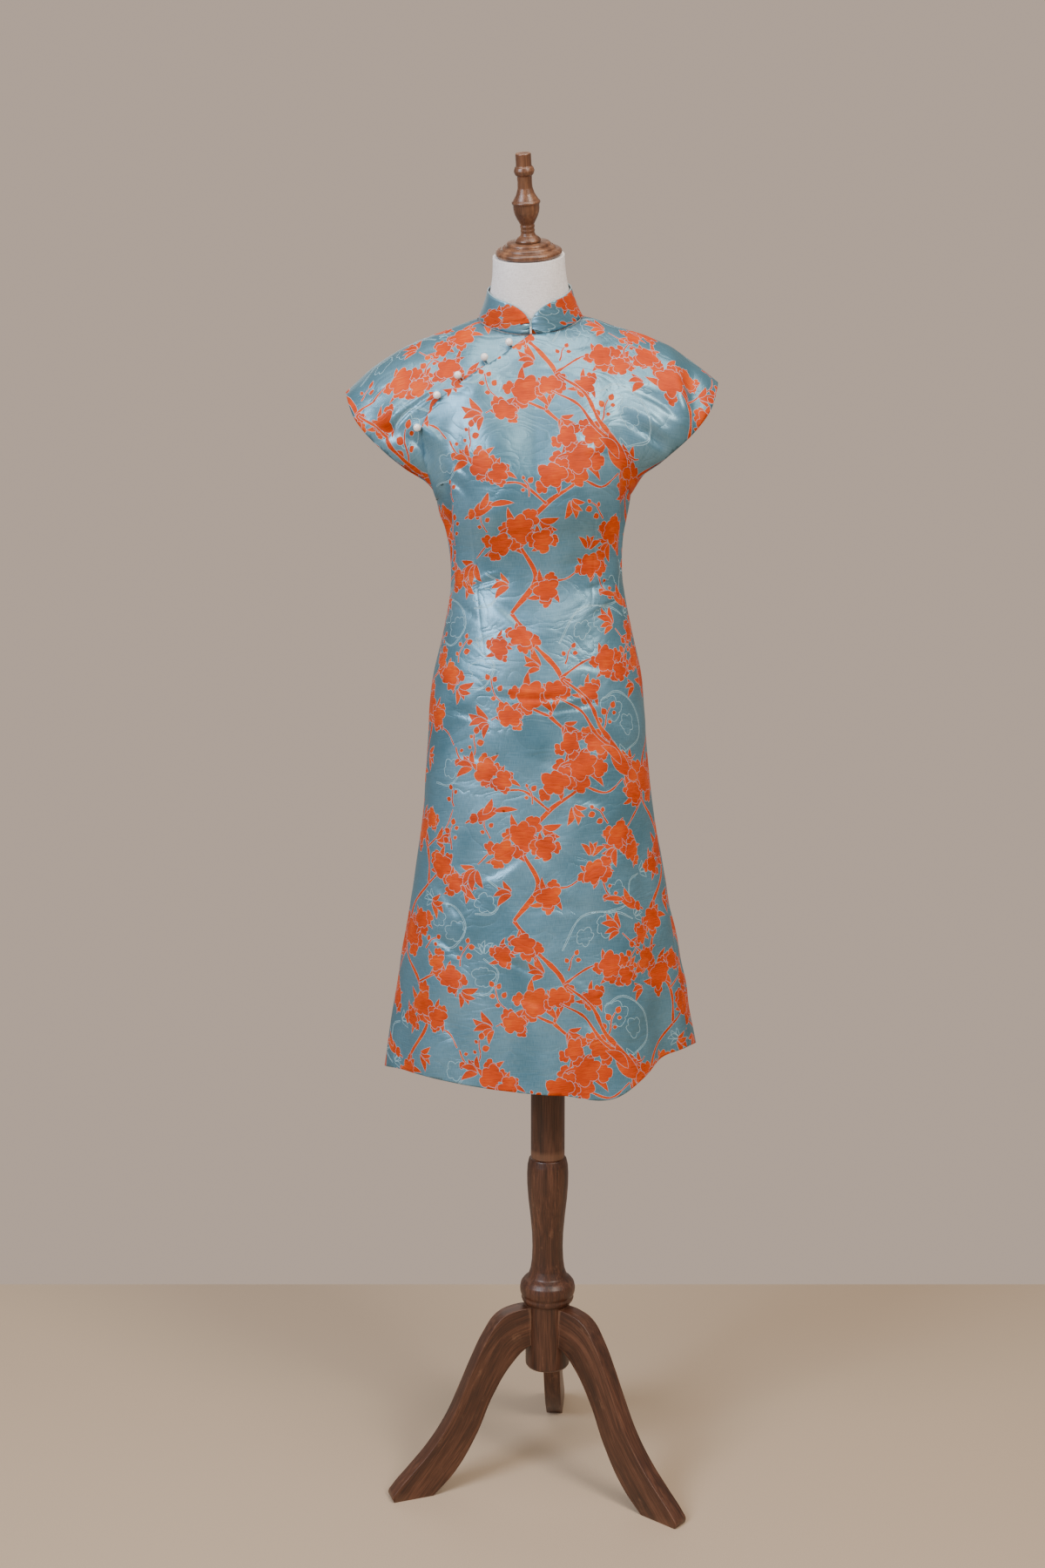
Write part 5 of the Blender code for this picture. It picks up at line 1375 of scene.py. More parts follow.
def front_edge():
    """The large front panel: hem, one side, shoulder, neckline, slanted opening, other side."""
    limit = seam_limit(1, np.array([0.0, 1.0, 2.0]))
    up = np.linspace(0.0, 1.0, LOW_SIDE_POINTS)
    right_up = np.linspace(0.0, 2.0 - SHOULDER_OFF, SIDE_POINTS)
    right = (seam_limit(1, right_up), right_up)
    hem = np.linspace(-limit[0], limit[0], HEM_POINTS)
    top = shoulder_run(right[0][-1], 0.0, FRONT_SHOULDER_POINTS)
    edge, edge_up = opening_at(np.linspace(1.0, 0.0, OPENING_POINTS))
    edge = np.maximum(edge, -limit[1])
    edge_up = np.minimum(edge_up, top_limit(edge))
    left = (-seam_limit(1, up[::-1]), up[::-1])
    return closed_edge((hem, 0 * hem), right, top, (edge, edge_up), left)


def front_placed(across, up):
    """The front panel, lifted a little where it lies over the yoke."""
    distance = np.abs(opening_distance(across, up))
    near = 1 - ease_in((distance - OVERLAP) / LIFT_SPAN)
    lift = LIFT * near * ease_in((up - LIFT_LEVEL) / LIFT_LEVEL_SPAN)
    return dress_point(1, across, up, lift)


def yoke_edge():
    """The yoke: its edge under the front panel, neckline, shoulder, cuff and underarm."""
    share = np.linspace(YOKE_START, 1.0, YOKE_EDGE_POINTS)
    edge, edge_up = opening_at(share)
    before = plain_point(1, *opening_at(np.maximum(share - SIZE_STEP, 0.0)))
    after = plain_point(1, *opening_at(np.minimum(share + SIZE_STEP, 1.0)))
    square = np.cross(after - before, outward(1, edge, edge_up))
    overlap = OVERLAP * mix(OVERLAP_LOW, 1.0, ease_in(share / OVERLAP_FULL))[:, None]
    under, under_up = shifted(1, edge, edge_up, square / length_of(square) * overlap)
    under_up = np.minimum(under_up, top_limit(under))
    far = -seam_limit(1, np.array([2.0]))[0]
    top = shoulder_run(float(under[-1]), far, YOKE_SIDE_POINTS)
    side_up = np.linspace(2.0 - SHOULDER_OFF, 1 + YOKE_START, YOKE_SIDE_POINTS)
    side = (-seam_limit(1, side_up), side_up)
    low = np.linspace(0.0, 1.0, YOKE_LOW_POINTS)
    bottom = (mix(side[0][-1], under[0], low), mix(side_up[-1], under_up[0], low))
    return closed_edge((under, under_up), top, side, bottom)


def yoke_placed(across, up):
    """The yoke, sunk where it runs under the front panel."""
    distance = opening_distance(across, up)
    near = ease_in(1 + np.minimum(distance, 0.0) / YOKE_SINK_SPAN)
    below = ease_in(np.clip(distance, 0.0, 1.0) / OVERLAP)
    return dress_point(1, across, up, -YOKE_SINK * (near + below) / 2)


def back_edge():
    """The back panel: hem, one side, shoulders and neckline, other side."""
    up = np.linspace(0.0, 2.0 - SHOULDER_OFF, SIDE_POINTS)
    limit = seam_limit(-1, up)
    hem = np.linspace(-limit[0], limit[0], HEM_POINTS)
    top = shoulder_run(limit[-1], -limit[-1], BACK_SHOULDER_POINTS)
    return closed_edge((hem, 0 * hem), (limit, up), top, (-limit[::-1], up[::-1]))


def back_placed(across, up):
    """The back panel."""
    return dress_point(-1, across, up)


def collar_placed(across, up):
    """The collar band: across runs round the neck from one end to the other, up from its seam."""
    angle = collar_angle(across)
    base = neck_point(angle, 0 * up)
    toward = neck_point(angle, 0 * up + COLLAR_SEAT_TEST) - base
    seat = COLLAR_SEAT / np.linalg.norm(toward, axis=-1) * COLLAR_SEAT_TEST
    return neck_point(angle, mix(seat, collar_rise(angle), up))


def collar_angle(across):
    """The angle round the neck of a place across the collar."""
    return 180.0 - across * (180.0 - COLLAR_OPEN)


def collar_edge():
    """The collar: its seam, then one end, its upper edge and the other end."""
    spread = np.linspace(-1.0, 1.0, COLLAR_POINTS)
    spread = np.sign(spread) * (1 - (1 - np.abs(spread)) ** COLLAR_CROWDING)
    up = np.linspace(0.0, 1.0, COLLAR_END_POINTS)
    low, high = (spread, 0 * spread), (spread[::-1], 0 * spread + 1.0)
    return closed_edge(low, (0 * up + 1.0, up), high, (0 * up - 1.0, up[::-1]))


# ---- pieces of the scene ----


def collection():
    """The collection that holds every piece."""
    name = "Cheongsam"
    if name not in bpy.data.collections:
        bpy.context.scene.collection.children.link(bpy.data.collections.new(name))
    return bpy.data.collections[name]


def linked(name, data):
    """A new object in the collection."""
    made = bpy.data.objects.new(name, data)
    collection().objects.link(made)
    return made


def as_piece(name, mesh, finishes, slot, *nodes):
    """Links a mesh as a piece that stands for its CAD nodes and rides with the object."""
    if not mesh.polygons:
        raise RuntimeError(f"{name} has no faces")
    mesh.name = name
    if not mesh.materials:
        for finish in finishes:
            mesh.materials.append(finish())
    made = linked(name, mesh)
    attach(made, "root")
    if nodes:
        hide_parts(*nodes)
    return made


def evaluated_mesh(made):
    """A plain mesh of an object with its modifiers applied."""
    bpy.context.view_layer.update()
    evaluated = made.evaluated_get(bpy.context.evaluated_depsgraph_get())
    return bpy.data.meshes.new_from_object(evaluated)


def plain_mesh(made):
    """The same of an object that isn't needed any more."""
    mesh = evaluated_mesh(made)
    bpy.data.objects.remove(made)
    return mesh


def mesh_from(work, name):
    """A mesh from a finished set of faces."""
    mesh = bpy.data.meshes.new(name)
    work.to_mesh(mesh)
    work.free()
    return mesh


def smoothed(mesh, degrees):
    """The mesh shaded smooth up to an angle."""
    mesh.shade_smooth()
    mesh.set_sharp_from_angle(angle=math.radians(degrees))
    return mesh


def solid_mesh(work, name, degrees):
    """A mesh whose faces point outwards, shaded smooth up to an angle."""
    bmesh.ops.recalc_face_normals(work, faces=work.faces)
    return smoothed(mesh_from(work, name), degrees)


def set_vectors(mesh, name, vectors):
    """Stores a vector for each corner point, for a material to read."""
    layer = mesh.attributes.new(name, "FLOAT_VECTOR", "POINT")
    layer.data.foreach_set("vector", np.asarray(vectors, dtype=np.float32).ravel())


def mesh_points(mesh, field="co"):
    """The corner points of a mesh, or their normals."""
    points = np.empty(len(mesh.vertices) * 3)
    mesh.vertices.foreach_get(field, points)
    return points.reshape(-1, 3)


def set_ridges(mesh):
    """Stores how far each point stands out of its neighbours, where wood is painted paler: rubbed wear
    and a painted highlight on its edges.
    """
    points, normals = mesh_points(mesh), mesh_points(mesh, "normal")
    ends = np.empty(len(mesh.edges) * 2, dtype=np.int32)
    mesh.edges.foreach_get("vertices", ends)
    first, last = ends.reshape(-1, 2).T
    offset = points[last] - points[first]
    offset = offset / length_of(offset)
    count = len(points)
    proud = np.bincount(first, -np.sum(offset * normals[first], axis=1), count)
    proud += np.bincount(last, np.sum(offset * normals[last], axis=1), count)
    proud /= np.maximum(np.bincount(ends, minlength=count), 1)
    layer = mesh.attributes.new("ridge", "FLOAT", "POINT")
    layer.data.foreach_set("value", proud.astype(np.float32))


# ---- geometry nodes: a cord swept along a path ----


def cord_tree(finish):
    """A node group that sweeps a round cord of a given radius along a path."""
    name = f"cord_{finish.__name__}"
    if name in bpy.data.node_groups:
        return bpy.data.node_groups[name]
    tree = bpy.data.node_groups.new(name, "GeometryNodeTree")
    face = tree.interface
    face.new_socket("Path", in_out="INPUT", socket_type="NodeSocketGeometry")
    radius = face.new_socket("Radius", in_out="INPUT", socket_type="NodeSocketFloat")
    radius.subtype = "DISTANCE"
    radius.default_value = LOOP_WIRE
    sides = face.new_socket("Sides", in_out="INPUT", socket_type="NodeSocketInt")
    sides.default_value = CORD_SIDES
    face.new_socket("Cord", in_out="OUTPUT", socket_type="NodeSocketGeometry")
    entry = add(tree, "NodeGroupInput", out=None).outputs
    ring = {"Radius": entry["Radius"], "Resolution": entry["Sides"]}
    profile = add(tree, "GeometryNodeCurvePrimitiveCircle", ring)
    course = {"Curve": entry["Path"], "Profile Curve": profile, "Fill Caps": True}
    sweep = add(tree, "GeometryNodeCurveToMesh", course)
    whole = add(tree, "GeometryNodeRealizeInstances", {"Geometry": sweep})
    paint = add(tree, "GeometryNodeSetMaterial", {"Geometry": whole, "Material": finish()})
    add(tree, "NodeGroupOutput", {"Cord": paint}, out=None)
    return tree


def cord_mesh(path, radius, finish):
    """A plain mesh of a cord along the points of a path."""
    curve = bpy.data.curves.new("path", "CURVE")
    curve.dimensions = "3D"
    spline = curve.splines.new("POLY")
    spline.points.add(len(path) - 1)
    for spot, point in zip(path, spline.points):
        point.co = (*spot, 1.0)
    made = linked("path", curve)
    tree = cord_tree(finish)
    sweep = made.modifiers.new("cord", "NODES")
    sweep.node_group = tree
    sizes = {"Radius": radius, "Sides": CORD_SIDES}
    for item in tree.interface.items_tree:
        if item.name in sizes:
            sweep[item.identifier] = sizes[item.name]
    mesh = plain_mesh(made)
    mesh.shade_smooth()
    return mesh


def joined(meshes, name):
    """One mesh of several, each with a material number of its own."""
    work = bmesh.new()
    for number, mesh in enumerate(meshes):
        first = len(work.faces)
        work.from_mesh(mesh)
        work.faces.ensure_lookup_table()
        for face in work.faces[first:]:
            face.material_index = number
    return mesh_from(work, name)


# ---- the cloth ----


def cloth_piece(node, cut, edge, placed, start, fine, wall):
    """A cloth piece cut from the brocade, with its thickness shown at its cut edges only."""
    mesh, border = cut_out(node, cut, edge, placed, start, fine)
    silk = (satin_ground, orange_weft, pale_weft)
    made = as_piece(f"{node}_silk", mesh, silk, "silk_brocade", node)
    rim = made.modifiers.new("rim", "SOLIDIFY")
    rim.thickness = wall
    rim.offset = -1.0
    rim.use_rim_only = True
    mesh = evaluated_mesh(made)
    made.modifiers.clear()
    old, made.data = made.data, mesh
    bpy.data.meshes.remove(old)
    mesh.name = made.name


# The dress's panels: which face each lies on, its edge, its fall and where the brocade starts on it
PANELS = table(
    "node face edge placed start",
    ("dress_front", 1, front_edge, front_placed, (-96.0, 14.0)),
    ("dress_yoke", 1, yoke_edge, yoke_placed, (12.0, 196.0)),
    ("dress_back", -1, back_edge, back_placed, (150.0, 90.0)),
)
COLLAR_START = (-180.0, -168.0)


def build_panel(panel):
    """One panel of the dress, cut from the brocade and laid on its solid's form."""
    surface = functools.partial(dress_point, panel.face)
    cut = lay_flat(surface, 2.0, CUT_ROWS // 2, False)
    wall = bpy.context.scene.cheongsam_cloth.thickness
    fine = crease_points(panel.face, cut)
    cloth_piece(panel.node, cut, panel.edge(), panel.placed, panel.start, fine, wall)


def build_collar():
    """The stand collar: a narrow band of the brocade with a pale cord along its edge."""
    cut = lay_flat(collar_placed, 1.0, 0, True)
    edge = collar_edge()
    start, wall = COLLAR_START, COLLAR_WALL
    cloth_piece("collar", cut, edge, collar_placed, start, [], wall)
    across, up = (run[COLLAR_POINTS - 1 :] for run in edge)
    path = lean(collar_placed(across, up))
    path = path + neck_inwards(collar_angle(across)) * COLLAR_WALL / 2
    mesh = cord_mesh(path, PIPING_RADIUS, silk_cord)
    as_piece("collar_piping", mesh, (silk_cord,), "silk_cord")


# ---- the dress form ----

# Where the form comes nearest to the cloth: from which level and how far across, over what spans
SEAT_FROM = 1.55
SEAT_SPAN = 0.40
SEAT_ACROSS = 0.25
SEAT_ACROSS_SPAN = 0.2

# How near an edge a place counts as on it, how rows crowd towards the shoulders, and the distance
# under which corners are joined
EDGE_NEAR = 0.001
FORM_ROW_PACE = 0.6
FORM_WELD = 0.00005


def bridge(work, lower, upper):
    """Faces between two rings of corners."""
    count = len(lower)
    for k in range(count):
        corners = [lower[k], lower[(k + 1) % count], upper[(k + 1) % count], upper[k]]
        work.faces.new(corners)


def torso_ring():
    """Places round the torso: (face, across) on the front and back, (2 or -2, share) at the arms."""
    front = [(1, mix(-FORM_ARM, FORM_ARM, k / FORM_COLUMNS)) for k in range(FORM_COLUMNS + 1)]
    back = [(-1, -place) for _, place in front]
    arm = [(k + 1) / (FORM_ARM_COLUMNS + 1) for k in range(FORM_ARM_COLUMNS)]
    return front + [(2, share) for share in arm] + back + [(-2, share) for share in arm]


def torso_angles():
    """The angle round the body of each place of the ring."""
    reach = FORM_ARM * 90.0
    turns = {
        1: lambda place: place * 90.0,
        2: lambda share: mix(reach, 180.0 - reach, share),
        -1: lambda place: 180.0 - place * 90.0,
        -2: lambda share: mix(180.0 + reach, 360.0 - reach, share),
    }
    return np.array([turns[kind](place) for kind, place in torso_ring()])


def under_cloth(face, across, up):
    """Points of the torso's front or back, inside the cloth."""
    point = plain_point(face, across, up)
    near_seam = ease_in((up - SEAT_FROM) / SEAT_SPAN)
    near_seam = near_seam * ease_in((np.abs(across) - SEAT_ACROSS) / SEAT_ACROSS_SPAN)
    inset = CLOTH + mix(FORM_EASE_CHEST + FORM_DRAWN_IN, FORM_SEAT_GAP, near_seam)
    inside_it = point - outward(face, across, up) * inset[..., None]
    below_it = point - np.array([0.0, 0.0, CLOTH + FORM_SEAT_GAP])
    shoulder = (up > 2.0 - EDGE_NEAR) & (np.abs(across) > NECK_SHARE - EDGE_NEAR)
    return np.where(shoulder[..., None], below_it, inside_it)


def torso_levels(levels):
    """Rings of the torso at levels of the bodice: its flat ends at the arms bulge a little."""
    ring = torso_ring()
    places = np.array([place for kind, place in ring if kind == 1])
    grid_up, grid_across = np.meshgrid(levels, places, indexing="ij")
    front = under_cloth(1, grid_across, grid_up)
    back = under_cloth(-1, grid_across, grid_up)[:, ::-1]
    share = np.array([place for kind, place in ring if kind == 2])[None, :, None]
    swell = FORM_ARM_SWELL * np.sin(math.pi * share) * (2.0 - levels)[:, None, None]
    sideways = swell * np.array([1.0, 0.0, 0.0])
    right = mix(front[:, -1:], back[:, :1], share) + sideways
    left = mix(back[:, -1:], front[:, :1], share) - sideways
    return np.concatenate([front, right, back, left], axis=1)


def build_torso():
    """The limbless torso with its neck, covered in linen."""
    angles = torso_angles()
    heights = [mix(FORM_BOTTOM, UNDERARM, k / FORM_ROWS_BELOW) for k in range(FORM_ROWS_BELOW)]
    rings = [form_section(height, angles) for height in heights]
    share = np.linspace(0.0, 1.0, FORM_ROWS_ABOVE + 1)
    rings += list(torso_levels(1.0 + mix(share, np.sin(math.pi / 2 * share), FORM_ROW_PACE)))
    work = bmesh.new()
    corners = [[work.verts.new(spot) for spot in lean(points)] for points in rings]
    for lower, upper in zip(corners, corners[1:]):
        bridge(work, lower, upper)
    work.faces.new(list(reversed(corners[0])))
    ring = torso_ring()
    near = EDGE_NEAR
    front = [k for k, (kind, at) in enumerate(ring) if kind == 1 and abs(at) < NECK_SHARE + near]
    back = [k for k, (kind, at) in enumerate(ring) if kind == -1 and abs(at) < NECK_SHARE - near]
    turns = [ring[k][1] / NECK_SHARE * 90.0 for k in front]
    turns += [180.0 - ring[k][1] / NECK_SHARE * 90.0 for k in back]
    lower = [corners[-1][k] for k in front + back]
    inward = COLLAR_WALL + FORM_NECK_EASE
    turns = np.array(turns)
    for row in range(FORM_ROWS_NECK + 1):
        rise = np.full_like(turns, row / FORM_ROWS_NECK)
        points = neck_point(turns, rise) + neck_inwards(turns) * inward
        if row == FORM_ROWS_NECK:
            points = neck_top(turns, NECK_TOP_RADIUS - inward)
        upper = [work.verts.new(spot) for spot in lean(points)]
        bridge(work, lower, upper)
        lower = upper
    work.faces.new(lower)
    bmesh.ops.remove_doubles(work, verts=work.verts, dist=FORM_WELD)
    as_piece("form_linen", solid_mesh(work, "form_linen", 50), (linen,), "linen", "form_torso")


# ---- turned wood ----

# The most of a side that an eased corner takes, the spots along its curve, and how far the
# corners of each piece are eased
CORNER_SHARE = 0.42
CORNER_SPOTS = (0.0, 0.25, 0.5, 0.75, 1.0)
COLUMN_EASE = 0.0016
CAP_EASE = 0.0009
FINIAL_EASE = 0.0012
TURNED_WELD = 0.000005
POLE_STEPS = 24


def rounded(profile, reach):
    """The profile with each of its corners eased over a short reach."""
    spots = np.array([(corner.radius, corner.height) for corner in profile])
    course = [spots[0]]
    for before, corner, after in zip(spots, spots[1:], spots[2:]):
        near = min(reach, CORNER_SHARE * np.linalg.norm(before - corner))
        far = min(reach, CORNER_SHARE * np.linalg.norm(after - corner))
        start = corner + (before - corner) / np.linalg.norm(before - corner) * near
        end = corner + (after - corner) / np.linalg.norm(after - corner) * far
        for t in CORNER_SPOTS:
            course.append((1 - t) ** 2 * start + 2 * t * (1 - t) * corner + t * t * end)
    return course + [spots[-1]]


def lathe(profile, steps, placing, name, degrees=35):
    """A turned solid: the profile of (radius, height) from the top down, swept round."""
    work = bmesh.new()
    spots = [(0.0, profile[0][1])] + [tuple(p) for p in profile] + [(0.0, profile[-1][1])]
    line = [work.verts.new((radius, 0.0, height)) for radius, height in spots]
    geom = line + [work.edges.new(pair) for pair in zip(line, line[1:])]
    whole = 2 * math.pi
    bmesh.ops.spin(work, geom=geom, cent=(0, 0, 0), axis=(0, 0, 1), angle=whole, steps=steps)
    bmesh.ops.remove_doubles(work, verts=work.verts, dist=TURNED_WELD)
    mesh = solid_mesh(work, name, degrees)
    set_vectors(mesh, "grain", mesh_points(mesh)[:, [2, 0, 1]])
    set_ridges(mesh)
    mesh.transform(placing)
    return mesh


def turned(name, profile, placing, finish, node):
    """A turned wooden piece in place of its node."""
    mesh = lathe(profile, bpy.context.scene.cheongsam_stand.steps, placing, name)
    as_piece(name, mesh, (finish,), finish.__name__, node)


def build_column():
    """The turned lower column and the plain pole that it carries."""
    upright = Matrix.Translation((STAND_X, STAND_Y, 0.0))
    turned("column_turned", rounded(COLUMN, COLUMN_EASE), upright, walnut, "column")
    foot = COLUMN[0].height + POLE_GAP
    drop = (POLE_RADIUS + abs(LEAN_ACROSS)) * math.sin(FORM_LEAN) + POLE_GAP
    top = LEAN_HEIGHT + (FORM_BOTTOM - LEAN_HEIGHT) * math.cos(FORM_LEAN) - drop
    rings = range(POLE_STEPS + 1)
    pole = [(POLE_RADIUS, top - (top - foot) * k / POLE_STEPS) for k in rings]
    turned("pole_turned", pole, upright, walnut, "pole")


def build_crown():
    """The stepped cap on the neck and the turned finial that stands on it."""
    above = neck_matrix() @ Matrix.Translation((0.0, 0.0, POLE_GAP))
    turned("cap_turned", rounded(CAP, CAP_EASE), above, cap_wood, "neck_cap")
    seat = FINIAL[-1].height
    roll = Matrix.Rotation(-FINIAL_ROLL, 4, "Y")
    lifted = Matrix.Translation((0.0, 0.0, seat + POLE_GAP))
    on_cap = lifted @ roll @ Matrix.Translation((0.0, 0.0, -seat))
    turned("finial_turned", rounded(FINIAL, FINIAL_EASE), above @ on_cap, cap_wood, "finial")


# ---- the legs ----

# Joined corners, turns that count as flat or as an edge to be eased, steps of the grain's line,
# and the round post that the inner end is hollowed for
LEG_WELD = 0.00002
LEG_FLAT = math.radians(0.5)
LEG_SHARP = math.radians(60.0)
LEG_GRAIN_STEP = 0.004
POST_MIDDLE = 0.2
POST_CUT = 0.3


def leg_blank():
    """The leg's side view as a filled flat outline, sawn to its thickness with eased edges."""
    curve = bpy.data.curves.new("leg", "CURVE")
    curve.dimensions = "2D"
    curve.fill_mode = "BOTH"
    curve.extrude = LEG_THICKNESS / 2
    curve.resolution_u = LEG_FINE_STEPS
    outline = LEG_TOP_EDGE + LEG_BOTTOM_EDGE
    spline = curve.splines.new("BEZIER")
    spline.bezier_points.add(len(outline) - 1)
    spline.use_cyclic_u = True
    corners = (LEG_TOP_EDGE[0], LEG_TOP_EDGE[-1], LEG_BOTTOM_EDGE[0], LEG_BOTTOM_EDGE[-1])
    for spot, point in zip(outline, spline.bezier_points):
        point.co = (spot.reach, spot.height, 0.0)
        kind = "VECTOR" if spot in corners else "AUTO"
        point.handle_left_type = kind
        point.handle_right_type = kind
    work = bmesh.new()
    work.from_mesh(plain_mesh(linked("leg", curve)))
    bmesh.ops.remove_doubles(work, verts=work.verts, dist=LEG_WELD)
    bmesh.ops.dissolve_limit(work, angle_limit=LEG_FLAT, verts=work.verts, edges=work.edges)
    sharp = [e for e in work.edges if e.is_manifold and e.calc_face_angle() > LEG_SHARP]
    eased(work, sharp, LEG_BEVEL)
    bmesh.ops.triangulate(work, faces=[face for face in work.faces if len(face.verts) > 4])
    return solid_mesh(work, "leg", 40)


def eased(work, edges, offset):
    """Rounds edges over three small steps."""
    shape = {"segments": 3, "profile": 0.5, "affect": "EDGES", "clamp_overlap": True}
    bmesh.ops.bevel(work, geom=edges, offset=offset, **shape)


def leg_grain(points):
    """Distance along the leg's curve, then across it, for the grain of the wood."""
    pairs = [(LEG_TOP_EDGE[top], LEG_BOTTOM_EDGE[low]) for top, low in LEG_PAIRS]
    middle = np.array([((a.reach + b.reach) / 2, (a.height + b.height) / 2) for a, b in pairs])
    line = smooth_line(middle, LEG_GRAIN_STEP)
    run = np.concatenate([[0.0], np.cumsum(np.linalg.norm(np.diff(line, axis=0), axis=1))])
    place = points[:, [0, 1]]
    nearest = np.argmin(np.linalg.norm(place[:, None] - line[None], axis=2), axis=1)
    left = squares(line)[nearest]
    offset = place - line[nearest]
    beyond = left[:, 1] * offset[:, 0] - left[:, 0] * offset[:, 1]
    return np.stack([run[nearest] + beyond, np.sum(left * offset, axis=1), points[:, 2]], axis=-1)


def build_leg(name, azimuth):
    """One leg of the tripod, hollowed at its inner end to fit the post."""
    about = Matrix.Translation((STAND_X, STAND_Y, 0.0))
    turned_about = about @ Matrix.Rotation(math.radians(azimuth), 4, "Z")
    upright = turned_about @ Matrix.Rotation(math.radians(90.0), 4, "X")
    mesh = leg_blank()
    mesh.transform(upright)
    work = bmesh.new()
    radius = COLUMN[-2].radius + LEG_GAP
    sides = {"cap_ends": True, "segments": TURNED_STEPS, "radius1": radius, "radius2": radius}
    place = about @ Matrix.Translation((0, 0, POST_MIDDLE))
    bmesh.ops.create_cone(work, depth=POST_CUT, matrix=place, **sides)
    cutter = linked("post", mesh_from(work, "post"))
    blank = linked("blank", mesh)
    cut = blank.modifiers.new("post", "BOOLEAN")
    cut.operation = "DIFFERENCE"
    cut.solver = "EXACT"
    cut.object = cutter
    mesh = plain_mesh(blank)
    bpy.data.objects.remove(cutter)
    back = mesh.copy()
    back.transform(upright.inverted())
    set_vectors(mesh, "grain", leg_grain(mesh_points(back)) + np.array([azimuth, 0.0, 0.0]))
    bpy.data.meshes.remove(back)
    set_ridges(mesh)
    as_piece(f"{name}_shaped", smoothed(mesh, 40), (walnut,), "walnut", name)


# ---- pearls, loops and the collar's hook ----

# The stretch of the opening's edge that is searched near a pearl, the height from which its place
# on the yoke is sought, and the run of the edge that it is lined up with
EDGE_BELOW = 0.03
EDGE_ABOVE = 0.02
EDGE_SPOTS = 60
PEARL_ABOVE = 0.01
PEARL_RUN = 0.008

# Steps round and up the pearl, the metal cup under it, and points along its cord loop
PEARL_RINGS = 24
PEARL_STEPS = 32
CUP_STEPS = 24
CUP = lengths("radius height", (2.1, 0.6), (2.3, 0.2), (1.9, -0.6), (SHANK_RADIUS * 1000, -1))
LOOP_BEND_POINTS = 20
LOOP_SIDE_POINTS = 8


def edge_distance(place):
    """How far a pearl's foot is from the opening's edge."""
    heights = np.linspace(place.height - EDGE_BELOW, place.height + EDGE_ABOVE, EDGE_SPOTS)
    edge = between(OPENING, "height", "across", heights)
    return np.min(np.hypot(edge - place.across, heights - place.height))


def pearl_frame(place, across, up, yoke):
    """A pearl's foot on the yoke, and axes up the front, away from the opening and outwards."""
    foot = plain_point(1, across, up)[0]
    out = outward(1, across, up)[0]
    above, outer = lean(np.array([foot + PEARL_ABOVE * out, foot + out]))
    hit = yoke.ray_cast(Vector(above), Vector(lean(foot) - outer))[0]
    foot = foot + out * (PEARL_ABOVE - (hit - Vector(above)).length)
    step = PEARL_RUN
    before = between(OPENING, "height", "across", place.height - step)
    after = between(OPENING, "height", "across", place.height + step)
    along = np.array([after - before, 0.0, 2 * step])
    along = along - out * (along @ out)
    along = along / np.linalg.norm(along)
    away = np.cross(along, out)
    if away[0] > 0:
        away = -away
    spots = lean(np.array([foot, foot + along, foot + away, foot + out]))
    return spots[0], spots[1] - spots[0], spots[2] - spots[0], spots[3] - spots[0]


def build_pearls():
    """Five pearl buttons on small metal feet, each with its cord loop."""
    cloth = bpy.data.objects.get("dress_yoke_silk")
    if cloth is None:
        raise RuntimeError("The pearls are set on the dress's yoke, which isn't there yet")
    yoke = BVHTree.FromObject(cloth, bpy.context.evaluated_depsgraph_get())
    size = bpy.context.scene.cheongsam_cloth.pearl_radius
    shank = PEARL_SEAT + SHANK_LENGTH
    turns = [math.pi * k / PEARL_RINGS for k in range(1, PEARL_RINGS)]
    ball = [(size * math.sin(t), size * (1 + math.cos(t)) + shank) for t in turns]
    cup = [(corner.radius, shank + corner.height) for corner in CUP]
    cup.append((SHANK_RADIUS, PEARL_SEAT))
    across, up = bodice_place(*np.array(PEARLS).T)
    for number, place in enumerate(PEARLS, start=1):
        spot = slice(number - 1, number)
        foot, along, away, out = pearl_frame(place, across[spot], up[spot], yoke)
        axes = Matrix((along, away, out)).transposed().to_4x4()
        if axes.determinant() < 0:
            axes = Matrix((along, -away, out)).transposed().to_4x4()
        placing = Matrix.Translation(Vector(foot)) @ axes
        parts = (
            lathe(ball, PEARL_STEPS, placing, "ball", 60),
            lathe(cup, CUP_STEPS, placing, "cup", 40),
        )
        mesh = joined(parts, "pearl")
        as_piece(f"pearl_{number}_set", mesh, (pearl, pearl_foot), "pearl", f"pearl_{number}")
        build_loop(number, (foot, along, away, out), edge_distance(place))


def build_loop(number, axes, reach):
    """A cord that leaves the opening's edge, passes round the pearl's foot and returns."""
    foot, along, away, out = axes
    side = LOOP_WIDTH
    start = -(reach - LOOP_START - LOOP_WIRE)
    turns = [math.pi * k / LOOP_BEND_POINTS for k in range(LOOP_BEND_POINTS + 1)]
    sides = range(LOOP_SIDE_POINTS)
    course = [(side, mix(start, 0.0, k / LOOP_SIDE_POINTS)) for k in sides]
    course += [(side * math.cos(turn), side * math.sin(turn)) for turn in turns]
    course += [(-side, mix(0.0, start, (k + 1) / LOOP_SIDE_POINTS)) for k in sides]
    height = LOOP_SEAT + LOOP_WIRE
    path = [foot + along * a + away * b + out * height for a, b in course]
    mesh = cord_mesh(path, LOOP_WIRE, silk_cord)
    as_piece(f"loop_{number}_cord", mesh, (silk_cord,), "silk_cord", f"loop_{number}")


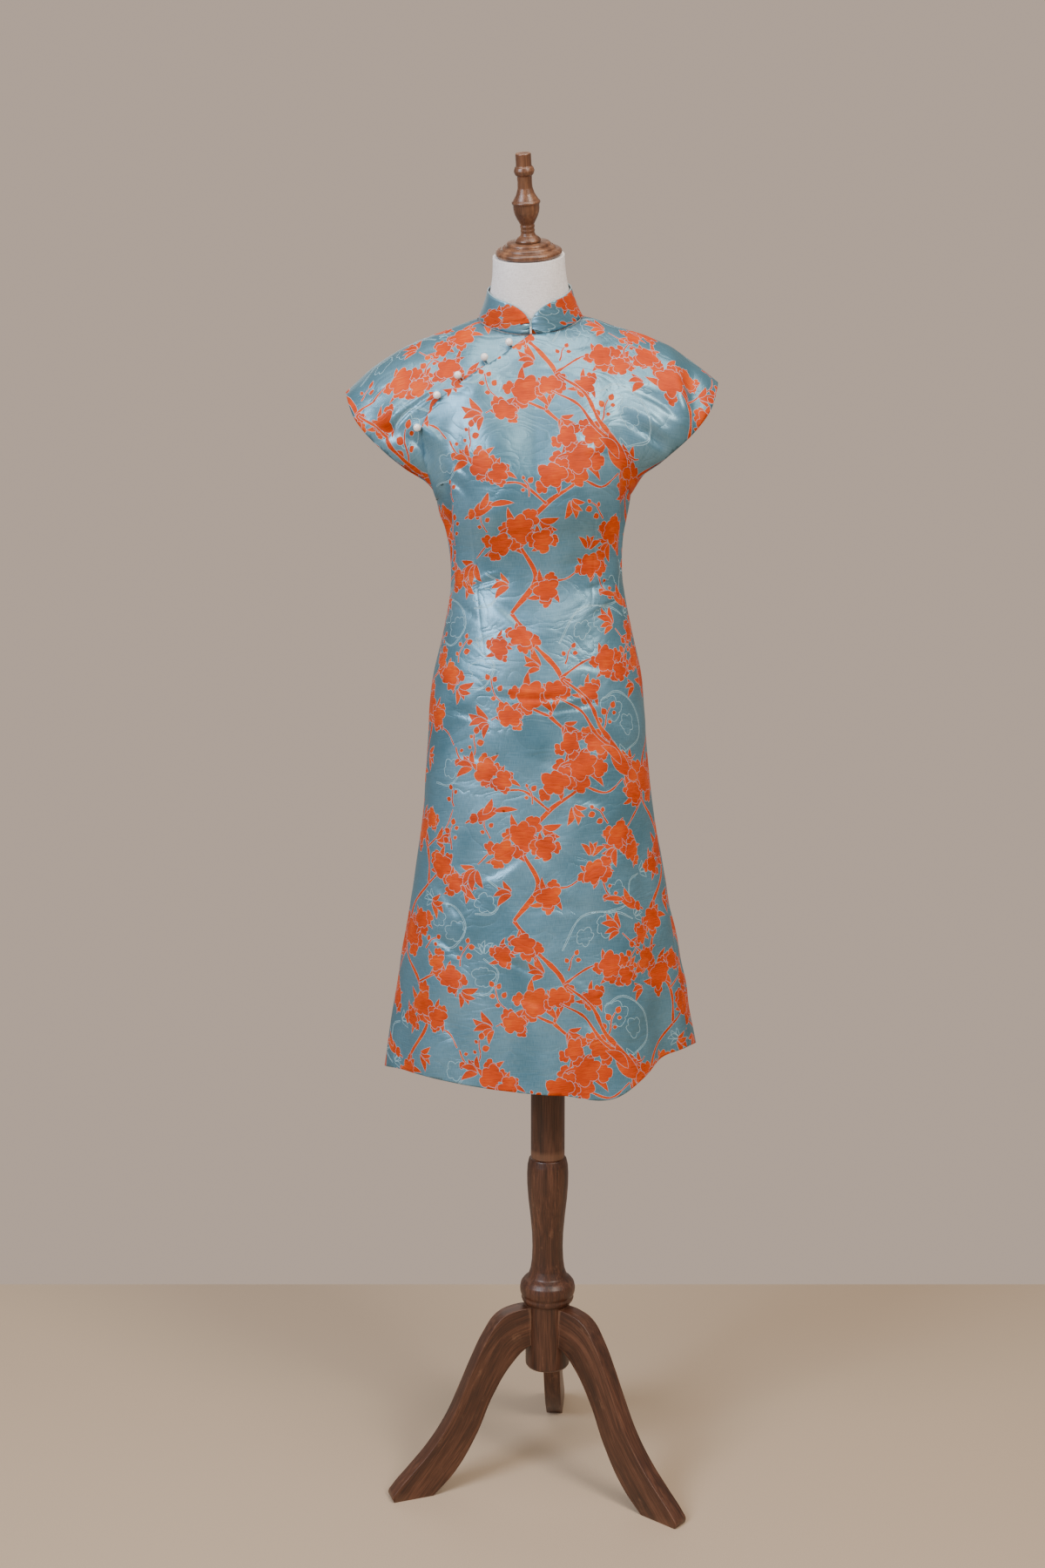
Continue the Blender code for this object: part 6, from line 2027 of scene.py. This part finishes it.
def build_hook():
    """The small bar that holds the collar's two ends together."""
    turn = np.array([0.0])
    low = neck_point(turn, np.array([COLLAR_SEAT / NECK_FRONT_HEIGHT]))[0]
    high = neck_point(turn, np.array([(COLLAR_SEAT + HOOK_HEIGHT) / NECK_FRONT_HEIGHT]))[0]
    out = np.array([0.0, -(SEAM + HOOK_THICKNESS / 2 + HOOK_GAP), 0.0])
    rise = (high - low) / np.linalg.norm(high - low)
    slope = math.atan2(rise[1], rise[2])
    work = bmesh.new()
    size = Matrix.Diagonal((HOOK_WIDTH, HOOK_THICKNESS, HOOK_HEIGHT, 1.0))
    bmesh.ops.create_cube(work, size=1.0, matrix=size)
    eased(work, list(work.edges), HOOK_BEVEL)
    mesh = solid_mesh(work, "collar_hook", 40)
    placing = lean_matrix() @ Matrix.Translation((low + high) / 2 + out)
    mesh.transform(placing @ Matrix.Rotation(-slope, 4, "X"))
    as_piece("collar_hook_bar", mesh, (white_tape,), "white_tape", "collar_hook")


# ---- finishes ----


def shade(hex_colour):
    """A linear colour from an sRGB one."""
    parts = [int(hex_colour[k : k + 2], 16) / 255 for k in (1, 3, 5)]
    linear = [p / 12.92 if p <= 0.04045 else ((p + 0.055) / 1.055) ** 2.4 for p in parts]
    return (*linear, 1.0)


def add(tree, kind, inputs=None, out=0, stops=(), **settings):
    """Adds a node with its settings, constants, links and colour stops, and gives an output."""
    node = tree.nodes.new(kind)
    for key, value in settings.items():
        setattr(node, key, value)
    for key, value in (inputs or {}).items():
        if isinstance(value, bpy.types.NodeSocket):
            tree.links.new(value, node.inputs[key])
        else:
            node.inputs[key].default_value = value
    for k, (place, colour) in enumerate(stops):
        band = node.color_ramp.elements
        point = band[k] if k < 2 else band.new(place)
        point.position = place
        point.color = shade(colour) if isinstance(colour, str) else colour
    return node if out is None else node.outputs[out]


def cells(tree, place, counts, detail=2.0, roughness=0.5, distortion=0.0):
    """Uneven cells, so many to a metre along each axis, as threads, slubs or grain have them."""
    fine = add(tree, "ShaderNodeVectorMath", {0: place, 1: counts}, operation="MULTIPLY")
    inputs = {"Vector": fine, "Scale": 1.0, "Detail": detail, "Roughness": roughness}
    return add(tree, "ShaderNodeTexNoise", {**inputs, "Distortion": distortion})


def together(tree, *values, share=1.0):
    """Several patterns added up, and divided by a share."""
    whole = values[0]
    for value in values[1:]:
        whole = add(tree, "ShaderNodeMath", {0: whole, 1: value}, operation="ADD")
    if share == 1.0:
        return whole
    return add(tree, "ShaderNodeMath", {0: whole, 1: share}, operation="DIVIDE")


def over(tree, share, colour, above):
    """A colour laid over another one by a share."""
    inputs = {"Factor": share, 6: colour, 7: shade(above)}
    return add(tree, "ShaderNodeMix", inputs, out=2, data_type="RGBA")


def crumpled(tree, cloth, threads, distance, strength):
    """The relief of silk: its threads, and small soft wrinkles that handling leaves."""
    inputs = {"Height": threads, "Distance": distance, "Strength": strength}
    relief = add(tree, "ShaderNodeBump", inputs)
    bent = cells(tree, cloth, (16.0, 26.0, 1.0), 2.0, 0.5, 1.2)
    ridge = add(tree, "ShaderNodeMath", {0: bent, 1: 0.5}, operation="SUBTRACT")
    ridge = add(tree, "ShaderNodeMath", {0: ridge}, operation="ABSOLUTE")
    sharp = add(tree, "ShaderNodeMath", {0: ridge, 1: 0.6}, operation="POWER")
    inputs = {"Height": sharp, "Distance": 0.0022, "Strength": 0.55, "Normal": relief}
    return add(tree, "ShaderNodeBump", inputs)


def on_cloth(tree):
    """Places on the flat cloth, in metres along the weft and the warp."""
    return add(tree, "ShaderNodeUVMap", out="UV", uv_map="cut")


def on_object(tree):
    """Places in the object's frame, in metres."""
    return add(tree, "ShaderNodeTexCoord", out="Object")


def material(make):
    """A material named for its function, which adds its nodes and gives its shader's values."""

    @functools.wraps(make)
    def finished():
        name = f"{make.__name__}_finish"
        made = bpy.data.materials.get(name) or bpy.data.materials.new(name)
        made.use_nodes = True
        made.node_tree.nodes.clear()
        shader = add(made.node_tree, "ShaderNodeBsdfPrincipled", make(made.node_tree))
        add(made.node_tree, "ShaderNodeOutputMaterial", {"Surface": shader}, out=None)
        return made

    return finished


@material
def satin_ground(tree):
    """Silk satin, woven: the warp floats give it a soft sheen and the weft shows as fine slubs."""
    colours = bpy.context.scene.cheongsam_cloth
    cloth = on_cloth(tree)
    slubs = cells(tree, cloth, (45.0, 900.0, 1.0), 3.0, 0.6)
    warp = cells(tree, cloth, (1500.0, 110.0, 1.0))
    soft = cells(tree, cloth, (14.0, 14.0, 14.0), 3.0)
    # The tone follows the slubs and warp that also make the relief: partly random tone of the threads,
    # partly painted shade in their hollows and painted light on the floats
    stops = ((0.30, colours.silk_dark), (0.70, colours.silk_light))
    tone = together(tree, slubs, warp, soft, share=3.0)
    colour = add(tree, "ShaderNodeValToRGB", {"Fac": tone}, stops=stops)
    # Painted shade: a soft noise lays broad dark teal patches over the satin, for the darkness in its
    # folds
    patches = {"Fac": cells(tree, cloth, (7.0, 4.0, 1.0), 3.0, 0.55)}
    stops = ((0.39, "#B4B4B4"), (0.52, "#000000"))
    shadow = add(tree, "ShaderNodeValToRGB", patches, stops=stops)
    colour = over(tree, shadow, colour, "#2C6070")
    # Painted shade: the colour turns a darker teal where the cloth turns away from the view, towards
    # its sides
    side_shade = add(tree, "ShaderNodeLayerWeight", {"Blend": 0.35}, out="Facing")
    return {
        "Base Color": over(tree, side_shade, colour, "#3C6C7A"),
        "Metallic": 0.42,
        "Roughness": 0.36,
        "Specular IOR Level": 0.7,
        "Anisotropic": 0.4,
        "Tangent": add(tree, "ShaderNodeTangent", direction_type="UV_MAP", uv_map="cut"),
        "Sheen Weight": 0.15,
        "Sheen Roughness": 0.35,
        "Sheen Tint": shade("#CFE6EC"),
        "Normal": crumpled(tree, cloth, together(tree, slubs, warp), 0.00008, 0.6),
    }


@material
def orange_weft(tree):
    """Brocaded figures: thick orange weft floats lie in ribs across the cloth, duller than satin."""
    colours = bpy.context.scene.cheongsam_cloth
    cloth = on_cloth(tree)
    ribs = cells(tree, cloth, (60.0, 1300.0, 1.0), 2.0, 0.55)
    patches = cells(tree, cloth, (30.0, 30.0, 30.0), 3.0)
    # The ribs make both tone and relief: the deep colour is partly painted shade between the ribs and
    # the light one partly painted light on them; the patches are random tone
    stops = ((0.30, colours.weft_deep), (0.52, colours.weft), (0.72, colours.weft_light))
    tone = together(tree, ribs, patches, share=2.0)
    return {
        "Base Color": add(tree, "ShaderNodeValToRGB", {"Fac": tone}, stops=stops),
        "Roughness": 0.58,
        "Specular IOR Level": 0.25,
        "Sheen Weight": 0.06,
        "Sheen Roughness": 0.4,
        "Sheen Tint": shade("#FFD9BE"),
        "Normal": crumpled(tree, cloth, ribs, 0.00018, 0.8),
    }


@material
def pale_weft(tree):
    """The pale thread that outlines the figures: a silvery blue line, slightly raised."""
    colours = bpy.context.scene.cheongsam_cloth
    cloth = on_cloth(tree)
    ribs = cells(tree, cloth, (500.0, 1500.0, 1.0), 1.0)
    # The same pattern makes tone and relief: painted shade in the thread's hollows and painted light on
    # its rise
    stops = ((0.30, colours.line_dark), (0.70, colours.line_light))
    return {
        "Base Color": add(tree, "ShaderNodeValToRGB", {"Fac": ribs}, stops=stops),
        "Roughness": 0.45,
        "Sheen Weight": 0.15,
        "Normal": crumpled(tree, cloth, ribs, 0.00012, 0.7),
    }


@material
def linen(tree):
    """Plain off-white linen stretched over the form: an even weave with thicker threads in it."""
    place = on_object(tree)
    weft = cells(tree, place, (120.0, 120.0, 1600.0), 2.0, 0.6)
    warp = cells(tree, place, (1600.0, 1600.0, 90.0), 2.0, 0.6)
    weave = together(tree, weft, warp)
    tone = {"Fac": together(tree, weave, share=2.0)}
    stops = ((0.30, "#C6C2C0"), (0.50, "#E6E3E2"), (0.70, "#F6F4F4"))
    relief = {"Height": weave, "Distance": 0.0002, "Strength": 0.7}
    return {
        "Base Color": add(tree, "ShaderNodeValToRGB", tone, stops=stops),
        "Roughness": 0.88,
        "Specular IOR Level": 0.25,
        "Normal": add(tree, "ShaderNodeBump", relief),
    }


def wood(tree, stops, streak, roughness, wear_and_highlight):
    """Turned or sawn wood: grain stretched along the piece, pores and rubbed places."""
    grain = add(tree, "ShaderNodeAttribute", out="Vector", attribute_name="grain")
    broad = cells(tree, grain, (7.0, 75.0, 75.0), 4.0, 0.6, 0.6)
    fine = cells(tree, grain, (26.0, 700.0, 700.0), 3.0, 0.6)
    rubbed = cells(tree, grain, (34.0, 60.0, 60.0), 5.0, 0.7)
    weak = add(tree, "ShaderNodeMath", {0: fine, 1: streak}, operation="MULTIPLY")
    tone = {"Fac": together(tree, broad, weak, share=1.0 + streak)}
    colour = add(tree, "ShaderNodeValToRGB", tone, stops=stops)
    pale = add(tree, "ShaderNodeMapRange", {"Value": rubbed, 1: 0.60, 2: 0.78, 3: 0.0, 4: 0.55})
    worn = over(tree, pale, colour, wear_and_highlight)
    # Proud edges are paled towards the last colour: partly wear, partly a painted highlight along the
    # edges
    proud = add(tree, "ShaderNodeAttribute", out="Fac", attribute_name="ridge")
    uneven = add(tree, "ShaderNodeMath", {0: rubbed, 1: 0.10}, operation="MULTIPLY")
    edge = {"Value": together(tree, proud, uneven), 1: 0.13, 2: 0.26, 3: 0.0, 4: 0.45}
    ridge = add(tree, "ShaderNodeMapRange", edge)
    relief = {"Height": together(tree, fine, broad), "Distance": 0.00025, "Strength": 0.7}
    return {
        "Base Color": over(tree, ridge, worn, wear_and_highlight),
        "Roughness": roughness,
        "Specular IOR Level": 0.5,
        "Coat Weight": 0.15,
        "Coat Roughness": 0.3,
        "Normal": add(tree, "ShaderNodeBump", relief),
    }


@material
def walnut(tree):
    """Walnut-stained hardwood with a worn satin varnish."""
    colours = bpy.context.scene.cheongsam_stand
    stops = ((0.32, colours.stain_dark), (0.50, colours.stain), (0.68, colours.stain_light))
    # The last colour pales rubbed places and also paints a highlight on the proud edges
    return wood(tree, stops, 0.9, 0.42, "#90684E")


@material
def cap_wood(tree):
    """The same stain over a turned cap and finial, rubbed to a golden brown."""
    stops = ((0.32, "#3C271B"), (0.50, "#6B4732"), (0.68, "#966B4C"))
    # The last colour pales rubbed places and also paints a highlight on the proud edges
    return wood(tree, stops, 0.6, 0.32, "#B08664")


@material
def pearl(tree):
    """Glass pearls: a white body under a clear nacre coat, slightly warm and cool across it."""
    clouds = {"Fac": cells(tree, on_object(tree), (220.0, 220.0, 220.0))}
    stops = ((0.35, "#F2ECE8"), (0.65, "#FFFDFA"))
    return {
        "Base Color": add(tree, "ShaderNodeValToRGB", clouds, stops=stops),
        "Roughness": 0.18,
        "Specular IOR Level": 0.8,
        "Coat Weight": 1.0,
        "Coat Roughness": 0.05,
        "Sheen Weight": 0.2,
    }


def one_pattern(tree, counts, detail, stops, relief, strength=1.0):
    """A fine pattern of two shades, and the relief that goes with it."""
    pattern = cells(tree, on_object(tree), counts, detail)
    raised = {"Height": pattern, "Distance": relief, "Strength": strength}
    return {
        "Base Color": add(tree, "ShaderNodeValToRGB", {"Fac": pattern}, stops=stops),
        "Normal": add(tree, "ShaderNodeBump", raised),
    }


@material
def pearl_foot(tree):
    """The pearls' cast metal feet: dark metal of uneven tone."""
    stops = ((0.35, "#3A3230"), (0.70, "#7A6A5C"))
    uneven_tone = one_pattern(tree, (900.0, 900.0, 900.0), 3.0, stops, 0.00005)
    return {**uneven_tone, "Metallic": 0.9, "Roughness": 0.38}


@material
def silk_cord(tree):
    """A bias-covered silk cord in the pale blue of the ground, its fine twist just felt."""
    stops = ((0.30, "#6F9099"), (0.70, "#A9C3CA"))
    twist = one_pattern(tree, (1400.0, 1400.0, 1400.0), 2.0, stops, 0.0001)
    return {**twist, "Roughness": 0.45, "Sheen Weight": 0.3}


@material
def white_tape(tree):
    """A short white cotton tape, close woven."""
    stops = ((0.30, "#C9C4BE"), (0.70, "#F1EDE8"))
    weave = one_pattern(tree, (1500.0, 1500.0, 2600.0), 2.0, stops, 0.0001)
    return {**weave, "Roughness": 0.7}


@material
def pale_floor(tree):
    """A plain painted studio floor, warm and matt."""
    colours = bpy.context.scene.cheongsam_stage
    stops = ((0.30, colours.floor_dark), (0.70, colours.floor_light))
    speckle = one_pattern(tree, (900.0, 900.0, 900.0), 2.0, stops, 0.0002, 0.2)
    return {**speckle, "Roughness": 0.85, "Specular IOR Level": 0.2}


# ---- the stage ----


def build_world():
    """A plain wall colour behind, and an even dim light from all round."""
    world = bpy.data.worlds.new("studio")
    world.use_nodes = True
    tree = world.node_tree
    dim = tree.nodes["Background"]
    dim.inputs["Color"].default_value = shade(WORLD_COLOUR)
    dim.inputs["Strength"].default_value = WORLD_POWER
    wall_colour = bpy.context.scene.cheongsam_stage.wall
    wall = add(tree, "ShaderNodeBackground", {"Color": wall_colour, "Strength": 1.0})
    seen = add(tree, "ShaderNodeLightPath", out="Is Camera Ray")
    shown = add(tree, "ShaderNodeMixShader", {0: seen, 1: dim.outputs[0], 2: wall})
    tree.links.new(shown, tree.nodes["World Output"].inputs["Surface"])
    bpy.context.scene.world = world


def build_stage():
    """A plain pale floor, a wall colour behind it, soft lights and the camera in front."""
    work = bmesh.new()
    placing = Matrix.Translation((0.0, FLOOR_BACK - FLOOR_DEPTH / 2, 0.0))
    size = Matrix.Diagonal((FLOOR_WIDTH, FLOOR_DEPTH, 1.0, 1.0))
    bmesh.ops.create_grid(work, x_segments=2, y_segments=2, size=0.5, matrix=placing @ size)
    floor = linked("studio_floor", mesh_from(work, "studio_floor"))
    floor.data.materials.append(pale_floor())
    build_world()
    for lamp in LAMPS:
        light = bpy.data.lights.new(lamp.name, "AREA")
        light.shape = "RECTANGLE"
        light.size, light.size_y = lamp.width, lamp.height
        light.energy = lamp.power
        light.color = shade(lamp.colour)[:3]
        holder = linked(lamp.name, light)
        holder.location = lamp.place
        toward = Vector(lamp.aim) - Vector(lamp.place)
        holder.rotation_euler = toward.to_track_quat("-Z", "Y").to_euler()
    eye = bpy.data.cameras.new("camera")
    eye.sensor_fit = "VERTICAL"
    eye.sensor_height = CAMERA_HEIGHT
    eye.lens = CAMERA_LENS
    holder = linked("camera", eye)
    holder.location = CAMERA_PLACE
    holder.rotation_euler = (CAMERA_TILT, 0.0, 0.0)
    bpy.context.scene.camera = holder


# ---- the add-on ----


def tint(name, description, hex_colour):
    """A colour that the user can change, from its sRGB default."""
    start = shade(hex_colour)
    return FloatVectorProperty(
        name=name, description=description, subtype="COLOR", size=4, min=0.0, max=1.0, default=start,
    )


class ClothSettings(bpy.types.PropertyGroup):
    """Sizes and colours of the dress"""

    thickness: FloatProperty(
        name="Cloth thickness", description="Thickness shown at the cloth's cut edges",
        default=CLOTH, min=0.0, precision=4, unit="LENGTH",
    )
    spacing: FloatProperty(
        name="Spacing", description="Distance between points of the cloth's ground, in millimetres",
        default=CUT_STEP, min=1.0,
    )
    pearl_radius: FloatProperty(
        name="Pearl radius", description="Radius of the pearl buttons",
        default=PEARL_RADIUS, min=0.001, precision=4, unit="LENGTH",
    )
    # Partly the satin's own tone, partly painted shade between its floats and painted light on them
    silk_dark: tint("Satin, dark", "The satin ground between its floats", "#457A92")
    silk_light: tint("Satin, light", "The satin ground on its floats", "#86B3CA")
    # Partly the figures' own orange, partly painted shade between their ribs and painted light on them
    weft_deep: tint("Figures, deep", "The figures between their ribs", "#9A2E00")
    weft: tint("Figures", "The body of the figures", "#C84204")
    weft_light: tint("Figures, light", "The figures on their ribs", "#E26A1C")
    # Painted shade in the outline thread's hollows and painted light on its rise, over its own pale
    # blue
    line_dark: tint("Outline, dark", "The outline thread in its hollows", "#7FAAB8")
    line_light: tint("Outline, light", "The outline thread on its rise", "#A6CBD8")


class StandSettings(bpy.types.PropertyGroup):
    """Fineness and colours of the stand"""

    steps: IntProperty(
        name="Steps", description="Facets round a turned piece", default=TURNED_STEPS, min=12,
    )
    stain_dark: tint("Stain, dark", "The wood in its pores", "#25150F")
    stain: tint("Stain", "The body of the wood", "#4A2B1C")
    stain_light: tint("Stain, light", "The wood between its pores", "#704834")


class StageSettings(bpy.types.PropertyGroup):
    """Colours of the studio"""

    wall: tint("Wall", "The plain colour behind", WALL_COLOUR)
    floor_dark: tint("Floor, dark", "The floor between its speckles", "#BCA78F")
    floor_light: tint("Floor, light", "The speckles of the floor", "#C8B49C")


class CHEONGSAM_OT_stage(bpy.types.Operator):
    """Set the floor, the lights and the camera"""

    bl_idname = "cheongsam.stage"
    bl_label = "Stage"

    def execute(self, context):
        build_stage()
        return {"FINISHED"}


class CHEONGSAM_OT_form(bpy.types.Operator):
    """Make the linen torso with its turned cap and finial"""

    bl_idname = "cheongsam.form"
    bl_label = "Dress form"

    def execute(self, context):
        build_torso()
        build_crown()
        return {"FINISHED"}


class CHEONGSAM_OT_stand(bpy.types.Operator):
    """Turn the column and saw the three legs"""

    bl_idname = "cheongsam.stand"
    bl_label = "Stand"

    def execute(self, context):
        build_column()
        for name, azimuth in LEGS:
            build_leg(name, azimuth)
        return {"FINISHED"}


class CHEONGSAM_OT_cloth(bpy.types.Operator):
    """Cut the front, the yoke and the back from the brocade and hang them on the form"""

    bl_idname = "cheongsam.cloth"
    bl_label = "Dress panels"

    def execute(self, context):
        for panel in PANELS:
            build_panel(panel)
        return {"FINISHED"}


class CHEONGSAM_OT_collar(bpy.types.Operator):
    """Make the stand collar, its piping and the bar between its ends"""

    bl_idname = "cheongsam.collar"
    bl_label = "Collar"

    def execute(self, context):
        build_collar()
        build_hook()
        return {"FINISHED"}


class CHEONGSAM_OT_pearls(bpy.types.Operator):
    """Set the pearl buttons and their loops along the slanted opening"""

    bl_idname = "cheongsam.pearls"
    bl_label = "Pearls and loops"

    def execute(self, context):
        build_pearls()
        return {"FINISHED"}


OPERATORS = (
    CHEONGSAM_OT_stage,
    CHEONGSAM_OT_form,
    CHEONGSAM_OT_stand,
    CHEONGSAM_OT_cloth,
    CHEONGSAM_OT_collar,
    CHEONGSAM_OT_pearls,
)
SETTINGS = {
    "cheongsam_cloth": ClothSettings,
    "cheongsam_stand": StandSettings,
    "cheongsam_stage": StageSettings,
}


class CHEONGSAM_PT_panel(bpy.types.Panel):
    """Buttons that build the piece step by step, and the values that may be changed before"""

    bl_label = "Cheongsam"
    bl_space_type = "VIEW_3D"
    bl_region_type = "UI"
    bl_category = "Cheongsam"

    def draw(self, context):
        for operator in OPERATORS:
            self.layout.operator(operator.bl_idname)
        for group, settings in SETTINGS.items():
            for name in settings.__annotations__:
                self.layout.prop(getattr(context.scene, group), name)


CLASSES = (*SETTINGS.values(), *OPERATORS, CHEONGSAM_PT_panel)


def register():
    """Registers the classes and gives the scene its settings."""
    for made in CLASSES:
        bpy.utils.register_class(made)
    for group, settings in SETTINGS.items():
        setattr(bpy.types.Scene, group, PointerProperty(type=settings))


def unregister():
    """Takes back what register did."""
    for group in SETTINGS:
        delattr(bpy.types.Scene, group)
    for made in reversed(CLASSES):
        bpy.utils.unregister_class(made)


def main():
    """Registers the add-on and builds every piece."""
    register()
    for operator in OPERATORS:
        group, name = operator.bl_idname.split(".")
        getattr(getattr(bpy.ops, group), name)()


if __name__ == "__main__":
    main()
